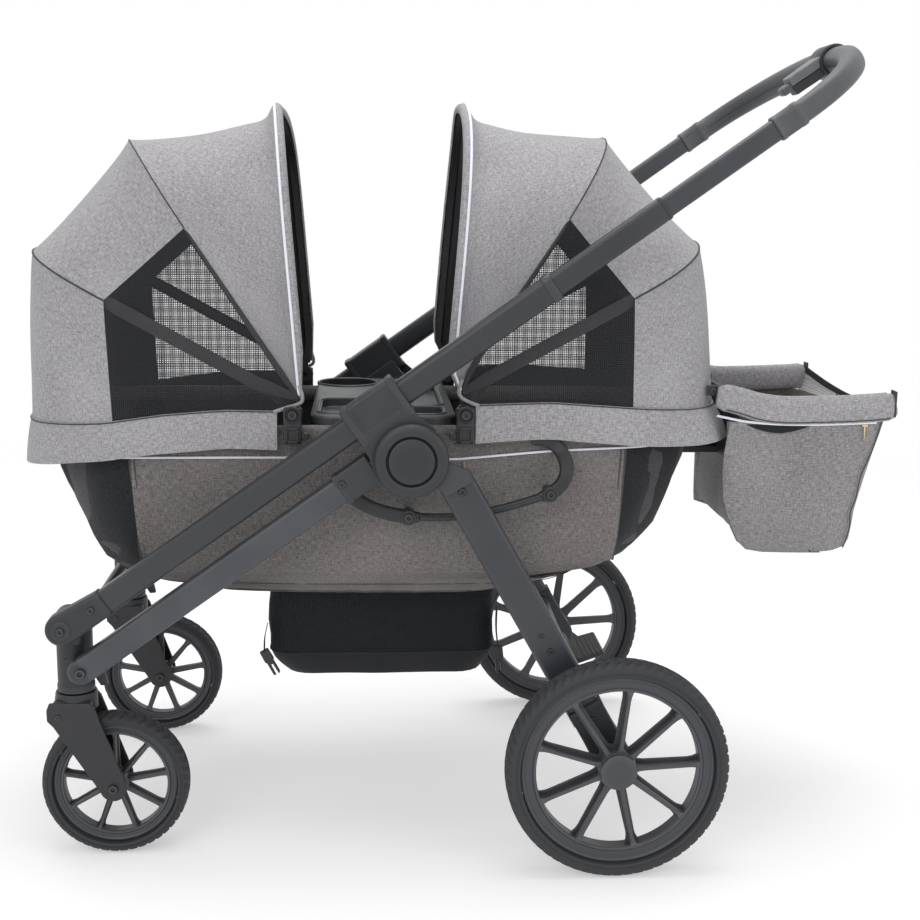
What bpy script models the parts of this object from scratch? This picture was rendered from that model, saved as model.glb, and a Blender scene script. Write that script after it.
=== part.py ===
"""Two-passenger tub stroller with two facing canopies, as separate solid pieces.

Metres, +Z up, standing on its four tyres. The pusher stands at +X, so -Y is the left side. Side-view
points are (x, z) pairs counted from the hub pivots, which the root empty places in the frame.
"""

import math

import bmesh
import bpy
from mathutils import Vector

# Fits
GAP = 0.0003
PIVOT_PLAY = 0.0006
LINK_HOLE_PLAY = 0.0031

# Hub pivots and the direction of the push tubes
HUB_X = -0.0675
HUB_Z = 0.522
SLOPE = math.radians(35.5)

# Push tubes, in the direction of the slope from the hub
TUBE_RISE = 0.0711
TUBE_Y = 0.247
TUBE_HEIGHT = 0.032
TUBE_WIDTH = 0.024
UPPER_HEIGHT = 0.0292
UPPER_WIDTH = 0.0215
CAVITY_HEIGHT = 0.0266
CAVITY_WIDTH = 0.0191
TUBE_START = -0.408
COLLAR_START = 0.250
COLLAR_LENGTH = 0.012
COLLAR_PROUD = 0.0012
TUBE_END = 0.421

# Telescoping handle
INNER_START = 0.300
SLEEVE_START = 0.581
SLEEVE_LENGTH = 0.035
SLEEVE_HEIGHT = 0.031
SLEEVE_WIDTH = 0.0245
SOCKET_DEPTH = 0.040
GRIP_BEND = 0.150
GRIP_CROSSING = 0.766
GRIP_CROSSING_RISE = 0.0657
GRIP_RADIUS = 0.017
GRIP_ARM_HEIGHT = 0.0285
GRIP_ARM_WIDTH = 0.0225
LATCH_START = 0.697
LATCH_HALF_WIDTH = 0.021
LATCH_HALF_HEIGHT = 0.0135
LATCH_WALL = 0.0032
TRIGGER_OUT = 0.013
TRIGGER_IN = 0.010
TRIGGER_TRAVEL = 0.008
TRIGGER_HALF_WIDTH = 0.0115
TRIGGER_HALF_HEIGHT = 0.0065

# Hub housing, on the push tube, and the flange behind the leg
HOUSING_START = -0.038
HOUSING_END = 0.037
HOUSING_TOP = 0.0965
HOUSING_FOOT = 0.044
HOUSING_INNER_Y = 0.229
HOUSING_OUTER_Y = 0.265
SKIRT_INNER_Y = 0.2602
SKIRT_RADIUS = 0.0413
FLANGE_RADIUS = 0.040
FLANGE_INNER_Y = 0.222
FLANGE_OUTER_Y = 0.2345
BOSS_RADIUS = 0.009
BOSS_END_Y = 0.2592
HUB_PIN_RADIUS = 0.006

# Rear leg, measured along its axis from the point nearest the hub
LEG_ANGLE = math.radians(-60.6)
LEG_OFFSET = 0.0353
LEG_WIDTH = 0.040
LEG_INNER_Y = 0.240
LEG_OUTER_Y = 0.262
LEG_WALL = 0.002
LEG_START = 0.047
LEG_END = 0.405
LEG_HEAD_RADIUS = 0.040
LEG_HEAD_INNER_Y = 0.2600
LEG_HEAD_OUTER_Y = 0.2685
LINK_PIN_RADIUS = 0.0035
COVER_RADIUS = 0.0455
COVER_CAP_RADIUS = 0.029
COVER_OUTER_Y = 0.280

# Rear axle and wheels
REAR_AXLE = (0.2561, 0.140)
REAR_WHEEL_Y = 0.3034
AXLE_HOUSING_START = 0.385
AXLE_HOUSING_INNER_Y = 0.2385
AXLE_HOUSING_OUTER_Y = 0.266
AXLE_HOUSING_RADIUS = 0.024
REAR_STUB_RADIUS = 0.006
REAR_STUB_END_Y = 0.316
CROSSBAR = (0.229, 0.188)
CROSSBAR_RADIUS = 0.011

# Front knuckle and crossbar
KNUCKLE_PIVOT = (-0.4265, 0.309)
KNUCKLE_RADIUS = 0.020
KNUCKLE_INNER_Y = 0.2335
KNUCKLE_OUTER_Y = 0.2605
KNUCKLE_PIN_RADIUS = 0.006
SPIGOT_LENGTH = 0.022
FRONT_CROSSBAR = (-0.385, 0.335)
FRONT_CROSSBAR_RADIUS = 0.008

# Front stem and lower link bar
CASTER_X = -0.4206
CASTER_Y = 0.2093
STEM_RADIUS = 0.023
STEM_BOTTOM = 0.2172
STEM_TOP = 0.302
LINK_FRONT = (-0.405, 0.2543)
LINK_REAR = (-0.022, 0.5275)
LINK_FRONT_PIN_RADIUS = 0.005
LINK_HALF_HEIGHT = 0.0165
LINK_INNER_Y = 0.236
LINK_OUTER_Y = 0.258
LINK_WALL = 0.0025
LINK_SLEEVE_REACH = 0.078
LINK_SLEEVE_LENGTH = 0.050
LINK_SLEEVE_HALF_HEIGHT = 0.0195
LINK_TONGUE_RADIUS = 0.011

# Caster fork and front wheels
FORK_CROWN_TOP = 0.2165
FORK_CROWN_BOTTOM = 0.190
FORK_PLATE_IN = 0.0225
FORK_PLATE_OUT = 0.0275
FORK_PIN_TOP = 0.246
FORK_PIN_RADIUS = 0.006
FRONT_AXLE = (-0.3743, 0.093)
FRONT_AXLE_RADIUS = 0.005
LOCK_PIVOT = (-0.3930, 0.2480)
LOCK_PIN_RADIUS = 0.002

# Wheels: tyre radius, rim radius, opening radius, hub radius, tyre half width
REAR_WHEEL = (0.140, 0.1213, 0.102, 0.0243, 0.019)
FRONT_WHEEL = (0.093, 0.0786, 0.0652, 0.016, 0.018)
SPOKES = 9
SPOKE_WIDTH = 0.009
TYRE_SIDES = 40
TREAD_HALF = 0.009

# Tub, symmetric about its middle
TUB_X = -0.038
TUB_HALF_WIDTH = 0.187
TUB_WALL = 0.003
TUB_FLOOR = 0.336
TUB_TOP = 0.5272
TUB_TOP_REACH = 0.404
TUB_CORNER = 0.100
RIM_BOTTOM = 0.5275
RIM_TOP = 0.549
RIM_WIDTH = 0.011
PAD_THICKNESS = 0.013
SEAT_BACK_WIDTH = 0.250
SEAT_BACK_THICKNESS = 0.022

# Canopies: a pivot at each side, bows as angles from the tub's middle over the top
CANOPY_REACH = 0.1075
CANOPY_PIVOT_Z = 0.568
CANOPY_CORNER = 0.130
CANOPY_CLEARANCE = 0.010
CANOPY_HALF_WIDTH = TUB_HALF_WIDTH + CANOPY_CLEARANCE
FABRIC_THICKNESS = 0.003
FABRIC_OVER_BOW = 0.0055
FABRIC_START = 0.030
FABRIC_SAG = 0.004
BOW_THICKNESS = 0.002
BOW_WIDTH = 0.008
LUG_RADIUS = 0.012
CANOPY_PIN_RADIUS = 0.003
BOWS = {
    "front_bow": (math.radians(94.6), 0.382, CANOPY_HALF_WIDTH - 0.0080),
    "middle_bow": (math.radians(123.0), 0.396, CANOPY_HALF_WIDTH - 0.0055),
    "rear_bow": (math.radians(151.3), 0.3985, CANOPY_HALF_WIDTH - 0.0030),
}
WALL_FOOT_ANGLE = math.radians(181.0)
CANOPY_OVERHANG = 0.0485
WALL_FOOT_RADIUS = TUB_TOP_REACH + CANOPY_OVERHANG - CANOPY_REACH
APRON_DROP = 0.049
APRON_FLARE = 0.005
BRACKET_INNER_Y = CANOPY_HALF_WIDTH + 0.002
BRACKET_OUTER_Y = BRACKET_INNER_Y + 0.011
BRACKET_HALF_WIDTH = 0.010
BRACKET_BOTTOM = 0.531
BRACKET_TOP = 0.5825

# Side guard bolts, through to the tub's wall
GUARD_BOLTS = ((-0.0017, 0.441), (0.1756, 0.470))

# Basket, tray and bag
BASKET_LOW = (-0.186, -0.150, 0.216)
BASKET_HIGH = (0.119, 0.150, 0.3357)
BASKET_WALL = 0.002
TRAY_HALF_WIDTH = TUB_HALF_WIDTH - 0.002
TRAY_LOW = (-0.125, -TRAY_HALF_WIDTH, 0.5495)
TRAY_HIGH = (0.060, TRAY_HALF_WIDTH, 0.563)
CUP_PLACE = (-0.080, 0.130)
CUP_RADIUS = 0.041
CUP_FLOOR = 0.509
BAG_WALL = 0.003
BAG_CORNER = 0.035
BAG_START = TUB_X + TUB_TOP_REACH + 0.088
HANGER_START = TUB_X + TUB_TOP_REACH + 0.0602
HANGER_PLATE = 0.006
HANGER_FOOT_IN = 0.0686
HOOK_REACH = 0.029
HOOK_Y = 0.11
HOOK_HALF_WIDTH = 0.012

# Looks: display colour, roughness, metallic
CHARCOAL = ((0.24, 0.25, 0.26), 0.45, 0.5)
BLACK_PLASTIC = ((0.11, 0.11, 0.12), 0.55, 0.0)
GREY_RIM = ((0.20, 0.20, 0.21), 0.5, 0.0)
TYRE_RUBBER = ((0.07, 0.07, 0.075), 0.85, 0.0)
GRIP_COVER = ((0.30, 0.30, 0.31), 0.5, 0.0)
GREY_CLOTH = ((0.55, 0.53, 0.51), 0.95, 0.0)
DARK_CLOTH = ((0.13, 0.13, 0.14), 0.95, 0.0)
BRIGHT_STEEL = ((0.60, 0.60, 0.62), 0.3, 1.0)

# Joint places, as the empties that carry each moving body
BODIES = {
    "frame": (0.0, 0.0, 0.0),
    "handle": (0.5, 0.0, 0.99),
    "latch": (0.5, 0.0, 0.95),
    "rear_legs": (0.0, 0.0, HUB_Z),
    "brake": (CROSSBAR[0], 0.0, CROSSBAR[1]),
    "tray": (-0.03, 0.0, TRAY_LOW[2]),
    "bag": (0.5, 0.0, 0.5),
}


def place_side_bodies():
    """Adds the empties' places for the pieces that come in left and right, or front and rear, pairs."""
    for side, word in ((-1, "left"), (1, "right")):
        BODIES[f"stem_{word}"] = (KNUCKLE_PIVOT[0], side * TUBE_Y, KNUCKLE_PIVOT[1])
        BODIES[f"link_{word}"] = (LINK_FRONT[0], side * TUBE_Y, LINK_FRONT[1])
        BODIES[f"caster_{word}"] = (CASTER_X, side * CASTER_Y, FORK_CROWN_TOP)
        BODIES[f"lock_{word}"] = (LOCK_PIVOT[0], side * CASTER_Y, LOCK_PIVOT[1])
        BODIES[f"front_wheel_{word}"] = (FRONT_AXLE[0], side * CASTER_Y, FRONT_AXLE[1])
        BODIES[f"rear_wheel_{word}"] = (REAR_AXLE[0], side * REAR_WHEEL_Y, REAR_AXLE[1])
    for end, word in ((-1, "front"), (1, "rear")):
        for bow in BOWS:
            BODIES[f"{word}_{bow}"] = (TUB_X + end * CANOPY_REACH, 0.0, CANOPY_PIVOT_Z)


def on_tube(along, rise):
    """Side-view point from its place along the push tube's direction and above it, from the hub."""
    x = along * math.cos(SLOPE) - rise * math.sin(SLOPE)
    z = HUB_Z + along * math.sin(SLOPE) + rise * math.cos(SLOPE)
    return x, z


def on_leg(along, out):
    """Side-view point from its place along the rear leg's direction and to its rear side, from the hub."""
    x = along * math.cos(LEG_ANGLE) - out * math.sin(LEG_ANGLE)
    z = HUB_Z + along * math.sin(LEG_ANGLE) + out * math.cos(LEG_ANGLE)
    return x, z


def arc(center, radius, start, end, steps):
    """Points of a circular arc in the side view, angles in degrees."""
    turns = [math.radians(start + (end - start) * i / steps) for i in range(steps + 1)]
    return [(center[0] + radius * math.cos(a), center[1] + radius * math.sin(a)) for a in turns]


def rounded_rectangle(width, height, radius, steps=3):
    """Outline of a rectangle about the origin with round corners, as (across, up) pairs."""
    points = []
    for sign_x, sign_y, start in ((1, 1, 0), (-1, 1, 90), (-1, -1, 180), (1, -1, 270)):
        corner = (sign_x * (width / 2 - radius), sign_y * (height / 2 - radius))
        points += arc(corner, radius, start, start + 90, steps)
    return points


def loft(rings, closed=False):
    """Solid through rings of equal point counts, capped at both ends unless it closes on itself."""
    bm = bmesh.new()
    loops = [[bm.verts.new(point) for point in ring] for ring in rings]
    count = len(loops[0])
    following = loops[1:] + (loops[:1] if closed else [])
    for first, second in zip(loops, following):
        for i in range(count):
            j = (i + 1) % count
            bm.faces.new((first[i], first[j], second[j], second[i]))
    if not closed:
        bm.faces.new(loops[0])
        bm.faces.new(list(reversed(loops[-1])))
    return bm


def prism(outline, low, high):
    """Solid between two y planes with a side-view outline."""
    return loft([[(x, y, z) for x, z in outline] for y in (low, high)])


def box(low, high):
    """Solid block between two corners."""
    outline = [(low[0], low[2]), (high[0], low[2]), (high[0], high[2]), (low[0], high[2])]
    return prism(outline, low[1], high[1])


def circle(center, radius, height, axis, sides, phase=0.0):
    """Ring of points about an axis through center; height is the place along the axis."""
    ring = []
    for i in range(sides):
        turn = phase + 2 * math.pi * i / sides
        first = center[0] + radius * math.cos(turn)
        second = center[1] + radius * math.sin(turn)
        ring.append((first, height, second) if axis == "y" else (first, second, height))
    return ring


def turned(center, profile, axis="y", sides=18, ring=False, phase=0.0):
    """Turned solid from (radius, height) pairs; a ring's profile closes on itself round its bore."""
    return loft([circle(center, r, h, axis, sides, phase) for r, h in profile], closed=ring)


def pin(center, radius, low, high, axis="y", sides=10):
    """Plain round bar between two places along an axis."""
    return turned(center, ((radius, low), (radius, high)), axis, sides)


def slab(outline, low, high):
    """Solid between two z planes with a plan outline of (x, y) pairs."""
    return loft([[(x, y, z) for x, y in outline] for z in (low, high)])


def mesh_from(name, shape, place):
    """Mesh of a shape with its points counted from a place and its faces pointing out."""
    bmesh.ops.recalc_face_normals(shape, faces=shape.faces)
    bmesh.ops.translate(shape, verts=shape.verts, vec=-Vector(place))
    mesh = bpy.data.meshes.new(name)
    shape.to_mesh(mesh)
    shape.free()
    return mesh


def look_of(name, look):
    """Principled surface of one piece from its display colour, roughness and metallic value."""
    colour, roughness, metallic = look
    material = bpy.data.materials.new(name + "_look")
    material.use_nodes = True
    shader = material.node_tree.nodes["Principled BSDF"]
    shader.inputs["Base Color"].default_value = [channel**2.2 for channel in colour] + [1.0]
    shader.inputs["Roughness"].default_value = roughness
    shader.inputs["Metallic"].default_value = metallic
    return material


def node(name, shape, look, body, joins=(), cuts=()):
    """One piece: its main shape, the shapes joined to it, then the shapes cut from it."""
    place = BODIES[body]
    mesh = mesh_from(name, shape, place)
    mesh.materials.append(look_of(name, look))
    mesh.shade_smooth()
    mesh.set_sharp_from_angle(angle=math.radians(30))
    piece = bpy.data.objects.new(name, mesh)
    bpy.context.scene.collection.objects.link(piece)
    piece.parent = bpy.data.objects[body + "_axis"]
    tools = [("UNION", tool) for tool in joins] + [("DIFFERENCE", tool) for tool in cuts]
    for index, (operation, tool) in enumerate(tools):
        helper_name = f"{name}_{operation.lower()}_{index}"
        helper = bpy.data.objects.new(helper_name, mesh_from(helper_name, tool, place))
        bpy.context.scene.collection.objects.link(helper)
        helper.parent = piece.parent
        helper.hide_render = True
        helper.display_type = "WIRE"
        step = piece.modifiers.new(helper_name, "BOOLEAN")
        step.operation = operation
        step.solver = "EXACT"
        step.object = helper
    return piece


def tube_ring(along, y, rise, width, height, radius):
    """Round-cornered ring square to the push tube."""
    ring = []
    for across, up in rounded_rectangle(width, height, radius):
        x, z = on_tube(along, rise + up)
        ring.append((x, y + across, z))
    return ring


def straight_tube(start, end, y, width, height, radius):
    """Solid bar along the push tube's direction."""
    rings = [tube_ring(along, y, TUBE_RISE, width, height, radius) for along in (start, end)]
    return loft(rings)


def main_tube(side):
    """Push tube with its collar and its slimmer upper stretch, open at both ends."""
    collar_end = COLLAR_START + COLLAR_LENGTH
    step = 0.0005
    stations = (
        (TUBE_START, TUBE_WIDTH, TUBE_HEIGHT),
        (COLLAR_START, TUBE_WIDTH, TUBE_HEIGHT),
        (COLLAR_START + step, TUBE_WIDTH + COLLAR_PROUD, TUBE_HEIGHT + 2 * COLLAR_PROUD),
        (collar_end, TUBE_WIDTH + COLLAR_PROUD, TUBE_HEIGHT + 2 * COLLAR_PROUD),
        (collar_end + step, UPPER_WIDTH, UPPER_HEIGHT),
        (TUBE_END, UPPER_WIDTH, UPPER_HEIGHT),
    )
    y = side * TUBE_Y
    rings = [tube_ring(s, y, TUBE_RISE, w, h, 0.006) for s, w, h in stations]
    inside = (TUBE_END, TUBE_START)
    rings += [tube_ring(s, y, TUBE_RISE, CAVITY_WIDTH, CAVITY_HEIGHT, 0.005) for s in inside]
    return loft(rings, closed=True)


def handle_tube(side):
    """Telescoping tube that runs from inside the push tube into the grip's socket."""
    end = SLEEVE_START + SOCKET_DEPTH - 0.002
    width = CAVITY_WIDTH - 2 * GAP
    height = CAVITY_HEIGHT - 2 * GAP
    wall = 0.0015
    y = side * TUBE_Y
    rings = [tube_ring(s, y, TUBE_RISE, width, height, 0.0045) for s in (INNER_START, end)]
    for s in (end, INNER_START):
        rings.append(tube_ring(s, y, TUBE_RISE, width - 2 * wall, height - 2 * wall, 0.003))
    return loft(rings, closed=True)


def grip_path():
    """Centre line of the grip, as (along, y, turn) with the turn of its direction from the slope."""
    sleeve_end = SLEEVE_START + SLEEVE_LENGTH
    path = [(SLEEVE_START, TUBE_Y, 0.0), (sleeve_end, TUBE_Y, 0.0)]
    steps = 6
    for i in range(1, steps + 1):
        turn = math.pi / 2 * i / steps
        along = GRIP_CROSSING - GRIP_BEND + GRIP_BEND * math.sin(turn)
        path.append((along, TUBE_Y - GRIP_BEND + GRIP_BEND * math.cos(turn), turn))
    return path


def grip_ring(along, y, turn, rise, width, height):
    """Oval ring square to the grip's centre line."""
    ring = []
    sides = 12
    for i in range(sides):
        a = 2 * math.pi * i / sides
        bulge = (abs(math.cos(a)) ** 4 + abs(math.sin(a)) ** 4) ** -0.25 * 0.35 + 0.65
        in_plane = width / 2 * math.cos(a) * bulge
        up = height / 2 * math.sin(a) * bulge
        x, z = on_tube(along + in_plane * math.sin(turn), rise + up)
        ring.append((x, y + in_plane * math.cos(turn), z))
    return ring


def handle_grip():
    """One U with a sleeve at each end, each with a socket for its handle tube."""
    half = []
    path = grip_path()
    for index, (along, y, turn) in enumerate(path):
        share = max(0.0, (index - 1) / (len(path) - 2))
        rise = TUBE_RISE + (GRIP_CROSSING_RISE - TUBE_RISE) * share
        if index < 2:
            width, height = SLEEVE_WIDTH, SLEEVE_HEIGHT
        else:
            width = GRIP_ARM_WIDTH + (2 * GRIP_RADIUS - GRIP_ARM_WIDTH) * share
            height = GRIP_ARM_HEIGHT + (2 * GRIP_RADIUS - GRIP_ARM_HEIGHT) * share
        half.append((along, y, turn, rise, width, height))
    rings = [grip_ring(*station) for station in half]
    for along, y, turn, rise, width, height in reversed(half):
        rings.append(grip_ring(along, -y, math.pi - turn, rise, width, height))
    sockets = []
    for side in (-1, 1):
        socket_end = SLEEVE_START + SOCKET_DEPTH
        start = SLEEVE_START - 0.005
        y = side * TUBE_Y
        sockets.append(straight_tube(start, socket_end, y, CAVITY_WIDTH, CAVITY_HEIGHT, 0.005))
    node("handle_grip", loft(rings), GRIP_COVER, "handle", cuts=sockets)


def slanted_box(start, end, half_width, low, high):
    """Block along the push tube's direction between two rises."""
    corners = ((start, low), (end, low), (end, high), (start, high))
    return prism([on_tube(s, t) for s, t in corners], -half_width, half_width)


def latch():
    """Housing clasped round the middle of the grip, and the trigger that is squeezed into it."""
    rise = GRIP_CROSSING_RISE
    center = on_tube(GRIP_CROSSING, rise)
    low, high = rise - LATCH_HALF_HEIGHT, rise + LATCH_HALF_HEIGHT
    body = slanted_box(LATCH_START, GRIP_CROSSING - 0.010, LATCH_HALF_WIDTH, low, high)
    hold = GRIP_RADIUS * 1.07 + GAP
    clasp_radius = hold + LATCH_WALL
    clasp = pin(center, clasp_radius, -LATCH_HALF_WIDTH - 0.002, LATCH_HALF_WIDTH + 0.002, sides=24)
    through = pin(center, hold + GAP, -0.05, 0.05, sides=24)
    depth = TRIGGER_IN + TRIGGER_TRAVEL + 0.001
    pocket = slanted_box(
        LATCH_START - 0.005,
        LATCH_START + depth,
        TRIGGER_HALF_WIDTH + GAP,
        rise - TRIGGER_HALF_HEIGHT - GAP,
        rise + TRIGGER_HALF_HEIGHT + GAP,
    )
    node("latch_block", body, BLACK_PLASTIC, "handle", joins=[clasp], cuts=[through, pocket])
    trigger = slanted_box(
        LATCH_START - TRIGGER_OUT,
        LATCH_START + TRIGGER_IN,
        TRIGGER_HALF_WIDTH,
        rise - TRIGGER_HALF_HEIGHT,
        rise + TRIGGER_HALF_HEIGHT,
    )
    node("latch_trigger", trigger, GRIP_COVER, "latch")


def hub_housing(name, side):
    """Housing that clasps the push tube, with its skirt, the flange, the boss and the leg's pin."""
    arch = [
        on_tube(*point)
        for point in arc((0.0, 0.0), HOUSING_FOOT + 0.003, 70, 110, 8)
    ]
    outline = [on_tube(HOUSING_END, HOUSING_TOP), on_tube(HOUSING_END, HOUSING_FOOT)]
    outline += arch + [on_tube(HOUSING_START, HOUSING_FOOT), on_tube(HOUSING_START, HOUSING_TOP)]
    body = prism(outline, side * HOUSING_INNER_Y, side * HOUSING_OUTER_Y)
    reach = math.degrees(math.acos(HOUSING_END / SKIRT_RADIUS))
    hem = [on_tube(*point) for point in arc((0.0, 0.0), SKIRT_RADIUS, reach, 180 - reach, 14)]
    skirt_outline = [on_tube(HOUSING_END - 0.0001, HOUSING_FOOT + 0.008)] + hem
    skirt_outline.append(on_tube(0.0001 - HOUSING_END, HOUSING_FOOT + 0.008))
    skirt = prism(skirt_outline, side * SKIRT_INNER_Y, side * (HOUSING_OUTER_Y - 0.0002))
    center = (0.0, HUB_Z)
    disc = pin(center, FLANGE_RADIUS, side * FLANGE_INNER_Y, side * FLANGE_OUTER_Y, sides=24)
    web_corners = ((-0.028, 0.01), (0.028, 0.01), (0.026, 0.060), (-0.026, 0.060))
    web_y = (side * (FLANGE_INNER_Y + 0.001), side * (FLANGE_OUTER_Y - 0.0005))
    web = prism([on_tube(s, t) for s, t in web_corners], *web_y)
    boss = pin(center, BOSS_RADIUS, side * (FLANGE_INNER_Y + 0.004), side * BOSS_END_Y)
    leg_pin = pin(center, HUB_PIN_RADIUS, side * (FLANGE_INNER_Y + 0.006), side * 0.2680)
    width, height = TUBE_WIDTH + 2 * GAP, TUBE_HEIGHT + 2 * GAP
    passage = straight_tube(-0.06, 0.06, side * TUBE_Y, width, height, 0.006)
    node(name, body, CHARCOAL, "frame", joins=[skirt, disc, web, boss, leg_pin], cuts=[passage])


def front_knuckle(name, side):
    """Casting at the push tube's lower end, with a spigot in the tube and a bore for the stem's pin."""
    pivot_x, pivot_z = KNUCKLE_PIVOT
    slope = math.degrees(SLOPE)
    nose = arc(KNUCKLE_PIVOT, KNUCKLE_RADIUS, slope + 90, slope + 270, 10)
    half = TUBE_HEIGHT / 2 + 0.0006
    end = TUBE_START - GAP
    outline = nose + [on_tube(end, TUBE_RISE - half), on_tube(end, TUBE_RISE + half)]
    body = prism(outline, side * KNUCKLE_INNER_Y, side * KNUCKLE_OUTER_Y)
    width, height = CAVITY_WIDTH - 2 * GAP, CAVITY_HEIGHT - 2 * GAP
    spigot = straight_tube(end - 0.01, end + SPIGOT_LENGTH, side * TUBE_Y, width, height, 0.0045)
    bore_radius = KNUCKLE_PIN_RADIUS + PIVOT_PLAY
    bore = pin((pivot_x, pivot_z), bore_radius, side * 0.22, side * 0.27)
    node(name, body, CHARCOAL, "frame", joins=[spigot], cuts=[bore])


def rear_leg(name, side):
    """Leg of box tube with a head plate that turns on the hub and carries the link bar's pin."""
    near, far = LEG_OFFSET - LEG_WIDTH / 2, LEG_OFFSET + LEG_WIDTH / 2
    corners = ((LEG_START, near), (LEG_END, near), (LEG_END, far), (LEG_START, far))
    body = prism([on_leg(a, n) for a, n in corners], side * LEG_INNER_Y, side * LEG_OUTER_Y)
    head_arc = arc((0.0, 0.0), LEG_HEAD_RADIUS, 60, 270, 24)
    head_outline = [(0.10, far - 0.003), (0.055, far - 0.001)] + head_arc + [(0.10, near + 0.003)]
    head = prism(
        [on_leg(a, n) for a, n in head_outline], side * LEG_HEAD_INNER_Y, side * LEG_HEAD_OUTER_Y
    )
    link_pin = pin(LINK_REAR, LINK_PIN_RADIUS, side * (LINK_INNER_Y - 0.0008), side * 0.264)
    wall = LEG_WALL
    cavity_corners = (
        (LEG_START + 0.006, near + wall),
        (LEG_END + 0.01, near + wall),
        (LEG_END + 0.01, far - wall),
        (LEG_START + 0.006, far - wall),
    )
    cavity_outline = [on_leg(a, n) for a, n in cavity_corners]
    inner_y, outer_y = side * (LEG_INNER_Y + wall), side * (LEG_OUTER_Y - wall - 0.0005)
    cavity = prism(cavity_outline, inner_y, outer_y)
    hub_hole = pin((0.0, HUB_Z), HUB_PIN_RADIUS + PIVOT_PLAY, side * 0.25, side * 0.28)
    node(name, body, CHARCOAL, "rear_legs", joins=[head, link_pin], cuts=[cavity, hub_hole])


def hub_cover(name, side):
    """Round cover over the leg's head: a soft-edged ring, a groove and a raised cap."""
    inner = LEG_HEAD_OUTER_Y + GAP
    groove = COVER_OUTER_Y - 0.004
    profile = (
        (COVER_RADIUS, inner),
        (COVER_RADIUS, groove),
        (COVER_RADIUS - 0.004, COVER_OUTER_Y - 0.0008),
        (COVER_CAP_RADIUS + 0.004, COVER_OUTER_Y - 0.0008),
        (COVER_CAP_RADIUS + 0.0015, groove),
        (COVER_CAP_RADIUS, groove),
        (COVER_CAP_RADIUS - 0.002, COVER_OUTER_Y),
    )
    shape = turned((0.0, HUB_Z), [(r, side * y) for r, y in profile], sides=30)
    node(name, shape, CHARCOAL, "rear_legs")


def axle_housing(name, side):
    """Casting on the leg's foot, with the stub axle of the rear wheel."""
    half = LEG_WIDTH / 2 + 0.0025
    axle_along = 0.4585
    outline = [on_leg(AXLE_HOUSING_START, LEG_OFFSET + half)]
    outline += [on_leg(axle_along - 0.035, LEG_OFFSET + half)]
    outline += arc(REAR_AXLE, AXLE_HOUSING_RADIUS, 25, -145, 12)
    outline += [on_leg(axle_along - 0.035, LEG_OFFSET - half)]
    outline += [on_leg(AXLE_HOUSING_START, LEG_OFFSET - half)]
    body = prism(outline, side * AXLE_HOUSING_INNER_Y, side * AXLE_HOUSING_OUTER_Y)
    stub = pin(REAR_AXLE, REAR_STUB_RADIUS, side * 0.255, side * REAR_STUB_END_Y)
    shoulder = pin(REAR_AXLE, 0.012, side * 0.250, side * 0.2795)
    near, far = LEG_OFFSET - LEG_WIDTH / 2 - GAP, LEG_OFFSET + LEG_WIDTH / 2 + GAP
    start, end = AXLE_HOUSING_START - 0.01, LEG_END + 0.0005
    corners = ((start, near), (end, near), (end, far), (start, far))
    socket_y = (side * (LEG_INNER_Y - GAP), side * (LEG_OUTER_Y + GAP))
    socket = prism([on_leg(a, n) for a, n in corners], *socket_y)
    node(name, body, CHARCOAL, "rear_legs", joins=[shoulder, stub], cuts=[socket])


def crossbars():
    """Round bars between the two knuckles and between the two axle housings."""
    reach = AXLE_HOUSING_INNER_Y - GAP
    rear = pin(CROSSBAR, CROSSBAR_RADIUS, -reach, reach, sides=24)
    node("rear_crossbar", rear, CHARCOAL, "rear_legs")
    reach = KNUCKLE_INNER_Y - GAP
    front = pin(FRONT_CROSSBAR, FRONT_CROSSBAR_RADIUS, -reach, reach)
    node("front_crossbar", front, CHARCOAL, "frame")


def brake_pedal():
    """Pedal on a sleeve that turns on the rear crossbar."""
    bore = CROSSBAR_RADIUS + PIVOT_PLAY
    outside = bore + 0.0035
    half = 0.055
    profile = ((outside, -half), (outside, half), (bore, half), (bore, -half))
    sleeve = turned(CROSSBAR, profile, ring=True)
    x, z = CROSSBAR
    outline = [(x + 0.013, z + 0.005), (x + 0.052, z + 0.016), (x + 0.055, z + 0.012)]
    outline += [(x + 0.013, z - 0.003)]
    plate = prism(outline, -half + 0.008, half - 0.008)
    node("brake_pedal", plate, BLACK_PLASTIC, "brake", joins=[sleeve])


def front_stem(name, side):
    """Barrel of the caster, with the pins for the knuckle and the link bar and the lock's pin."""
    y = side * CASTER_Y
    barrel = pin((CASTER_X, y), STEM_RADIUS, STEM_BOTTOM, STEM_TOP, axis="z", sides=20)
    lug_outline = arc(KNUCKLE_PIVOT, 0.018, 0, 180, 12)
    lug_outline += [(CASTER_X - 0.018, STEM_TOP - 0.02), (CASTER_X + 0.012, STEM_TOP - 0.02)]
    lug = prism(lug_outline, side * 0.2010, side * 0.2330)
    knuckle_pin = pin(KNUCKLE_PIVOT, KNUCKLE_PIN_RADIUS, side * 0.220, side * 0.2622)
    link_pin = pin(LINK_FRONT, LINK_FRONT_PIN_RADIUS, y, side * 0.2595)
    lock_x, lock_z = LOCK_PIVOT
    seat = box((CASTER_X + 0.015, y - 0.004, lock_z - 0.005), (lock_x + 0.003, y + 0.004, lock_z + 0.005))
    lock_pin = pin(LOCK_PIVOT, LOCK_PIN_RADIUS, y, y + 0.0125, sides=12)
    bore_radius = FORK_PIN_RADIUS + PIVOT_PLAY
    swivel_bore = pin((CASTER_X, y), bore_radius, STEM_BOTTOM - 0.01, FORK_PIN_TOP + 0.0015, axis="z")
    node(
        name,
        barrel,
        CHARCOAL,
        name.replace("front_stem", "stem"),
        joins=[lug, knuckle_pin, link_pin, seat, lock_pin],
        cuts=[swivel_bore],
    )


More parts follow.
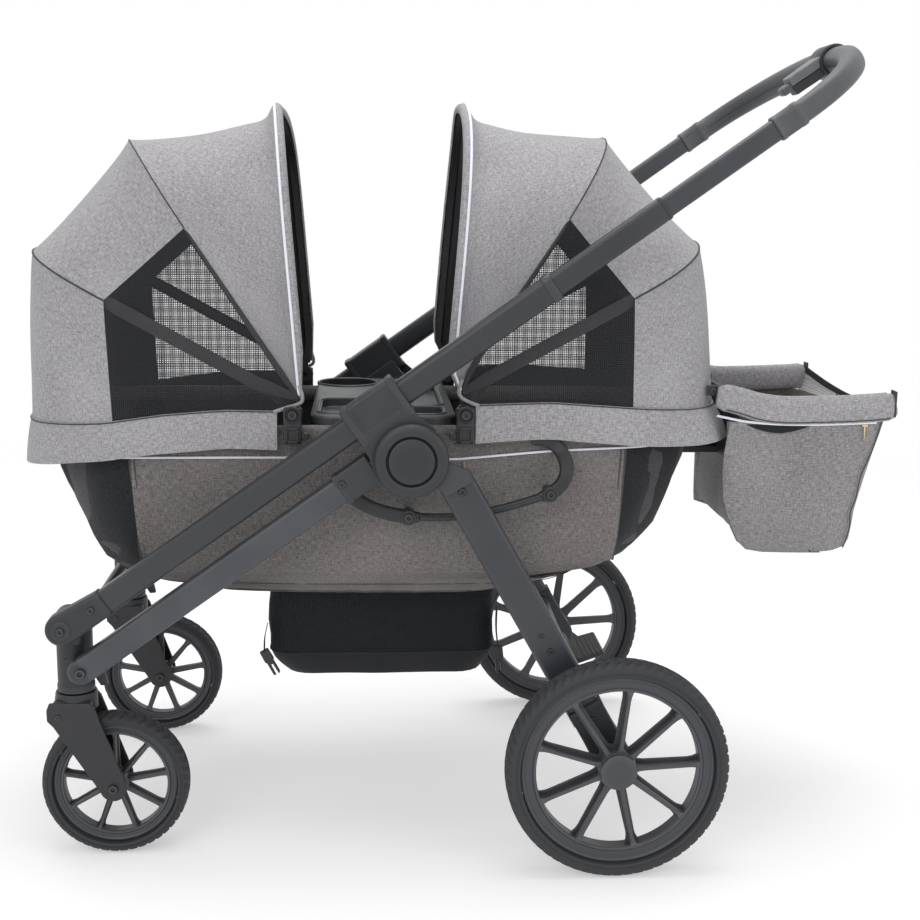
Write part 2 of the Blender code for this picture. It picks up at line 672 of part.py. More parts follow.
def link_bar(name, side):
    """Lower bar from the stem to the leg's head: a channel, a sleeve and a tongue with a clear hole."""
    slope = math.degrees(SLOPE)
    run_x, run_z = LINK_REAR[0] - LINK_FRONT[0], LINK_REAR[1] - LINK_FRONT[1]
    length = math.hypot(run_x, run_z)
    ahead = Vector((run_x / length, run_z / length))
    up = Vector((-ahead.y, ahead.x))
    front = Vector(LINK_FRONT)

    def on_bar(along, rise):
        """Side-view point along the bar from its front pivot."""
        point = front + ahead * along + up * rise
        return point.x, point.y

    sleeve_start = length - LINK_SLEEVE_REACH
    half = LINK_HALF_HEIGHT
    outline = arc(LINK_FRONT, half, slope + 90, slope + 270, 10)
    outline += [on_bar(sleeve_start + 0.01, -half), on_bar(sleeve_start + 0.01, half)]
    bar = prism(outline, side * LINK_INNER_Y, side * LINK_OUTER_Y)
    tall = LINK_SLEEVE_HALF_HEIGHT
    sleeve_end = sleeve_start + LINK_SLEEVE_LENGTH
    corners = ((sleeve_start, tall), (sleeve_start, -tall), (sleeve_end, -tall), (sleeve_end, tall))
    sleeve = prism([on_bar(s, t) for s, t in corners], side * 0.2350, side * 0.2592)
    tongue_outline = arc(LINK_REAR, LINK_TONGUE_RADIUS - 0.002, slope + 90, slope - 90, 10)
    tongue_outline += [on_bar(sleeve_end - 0.01, -0.009), on_bar(sleeve_end - 0.01, 0.009)]
    tongue = prism(tongue_outline, side * (LINK_INNER_Y + 0.003), side * LINK_OUTER_Y)
    wall = LINK_WALL
    channel_start, channel_end = 0.020, sleeve_start - 0.004
    corners = (
        (channel_start, half - wall),
        (channel_start, wall - half),
        (channel_end, wall - half),
        (channel_end, half - wall),
    )
    channel_outline = [on_bar(s, t) for s, t in corners]
    channel = prism(channel_outline, side * (LINK_INNER_Y - 0.002), side * (LINK_OUTER_Y - wall))
    front_bore = pin(LINK_FRONT, LINK_FRONT_PIN_RADIUS + PIVOT_PLAY, side * 0.23, side * 0.27)
    rear_hole = pin(LINK_REAR, LINK_PIN_RADIUS + LINK_HOLE_PLAY, side * 0.23, side * 0.27, sides=16)
    node(
        name,
        bar,
        CHARCOAL,
        name.replace("link_bar", "link"),
        joins=[sleeve, tongue],
        cuts=[channel, front_bore, rear_hole],
    )


def caster_fork(name, side):
    """Crown with the swivel pin, two side plates and the axle between them."""
    y = side * CASTER_Y
    axle_x, axle_z = FRONT_AXLE
    crown = pin((CASTER_X, y), 0.0262, FORK_CROWN_BOTTOM + 0.004, FORK_CROWN_TOP, axis="z", sides=20)
    bridge = box(
        (CASTER_X - 0.026, y - FORK_PLATE_OUT + 0.001, FORK_CROWN_BOTTOM),
        (CASTER_X + 0.022, y + FORK_PLATE_OUT - 0.001, FORK_CROWN_TOP - 0.008),
    )
    outline = [(-0.4537, 0.198), (-0.450, 0.2075), (-0.400, 0.2075), (-0.3947, 0.2009)]
    outline += arc((axle_x, axle_z), 0.017, 20, -165, 10)
    outline += [(-0.4460, 0.176), (-0.4535, 0.184)]
    plates = []
    for low, high in ((-FORK_PLATE_OUT, -FORK_PLATE_IN), (FORK_PLATE_IN, FORK_PLATE_OUT)):
        plates.append(prism(outline, y + low, y + high))
    swivel_pin = pin((CASTER_X, y), FORK_PIN_RADIUS, FORK_CROWN_TOP - 0.01, FORK_PIN_TOP, axis="z")
    axle = pin(FRONT_AXLE, FRONT_AXLE_RADIUS, y - FORK_PLATE_OUT - 0.003, y + FORK_PLATE_OUT + 0.003)
    node(
        name,
        crown,
        BLACK_PLASTIC,
        name.replace("caster_fork", "caster"),
        joins=[bridge, *plates, swivel_pin, axle],
    )


def swivel_lock(name, side):
    """Small lever beside the seat of its pin, hanging down behind the barrel."""
    y = side * CASTER_Y
    x, z = LOCK_PIVOT
    outline = arc(LOCK_PIVOT, 0.005, 0, 180, 8)
    outline += [(x - 0.0035, z - 0.020), (x + 0.002, z - 0.029), (x + 0.011, z - 0.028)]
    lever = prism(outline, y + 0.0045, y + 0.0118)
    hole = pin(LOCK_PIVOT, LOCK_PIN_RADIUS + 0.0004, y - 0.01, y + 0.02, sides=12)
    node(name, lever, BRIGHT_STEEL, name.replace("swivel_lock", "lock"), cuts=[hole])


def spoked_web(center, radii, spoke_width, low, high, first_spoke):
    """Disc of hub, straight spokes and outer ring with a bore; radii run from the bore outwards."""
    bore, hub, opening, rim = radii
    cells_per_spoke = 3
    cells = SPOKES * cells_per_spoke
    bm = bmesh.new()
    rings = []
    for radius, spread_radius in ((bore, hub), (hub, hub), (opening, opening), (rim, opening)):
        half = math.asin(spoke_width / 2 / spread_radius)
        ring = []
        for spoke in range(SPOKES):
            middle = first_spoke + 2 * math.pi * spoke / SPOKES
            window = 2 * math.pi / SPOKES - 2 * half
            turns = [middle - half] + [middle + half + window * i / 2 for i in range(2)]
            ring += [(center[0] + radius * math.cos(a), center[1] + radius * math.sin(a)) for a in turns]
        rings.append([bm.verts.new((x, low, z)) for x, z in ring])
    for inner, outer, every_cell in ((0, 1, True), (1, 2, False), (2, 3, True)):
        for i in range(cells):
            if every_cell or i % cells_per_spoke == 0:
                j = (i + 1) % cells
                first, second = rings[inner], rings[outer]
                bm.faces.new((first[i], first[j], second[j], second[i]))
    grown = bmesh.ops.extrude_face_region(bm, geom=list(bm.faces))
    moved = [item for item in grown["geom"] if isinstance(item, bmesh.types.BMVert)]
    bmesh.ops.translate(bm, verts=moved, vec=(0.0, high - low, 0.0))
    return bm


def tyre(center, y, sizes):
    """Solid tyre ring with a flat tread and rounded shoulders, its lowest facet flat on the ground."""
    radius, rim, _, _, half_width = sizes
    facet = math.cos(math.pi / TYRE_SIDES)
    top = radius / facet
    seat = (rim + GAP) / facet
    profile = (
        (seat, -half_width + 0.004),
        (seat + 0.004, -half_width),
        (top - 0.005, -half_width + 0.001),
        (top, -TREAD_HALF),
        (top, TREAD_HALF),
        (top - 0.005, half_width - 0.001),
        (seat + 0.004, half_width),
        (seat, half_width - 0.004),
    )
    phase = -math.pi / 2 + math.pi / TYRE_SIDES
    return turned(center, [(r, y + h) for r, h in profile], sides=TYRE_SIDES, ring=True, phase=phase)


def rear_wheel(word, side):
    """Rim with a bore on the stub axle and a closed cap, and its tyre."""
    y = side * REAR_WHEEL_Y
    _, rim, opening, hub, _ = REAR_WHEEL
    bore = REAR_STUB_RADIUS + PIVOT_PLAY
    web = spoked_web(REAR_AXLE, (bore, hub, opening, rim), SPOKE_WIDTH, y - 0.0115, y + 0.0115, 0.1)
    inner_hub = turned(
        REAR_AXLE,
        [(r, side * h) for r, h in ((0.020, 0.2802), (0.020, 0.298), (bore, 0.298), (bore, 0.2802))],
        ring=True,
    )
    cap_start = REAR_STUB_END_Y + 0.0005
    cap_profile = ((0.0235, 0.312), (0.0235, 0.320), (0.0215, 0.3229))
    cap = turned(REAR_AXLE, [(r, side * h) for r, h in cap_profile])
    stub_room = pin(REAR_AXLE, bore, side * 0.27, side * cap_start)
    body = f"rear_wheel_{word}"
    node(f"rear_rim_{word}", web, GREY_RIM, body, joins=[inner_hub, cap], cuts=[stub_room])
    node(f"rear_tyre_{word}", tyre(REAR_AXLE, y, REAR_WHEEL), TYRE_RUBBER, body)


def front_wheel(word, side):
    """Rim with a long hub on the fork's axle, and its tyre."""
    y = side * CASTER_Y
    _, rim, opening, hub, _ = FRONT_WHEEL
    bore = FRONT_AXLE_RADIUS + PIVOT_PLAY
    web = spoked_web(FRONT_AXLE, (bore, hub, opening, rim), SPOKE_WIDTH, y - 0.010, y + 0.010, 0.3)
    reach = FORK_PLATE_IN - 0.0008
    profile = ((0.013, y - reach), (0.013, y + reach), (bore, y + reach), (bore, y - reach))
    long_hub = turned(FRONT_AXLE, profile, ring=True)
    body = f"front_wheel_{word}"
    clear = pin(FRONT_AXLE, bore, y - 0.03, y + 0.03)
    node(f"front_rim_{word}", web, GREY_RIM, body, joins=[long_hub], cuts=[clear])
    node(f"front_tyre_{word}", tyre(FRONT_AXLE, y, FRONT_WHEEL), TYRE_RUBBER, body)


def hopper(levels):
    """Solid through round-cornered plan rectangles: (z, low x, high x, half width, corner radius)."""
    rings = []
    for z, low, high, half, corner in levels:
        outline = rounded_rectangle(high - low, 2 * half, corner, 4)
        middle = (low + high) / 2
        rings.append([(middle + across, up, z) for across, up in outline])
    return loft(rings)


def tub_levels(inset):
    """Plan rectangles of the tub with its walls moved in; the inner ones run on past the open top."""
    half = TUB_HALF_WIDTH - inset
    top = TUB_TOP_REACH - inset
    levels = [
        (TUB_FLOOR + inset, -0.200, 0.130, half, 0.030),
        (0.357 + inset, TUB_X - top + 0.091, TUB_X + top - 0.091, half, 0.070 - inset),
        (0.383 + inset, TUB_X - top + 0.054, TUB_X + top - 0.054, half, 0.080 - inset),
        (TUB_TOP, TUB_X - top, TUB_X + top, half, TUB_CORNER - inset),
    ]
    if inset:
        levels.append((TUB_TOP + 0.02, TUB_X - top, TUB_X + top, half, TUB_CORNER - inset))
    return levels


def rim_ring():
    """Round-cornered ring that lies on the tub's top edge."""
    rings = []
    for inset, z in ((0, RIM_BOTTOM), (0, RIM_TOP), (RIM_WIDTH, RIM_TOP), (RIM_WIDTH, RIM_BOTTOM)):
        reach, half = TUB_TOP_REACH - inset, TUB_HALF_WIDTH - inset
        outline = rounded_rectangle(2 * reach, 2 * half, TUB_CORNER - inset, 4)
        rings.append([(TUB_X + across, up, z) for across, up in outline])
    return loft(rings, closed=True)


def tub():
    """Open-topped shell, the rim on top of it with the canopy brackets, and the hub adapters."""
    node("tub_shell", hopper(tub_levels(0.0)), GREY_CLOTH, "frame", cuts=[hopper(tub_levels(TUB_WALL))])
    joins = []
    for side in (-1, 1):
        adapter_low = (-0.015, side * (TUB_HALF_WIDTH - 0.007), 0.530)
        joins.append(box(adapter_low, (0.015, side * (FLANGE_INNER_Y - GAP), 0.5475)))
        for end in (-1, 1):
            x = TUB_X + end * CANOPY_REACH
            low_y, high_y = side * BRACKET_INNER_Y, side * BRACKET_OUTER_Y
            half = BRACKET_HALF_WIDTH
            joins.append(box((x - half, low_y, BRACKET_BOTTOM), (x + half, high_y, BRACKET_TOP)))
            tie_low = (x - 0.009, side * (TUB_HALF_WIDTH - 0.006), 0.532)
            joins.append(box(tie_low, (x + 0.009, side * (BRACKET_OUTER_Y - 0.003), 0.546)))
            axis = (x, CANOPY_PIVOT_Z)
            pin_y = (side * (CANOPY_HALF_WIDTH - 0.0105), side * (CANOPY_HALF_WIDTH + 0.008))
            joins.append(pin(axis, CANOPY_PIN_RADIUS, *pin_y, sides=10))
    node("tub_rim", rim_ring(), BLACK_PLASTIC, "frame", joins=joins)


def cushion(origin, across, up, out, size, thickness, channels):
    """Quilted pad on a flat back, with a crown, drawn-in edges and stitched channels across it."""
    width, height = size
    columns, rows = 8, 12
    front, back = [], []
    for row in range(rows + 1):
        v = row / rows
        pinch = 0.0 if row in (0, rows) else abs(math.sin(math.pi * channels * v)) ** 0.5
        for column in range(columns + 1):
            u = column / columns
            edge = min(1.0, 4 * math.sin(math.pi * u)) * min(1.0, 4 * math.sin(math.pi * v))
            depth = thickness * (0.35 + 0.65 * edge * (0.72 + 0.28 * pinch))
            draw = 0.004 * (1.0 - math.sin(math.pi * u)) * math.sin(math.pi * v) * math.copysign(1, 0.5 - u)
            base = Vector(origin) + Vector(across) * (width * (u - 0.5) + draw) + Vector(up) * height * v
            back.append(base)
            front.append(base + Vector(out) * depth)
    bm = bmesh.new()
    near = [bm.verts.new(point) for point in front]
    far = [bm.verts.new(point) for point in back]
    stride = columns + 1
    for row in range(rows):
        for column in range(columns):
            corner = row * stride + column
            quad = (corner, corner + 1, corner + 1 + stride, corner + stride)
            bm.faces.new([near[i] for i in quad])
            bm.faces.new([far[i] for i in reversed(quad)])
    edge_loop = list(range(columns + 1))
    edge_loop += [row * stride + columns for row in range(1, rows + 1)]
    edge_loop += [rows * stride + column for column in range(columns - 1, -1, -1)]
    edge_loop += [row * stride for row in range(rows - 1, 0, -1)]
    for first, second in zip(edge_loop, edge_loop[1:] + edge_loop[:1]):
        bm.faces.new((near[first], far[first], far[second], near[second]))
    return bm


def padding():
    """Floor pad and the two seat backs, one against each end wall of the tub."""
    floor = cushion(
        (TUB_X - 0.157, 0.0, TUB_FLOOR + TUB_WALL + 0.0005),
        (0, 1, 0),
        (1, 0, 0),
        (0, 0, 1),
        (0.320, 2 * (TUB_HALF_WIDTH - 0.026)),
        PAD_THICKNESS,
        4,
    )
    node("floor_pad", floor, DARK_CLOTH, "frame")
    foot_reach, foot_z, top_z = TUB_TOP_REACH - 0.066, 0.392, 0.540
    top_reach = TUB_TOP_REACH - 0.0208
    for end, word in ((-1, "front"), (1, "rear")):
        foot_x = TUB_X + end * foot_reach
        lean = Vector((end * (top_reach - foot_reach), 0.0, top_z - foot_z))
        height = lean.length
        up = lean / height
        out = Vector((-end * up.z, 0.0, end * up.x))
        back = cushion((foot_x, 0.0, foot_z), (0, 1, 0), up, out, (SEAT_BACK_WIDTH, height), SEAT_BACK_THICKNESS, 3)
        node(f"seat_back_{word}", back, DARK_CLOTH, "frame")


def guard_path():
    """Centre line of the side guard, as side-view points with its half width there."""
    path = [(-0.0745, 0.469, 0.009)]
    path += [(x, z, 0.0085) for x, z in ((-0.052, 0.4545), (-0.026, 0.4455), (-0.0017, 0.441))]
    path += [(0.012, 0.4405, 0.005), (0.0565, 0.441, 0.005), (0.110, 0.450, 0.005), (0.160, 0.4645, 0.005)]
    path += [(0.1756, 0.470, 0.0085), (0.190, 0.482, 0.0085), (0.1973, 0.507, 0.0085), (0.191, 0.525, 0.0085)]
    path += [(0.1765, 0.536, 0.009)]
    return path


def side_guard(name, side):
    """Thin bar along the tub's side between two thicker bowed ends."""
    path = guard_path()
    rings = []
    for i, (x, z, half) in enumerate(path):
        before, after = path[max(i - 1, 0)], path[min(i + 1, len(path) - 1)]
        ahead = Vector((after[0] - before[0], after[1] - before[1])).normalized()
        up = Vector((-ahead.y, ahead.x)) * half
        low, high = side * 0.212, side * 0.225
        ring = [(x + up.x, low, z + up.y), (x + up.x, high, z + up.y)]
        ring += [(x - up.x, high, z - up.y), (x - up.x, low, z - up.y)]
        rings.append(ring)
    bolts = []
    for place in GUARD_BOLTS:
        bolts.append(pin(place, 0.0055, side * (TUB_HALF_WIDTH + GAP), side * 0.2215))
    node(name, loft(rings), BLACK_PLASTIC, "frame", joins=bolts)


def bow_curve(radius, half_width, start, offset):
    """U of a bow in its own plane, as (out, y, normal out, normal y), moved out by an offset."""
    corner_out = radius - CANOPY_CORNER
    corner_y = half_width - CANOPY_CORNER
    reach = CANOPY_CORNER + offset
    half = [(start, half_width + offset, 0.0, 1.0), ((start + corner_out) / 2, half_width + offset, 0.0, 1.0)]
    steps = 5
    for i in range(steps + 1):
        turn = math.pi / 2 * i / steps
        normal = (math.sin(turn), math.cos(turn))
        half.append((corner_out + reach * normal[0], corner_y + reach * normal[1], *normal))
    other = [(out, -y, normal_out, -normal_y) for out, y, normal_out, normal_y in reversed(half)]
    return half + other


def canopy_point(end, angle, out, y, shift=0.0):
    """Place on a canopy from its bow angle, its reach from the pivot and a shift square to the bow."""
    away = -math.cos(angle) * out + math.sin(angle) * shift
    up = math.sin(angle) * out + math.cos(angle) * shift
    return (TUB_X + end * (CANOPY_REACH + away), y, CANOPY_PIVOT_Z + up)


def canopy_bow(end, word, bow):
    """Flat strip bent to a U, with a lug round the pivot pin at each end."""
    angle, radius, half_width = BOWS[bow]
    half = BOW_THICKNESS / 2
    rings = []
    for out, y, normal_out, normal_y in bow_curve(radius, half_width, 0.004, 0.0):
        ring = []
        for thick, wide in ((half, 1), (half, -1), (-half, -1), (-half, 1)):
            shift = wide * BOW_WIDTH / 2
            ring.append(canopy_point(end, angle, out + normal_out * thick, y + normal_y * thick, shift))
        rings.append(ring)
    axis = (TUB_X + end * CANOPY_REACH, CANOPY_PIVOT_Z)
    lugs, holes = [], []
    for side in (-1, 1):
        middle = side * half_width
        lugs.append(pin(axis, LUG_RADIUS, middle - half - 0.0001, middle + half + 0.0001))
        holes.append(pin(axis, CANOPY_PIN_RADIUS + 0.0005, middle - 0.003, middle + 0.003, sides=10))
    name = f"canopy_{word}_{bow}"
    node(name, loft(rings), BLACK_PLASTIC, f"{word}_{bow}", joins=lugs, cuts=holes)


def sheet(rows):
    """Thin closed solid from rows of (outer, inner) point pairs."""
    bm = bmesh.new()
    grid = [[(bm.verts.new(outer), bm.verts.new(inner)) for outer, inner in row] for row in rows]
    last = len(grid) - 1
    for first, second in zip(grid, grid[1:]):
        for (a, a_in), (b, b_in), (c, c_in), (d, d_in) in zip(first, first[1:], second[1:], second):
            bm.faces.new((a, b, c, d))
            bm.faces.new((d_in, c_in, b_in, a_in))
        for i in (0, -1):
            bm.faces.new((first[i][0], second[i][0], second[i][1], first[i][1]))
    for row in (grid[0], grid[last]):
        for (a, a_in), (b, b_in) in zip(row, row[1:]):
            bm.faces.new((a, b, b_in, a_in))
    return bm


def fabric_row(end, angle, radius, shift=0.0, drop=0.0, flare=0.0):
    """One row of a canopy sheet at a bow angle; drop lowers it and flare moves it out."""
    row = []
    half = FABRIC_THICKNESS / 2
    for out, y, normal_out, normal_y in bow_curve(radius, CANOPY_HALF_WIDTH, FABRIC_START, 0.0):
        pair = []
        for thick in (half, -half):
            move = thick + flare
            x_, y_, z_ = canopy_point(end, angle, out + normal_out * move, y + normal_y * move, shift)
            pair.append((x_, y_, z_ - drop))
        row.append(pair)
    return row


def canopy_sheets(end, word):
    """Front, middle and rear sheet of one canopy; the rear one ends in the apron."""
    stations = [(angle, radius + FABRIC_OVER_BOW) for angle, radius, _ in BOWS.values()]
    names = ("front_panel", "middle_panel")
    bodies = ("middle_bow", "rear_bow")
    for i, panel in enumerate(names):
        (first_angle, first_radius), (second_angle, second_radius) = stations[i], stations[i + 1]
        middle_radius = (first_radius + second_radius) / 2 * math.cos((second_angle - first_angle) / 2)
        rows = [
            fabric_row(end, first_angle, first_radius, shift=GAP if i else -BOW_WIDTH / 2),
            fabric_row(end, (first_angle + second_angle) / 2, middle_radius - FABRIC_SAG),
            fabric_row(end, second_angle, second_radius, shift=-GAP),
        ]
        node(f"canopy_{word}_{panel}", sheet(rows), GREY_CLOTH, f"{word}_{bodies[i]}")
    angle, radius = stations[2]
    middle_angle = (angle + WALL_FOOT_ANGLE) / 2
    middle_radius = (radius + WALL_FOOT_RADIUS) / 2 * math.cos((WALL_FOOT_ANGLE - angle) / 2)
    rows = [
        fabric_row(end, angle, radius, shift=GAP),
        fabric_row(end, middle_angle, middle_radius - FABRIC_SAG),
        fabric_row(end, WALL_FOOT_ANGLE, WALL_FOOT_RADIUS),
        fabric_row(end, WALL_FOOT_ANGLE, WALL_FOOT_RADIUS, drop=APRON_DROP, flare=APRON_FLARE),
    ]
    node(f"canopy_{word}_rear_panel", sheet(rows), GREY_CLOTH, "frame")


def under_basket():
    """Open box of mesh cloth under the tub."""
    wall = BASKET_WALL
    inner_low = [value + wall for value in BASKET_LOW]
    inner_high = (BASKET_HIGH[0] - wall, BASKET_HIGH[1] - wall, BASKET_HIGH[2] + 0.01)
    inside = box(inner_low, inner_high)
    node("under_basket", box(BASKET_LOW, BASKET_HIGH), DARK_CLOTH, "frame", cuts=[inside])


def cup_tray():
    """Tray across the tub with a cup well and shallow pockets."""
    body = box(TRAY_LOW, TRAY_HIGH)
    top = TRAY_HIGH[2]
    well = pin(CUP_PLACE, CUP_RADIUS + 0.0025, CUP_FLOOR - 0.003, top - 0.002, axis="z", sides=24)
    cup = pin(CUP_PLACE, CUP_RADIUS, CUP_FLOOR, top + 0.01, axis="z", sides=24)
    corner = 0.018
    pockets = []
    for center, size in (((0.012, 0.0), (0.060, 0.200)), ((-0.078, -0.105), (0.070, 0.120))):
        outline = rounded_rectangle(size[0], size[1], corner, 4)
        outline = [(center[0] + across, center[1] + up) for across, up in outline]
        pockets.append(slab(outline, top - 0.008, top + 0.01))
    node("cup_tray", body, BLACK_PLASTIC, "tray", joins=[well], cuts=[cup, *pockets])


def rear_bag():
    """Open parent bag with a padded rim, and the bracket that it hangs on."""
    wall, corner, start = BAG_WALL, BAG_CORNER, BAG_START
    outer = hopper(
        (
            (0.370, start, start + 0.124, 0.128, corner),
            (0.382, start - 0.004, start + 0.136, 0.137, corner),
            (0.555, start + 0.0015, start + 0.164, 0.160, corner),
            (0.562, start + 0.0015, start + 0.1715, 0.168, corner),
            (0.582, start + 0.0015, start + 0.1778, 0.171, corner),
            (0.590, start + 0.0015, start + 0.174, 0.167, corner),
        )
    )
    inner = hopper(
        (
            (0.373, start + wall, start + 0.121, 0.126, corner - wall),
            (0.385, start - 0.004 + wall, start + 0.133, 0.134, corner - wall),
            (0.555, start + 0.0055 + wall, start + 0.158, 0.154, corner - wall),
            (0.600, start + 0.0085 + wall, start + 0.158, 0.154, corner - wall),
        )
    )
    node("rear_bag", outer, GREY_CLOTH, "bag", cuts=[inner])
    x = HANGER_START
    plate = box((x, -0.150, 0.492), (x + HANGER_PLATE, 0.150, 0.586))
    foot = box((x - HANGER_FOOT_IN, -0.060, 0.493), (x + 0.0038, 0.060, 0.503))
    hooks = []
    for y in (-HOOK_Y, HOOK_Y):
        hook_low = (x + 0.0038, y - HOOK_HALF_WIDTH, 0.570)
        hooks.append(box(hook_low, (x + HOOK_REACH, y + HOOK_HALF_WIDTH, 0.583)))
    node("bag_hanger", plate, BLACK_PLASTIC, "frame", joins=[foot, *hooks])


def make_bodies():
    """Root empty at the hub and one empty for each body on its joint's axis."""
    place_side_bodies()
    root = bpy.data.objects.new("stroller", None)
    root.location = (HUB_X, 0.0, 0.0)
    bpy.context.scene.collection.objects.link(root)
    for body, place in BODIES.items():
        axis = bpy.data.objects.new(body + "_axis", None)
        axis.location = place
        axis.parent = root
        axis.empty_display_size = 0.03
        bpy.context.scene.collection.objects.link(axis)


def paired_pieces():
    """Everything that comes once on the left and once on the right."""
    for side, word in ((-1, "left"), (1, "right")):
        node(f"main_tube_{word}", main_tube(side), CHARCOAL, "frame")
        node(f"handle_tube_{word}", handle_tube(side), CHARCOAL, "handle")
        hub_housing(f"hub_housing_{word}", side)
        front_knuckle(f"front_knuckle_{word}", side)
        rear_leg(f"rear_leg_{word}", side)
        hub_cover(f"hub_cover_{word}", side)
        axle_housing(f"axle_housing_{word}", side)
        front_stem(f"front_stem_{word}", side)
        link_bar(f"link_bar_{word}", side)
        caster_fork(f"caster_fork_{word}", side)
        swivel_lock(f"swivel_lock_{word}", side)
        side_guard(f"side_guard_{word}", side)
        rear_wheel(word, side)
        front_wheel(word, side)


def canopies():
    """The two facing canopies."""
    for end, word in ((-1, "front"), (1, "rear")):
        for bow in BOWS:
            canopy_bow(end, word, bow)
        canopy_sheets(end, word)


def main():
    """Clears the scene and builds every piece."""
    for item in list(bpy.data.objects):
        bpy.data.objects.remove(item, do_unlink=True)
    make_bodies()
    paired_pieces()
    crossbars()
    brake_pedal()
    handle_grip()
    latch()
    tub()
    padding()
    canopies()
    under_basket()
    cup_tray()
    rear_bag()


main()
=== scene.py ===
"""Two-passenger tub stroller with two facing canopies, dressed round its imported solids."""

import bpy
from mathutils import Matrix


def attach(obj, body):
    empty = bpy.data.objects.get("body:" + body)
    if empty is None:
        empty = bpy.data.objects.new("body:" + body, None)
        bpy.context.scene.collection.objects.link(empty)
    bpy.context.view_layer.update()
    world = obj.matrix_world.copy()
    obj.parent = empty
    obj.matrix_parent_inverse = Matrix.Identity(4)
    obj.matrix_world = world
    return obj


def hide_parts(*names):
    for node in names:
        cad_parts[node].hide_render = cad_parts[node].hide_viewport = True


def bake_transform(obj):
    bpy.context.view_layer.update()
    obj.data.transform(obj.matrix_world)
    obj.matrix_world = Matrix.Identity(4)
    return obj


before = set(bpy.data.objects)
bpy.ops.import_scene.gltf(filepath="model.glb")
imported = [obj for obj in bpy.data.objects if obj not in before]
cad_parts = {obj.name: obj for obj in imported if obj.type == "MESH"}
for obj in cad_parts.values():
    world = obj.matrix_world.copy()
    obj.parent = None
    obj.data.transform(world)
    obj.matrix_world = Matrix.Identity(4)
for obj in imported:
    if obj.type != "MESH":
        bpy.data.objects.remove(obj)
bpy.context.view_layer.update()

import logging
import math
from collections.abc import Callable
from dataclasses import dataclass
from enum import Enum, IntEnum

import bmesh
import bpy
from mathutils import Matrix, Vector, noise

LOG = logging.getLogger("stroller")

Pair = tuple[float, float]
Triple = tuple[float, float, float]
Ring = list[Triple]

# Places in metres: x from the hub pivots, z from the floor, and angles of the members in side view.
HUB_X = -0.0675
HUB_Z = 0.522
SLOPE = math.radians(35.5)
LEG_ANGLE = math.radians(-60.6)
LEG_OFFSET = 0.0353
TUBE_RISE = 0.0711
TUBE_Y = 0.247
TUB_X = -0.038
CASTER_X = -0.4206
CASTER_Y = 0.2093
KNUCKLE_PIVOT = (-0.4265, 0.309)
LINK_FRONT = (-0.405, 0.2543)
LINK_REAR = (-0.022, 0.5275)
REAR_AXLE = (0.2561, 0.140)
REAR_WHEEL_Y = 0.3034
FRONT_AXLE = (-0.3743, 0.093)
CROSSBAR = (0.229, 0.188)
WHITE = (1.0, 1.0, 1.0, 1.0)
DARK = (0.0, 0.0, 0.0, 1.0)


class Side(Enum):
    """Left and right of the person pushing, as the sign of Y."""

    LEFT = -1
    RIGHT = 1

    @property
    def word(self) -> str:
        """Name of the side as the nodes have it."""
        return self.name.lower()


class End(Enum):
    """Front and rear of the tub, as the sign of X from its middle."""

    FRONT = -1
    REAR = 1

    @property
    def word(self) -> str:
        """Name of the end as the nodes have it."""
        return self.name.lower()


class Zone(IntEnum):
    """Material slots of a lined cloth piece."""

    OUTSIDE = 0
    LINING = 1
    NET = 2


def on_tube(along: float, rise: float) -> Pair:
    """Side-view point from its place along the push tube's direction and above it, from the hub."""
    x = along * math.cos(SLOPE) - rise * math.sin(SLOPE)
    return x, HUB_Z + along * math.sin(SLOPE) + rise * math.cos(SLOPE)


def on_leg(along: float, out: float) -> Pair:
    """Side-view point from its place along the rear leg's direction and to its rear, from the hub."""
    x = along * math.cos(LEG_ANGLE) - out * math.sin(LEG_ANGLE)
    return x, HUB_Z + along * math.sin(LEG_ANGLE) + out * math.cos(LEG_ANGLE)


def on_link(along: float, rise: float) -> Pair:
    """Side-view point from its place along the lower link bar from its front pivot, and above it.

    Args:
        along: Distance from the bar's front pivot.
        rise: Distance above its centre line.

    Returns:
        The point as (x, z).
    """
    run = Vector((LINK_REAR[0] - LINK_FRONT[0], LINK_REAR[1] - LINK_FRONT[1])).normalized()
    return (
        LINK_FRONT[0] + run.x * along - run.y * rise,
        LINK_FRONT[1] + run.y * along + run.x * rise,
    )


def arc(center: Pair, radius: float, start: float, end: float, steps: int) -> list[Pair]:
    """Points of a circular arc in a plane, angles in degrees."""
    turns = [math.radians(start + (end - start) * i / steps) for i in range(steps + 1)]
    return [(center[0] + radius * math.cos(a), center[1] + radius * math.sin(a)) for a in turns]


def rounded_rectangle(width: float, height: float, radius: float, steps: int = 6) -> list[Pair]:
    """Outline of a rectangle about the origin with round corners, as (across, up) pairs.

    Args:
        width: Size across.
        height: Size up.
        radius: Radius of the corners.
        steps: Facets of one corner.

    Returns:
        The outline's points.
    """
    points = []
    for sign_x, sign_y, start in ((1, 1, 0), (-1, 1, 90), (-1, -1, 180), (1, -1, 270)):
        corner = (sign_x * (width / 2 - radius), sign_y * (height / 2 - radius))
        points += arc(corner, radius, start, start + 90, steps)
    return points


def run_at(path: list[Vector], index: int) -> Vector:
    """Step from the point before to the point after one of a path's points."""
    return path[min(index + 1, len(path) - 1)] - path[max(index - 1, 0)]


def mirrored(half: list[Vector]) -> list[Vector]:
    """Near half of a line up to its middle, and then its mirror image on the far side."""
    return half + [Vector((p.x, -p.y, p.z)) for p in reversed(half[:-1])]


def turned_outward(normal: Vector, away: Vector) -> Vector:
    """Turns a normal round where it points against the way outward.

    Args:
        normal: The normal, which is changed in place.
        away: A direction that leads outward.

    Returns:
        The normal.
    """
    if normal.dot(away) < 0:
        normal.negate()
    return normal


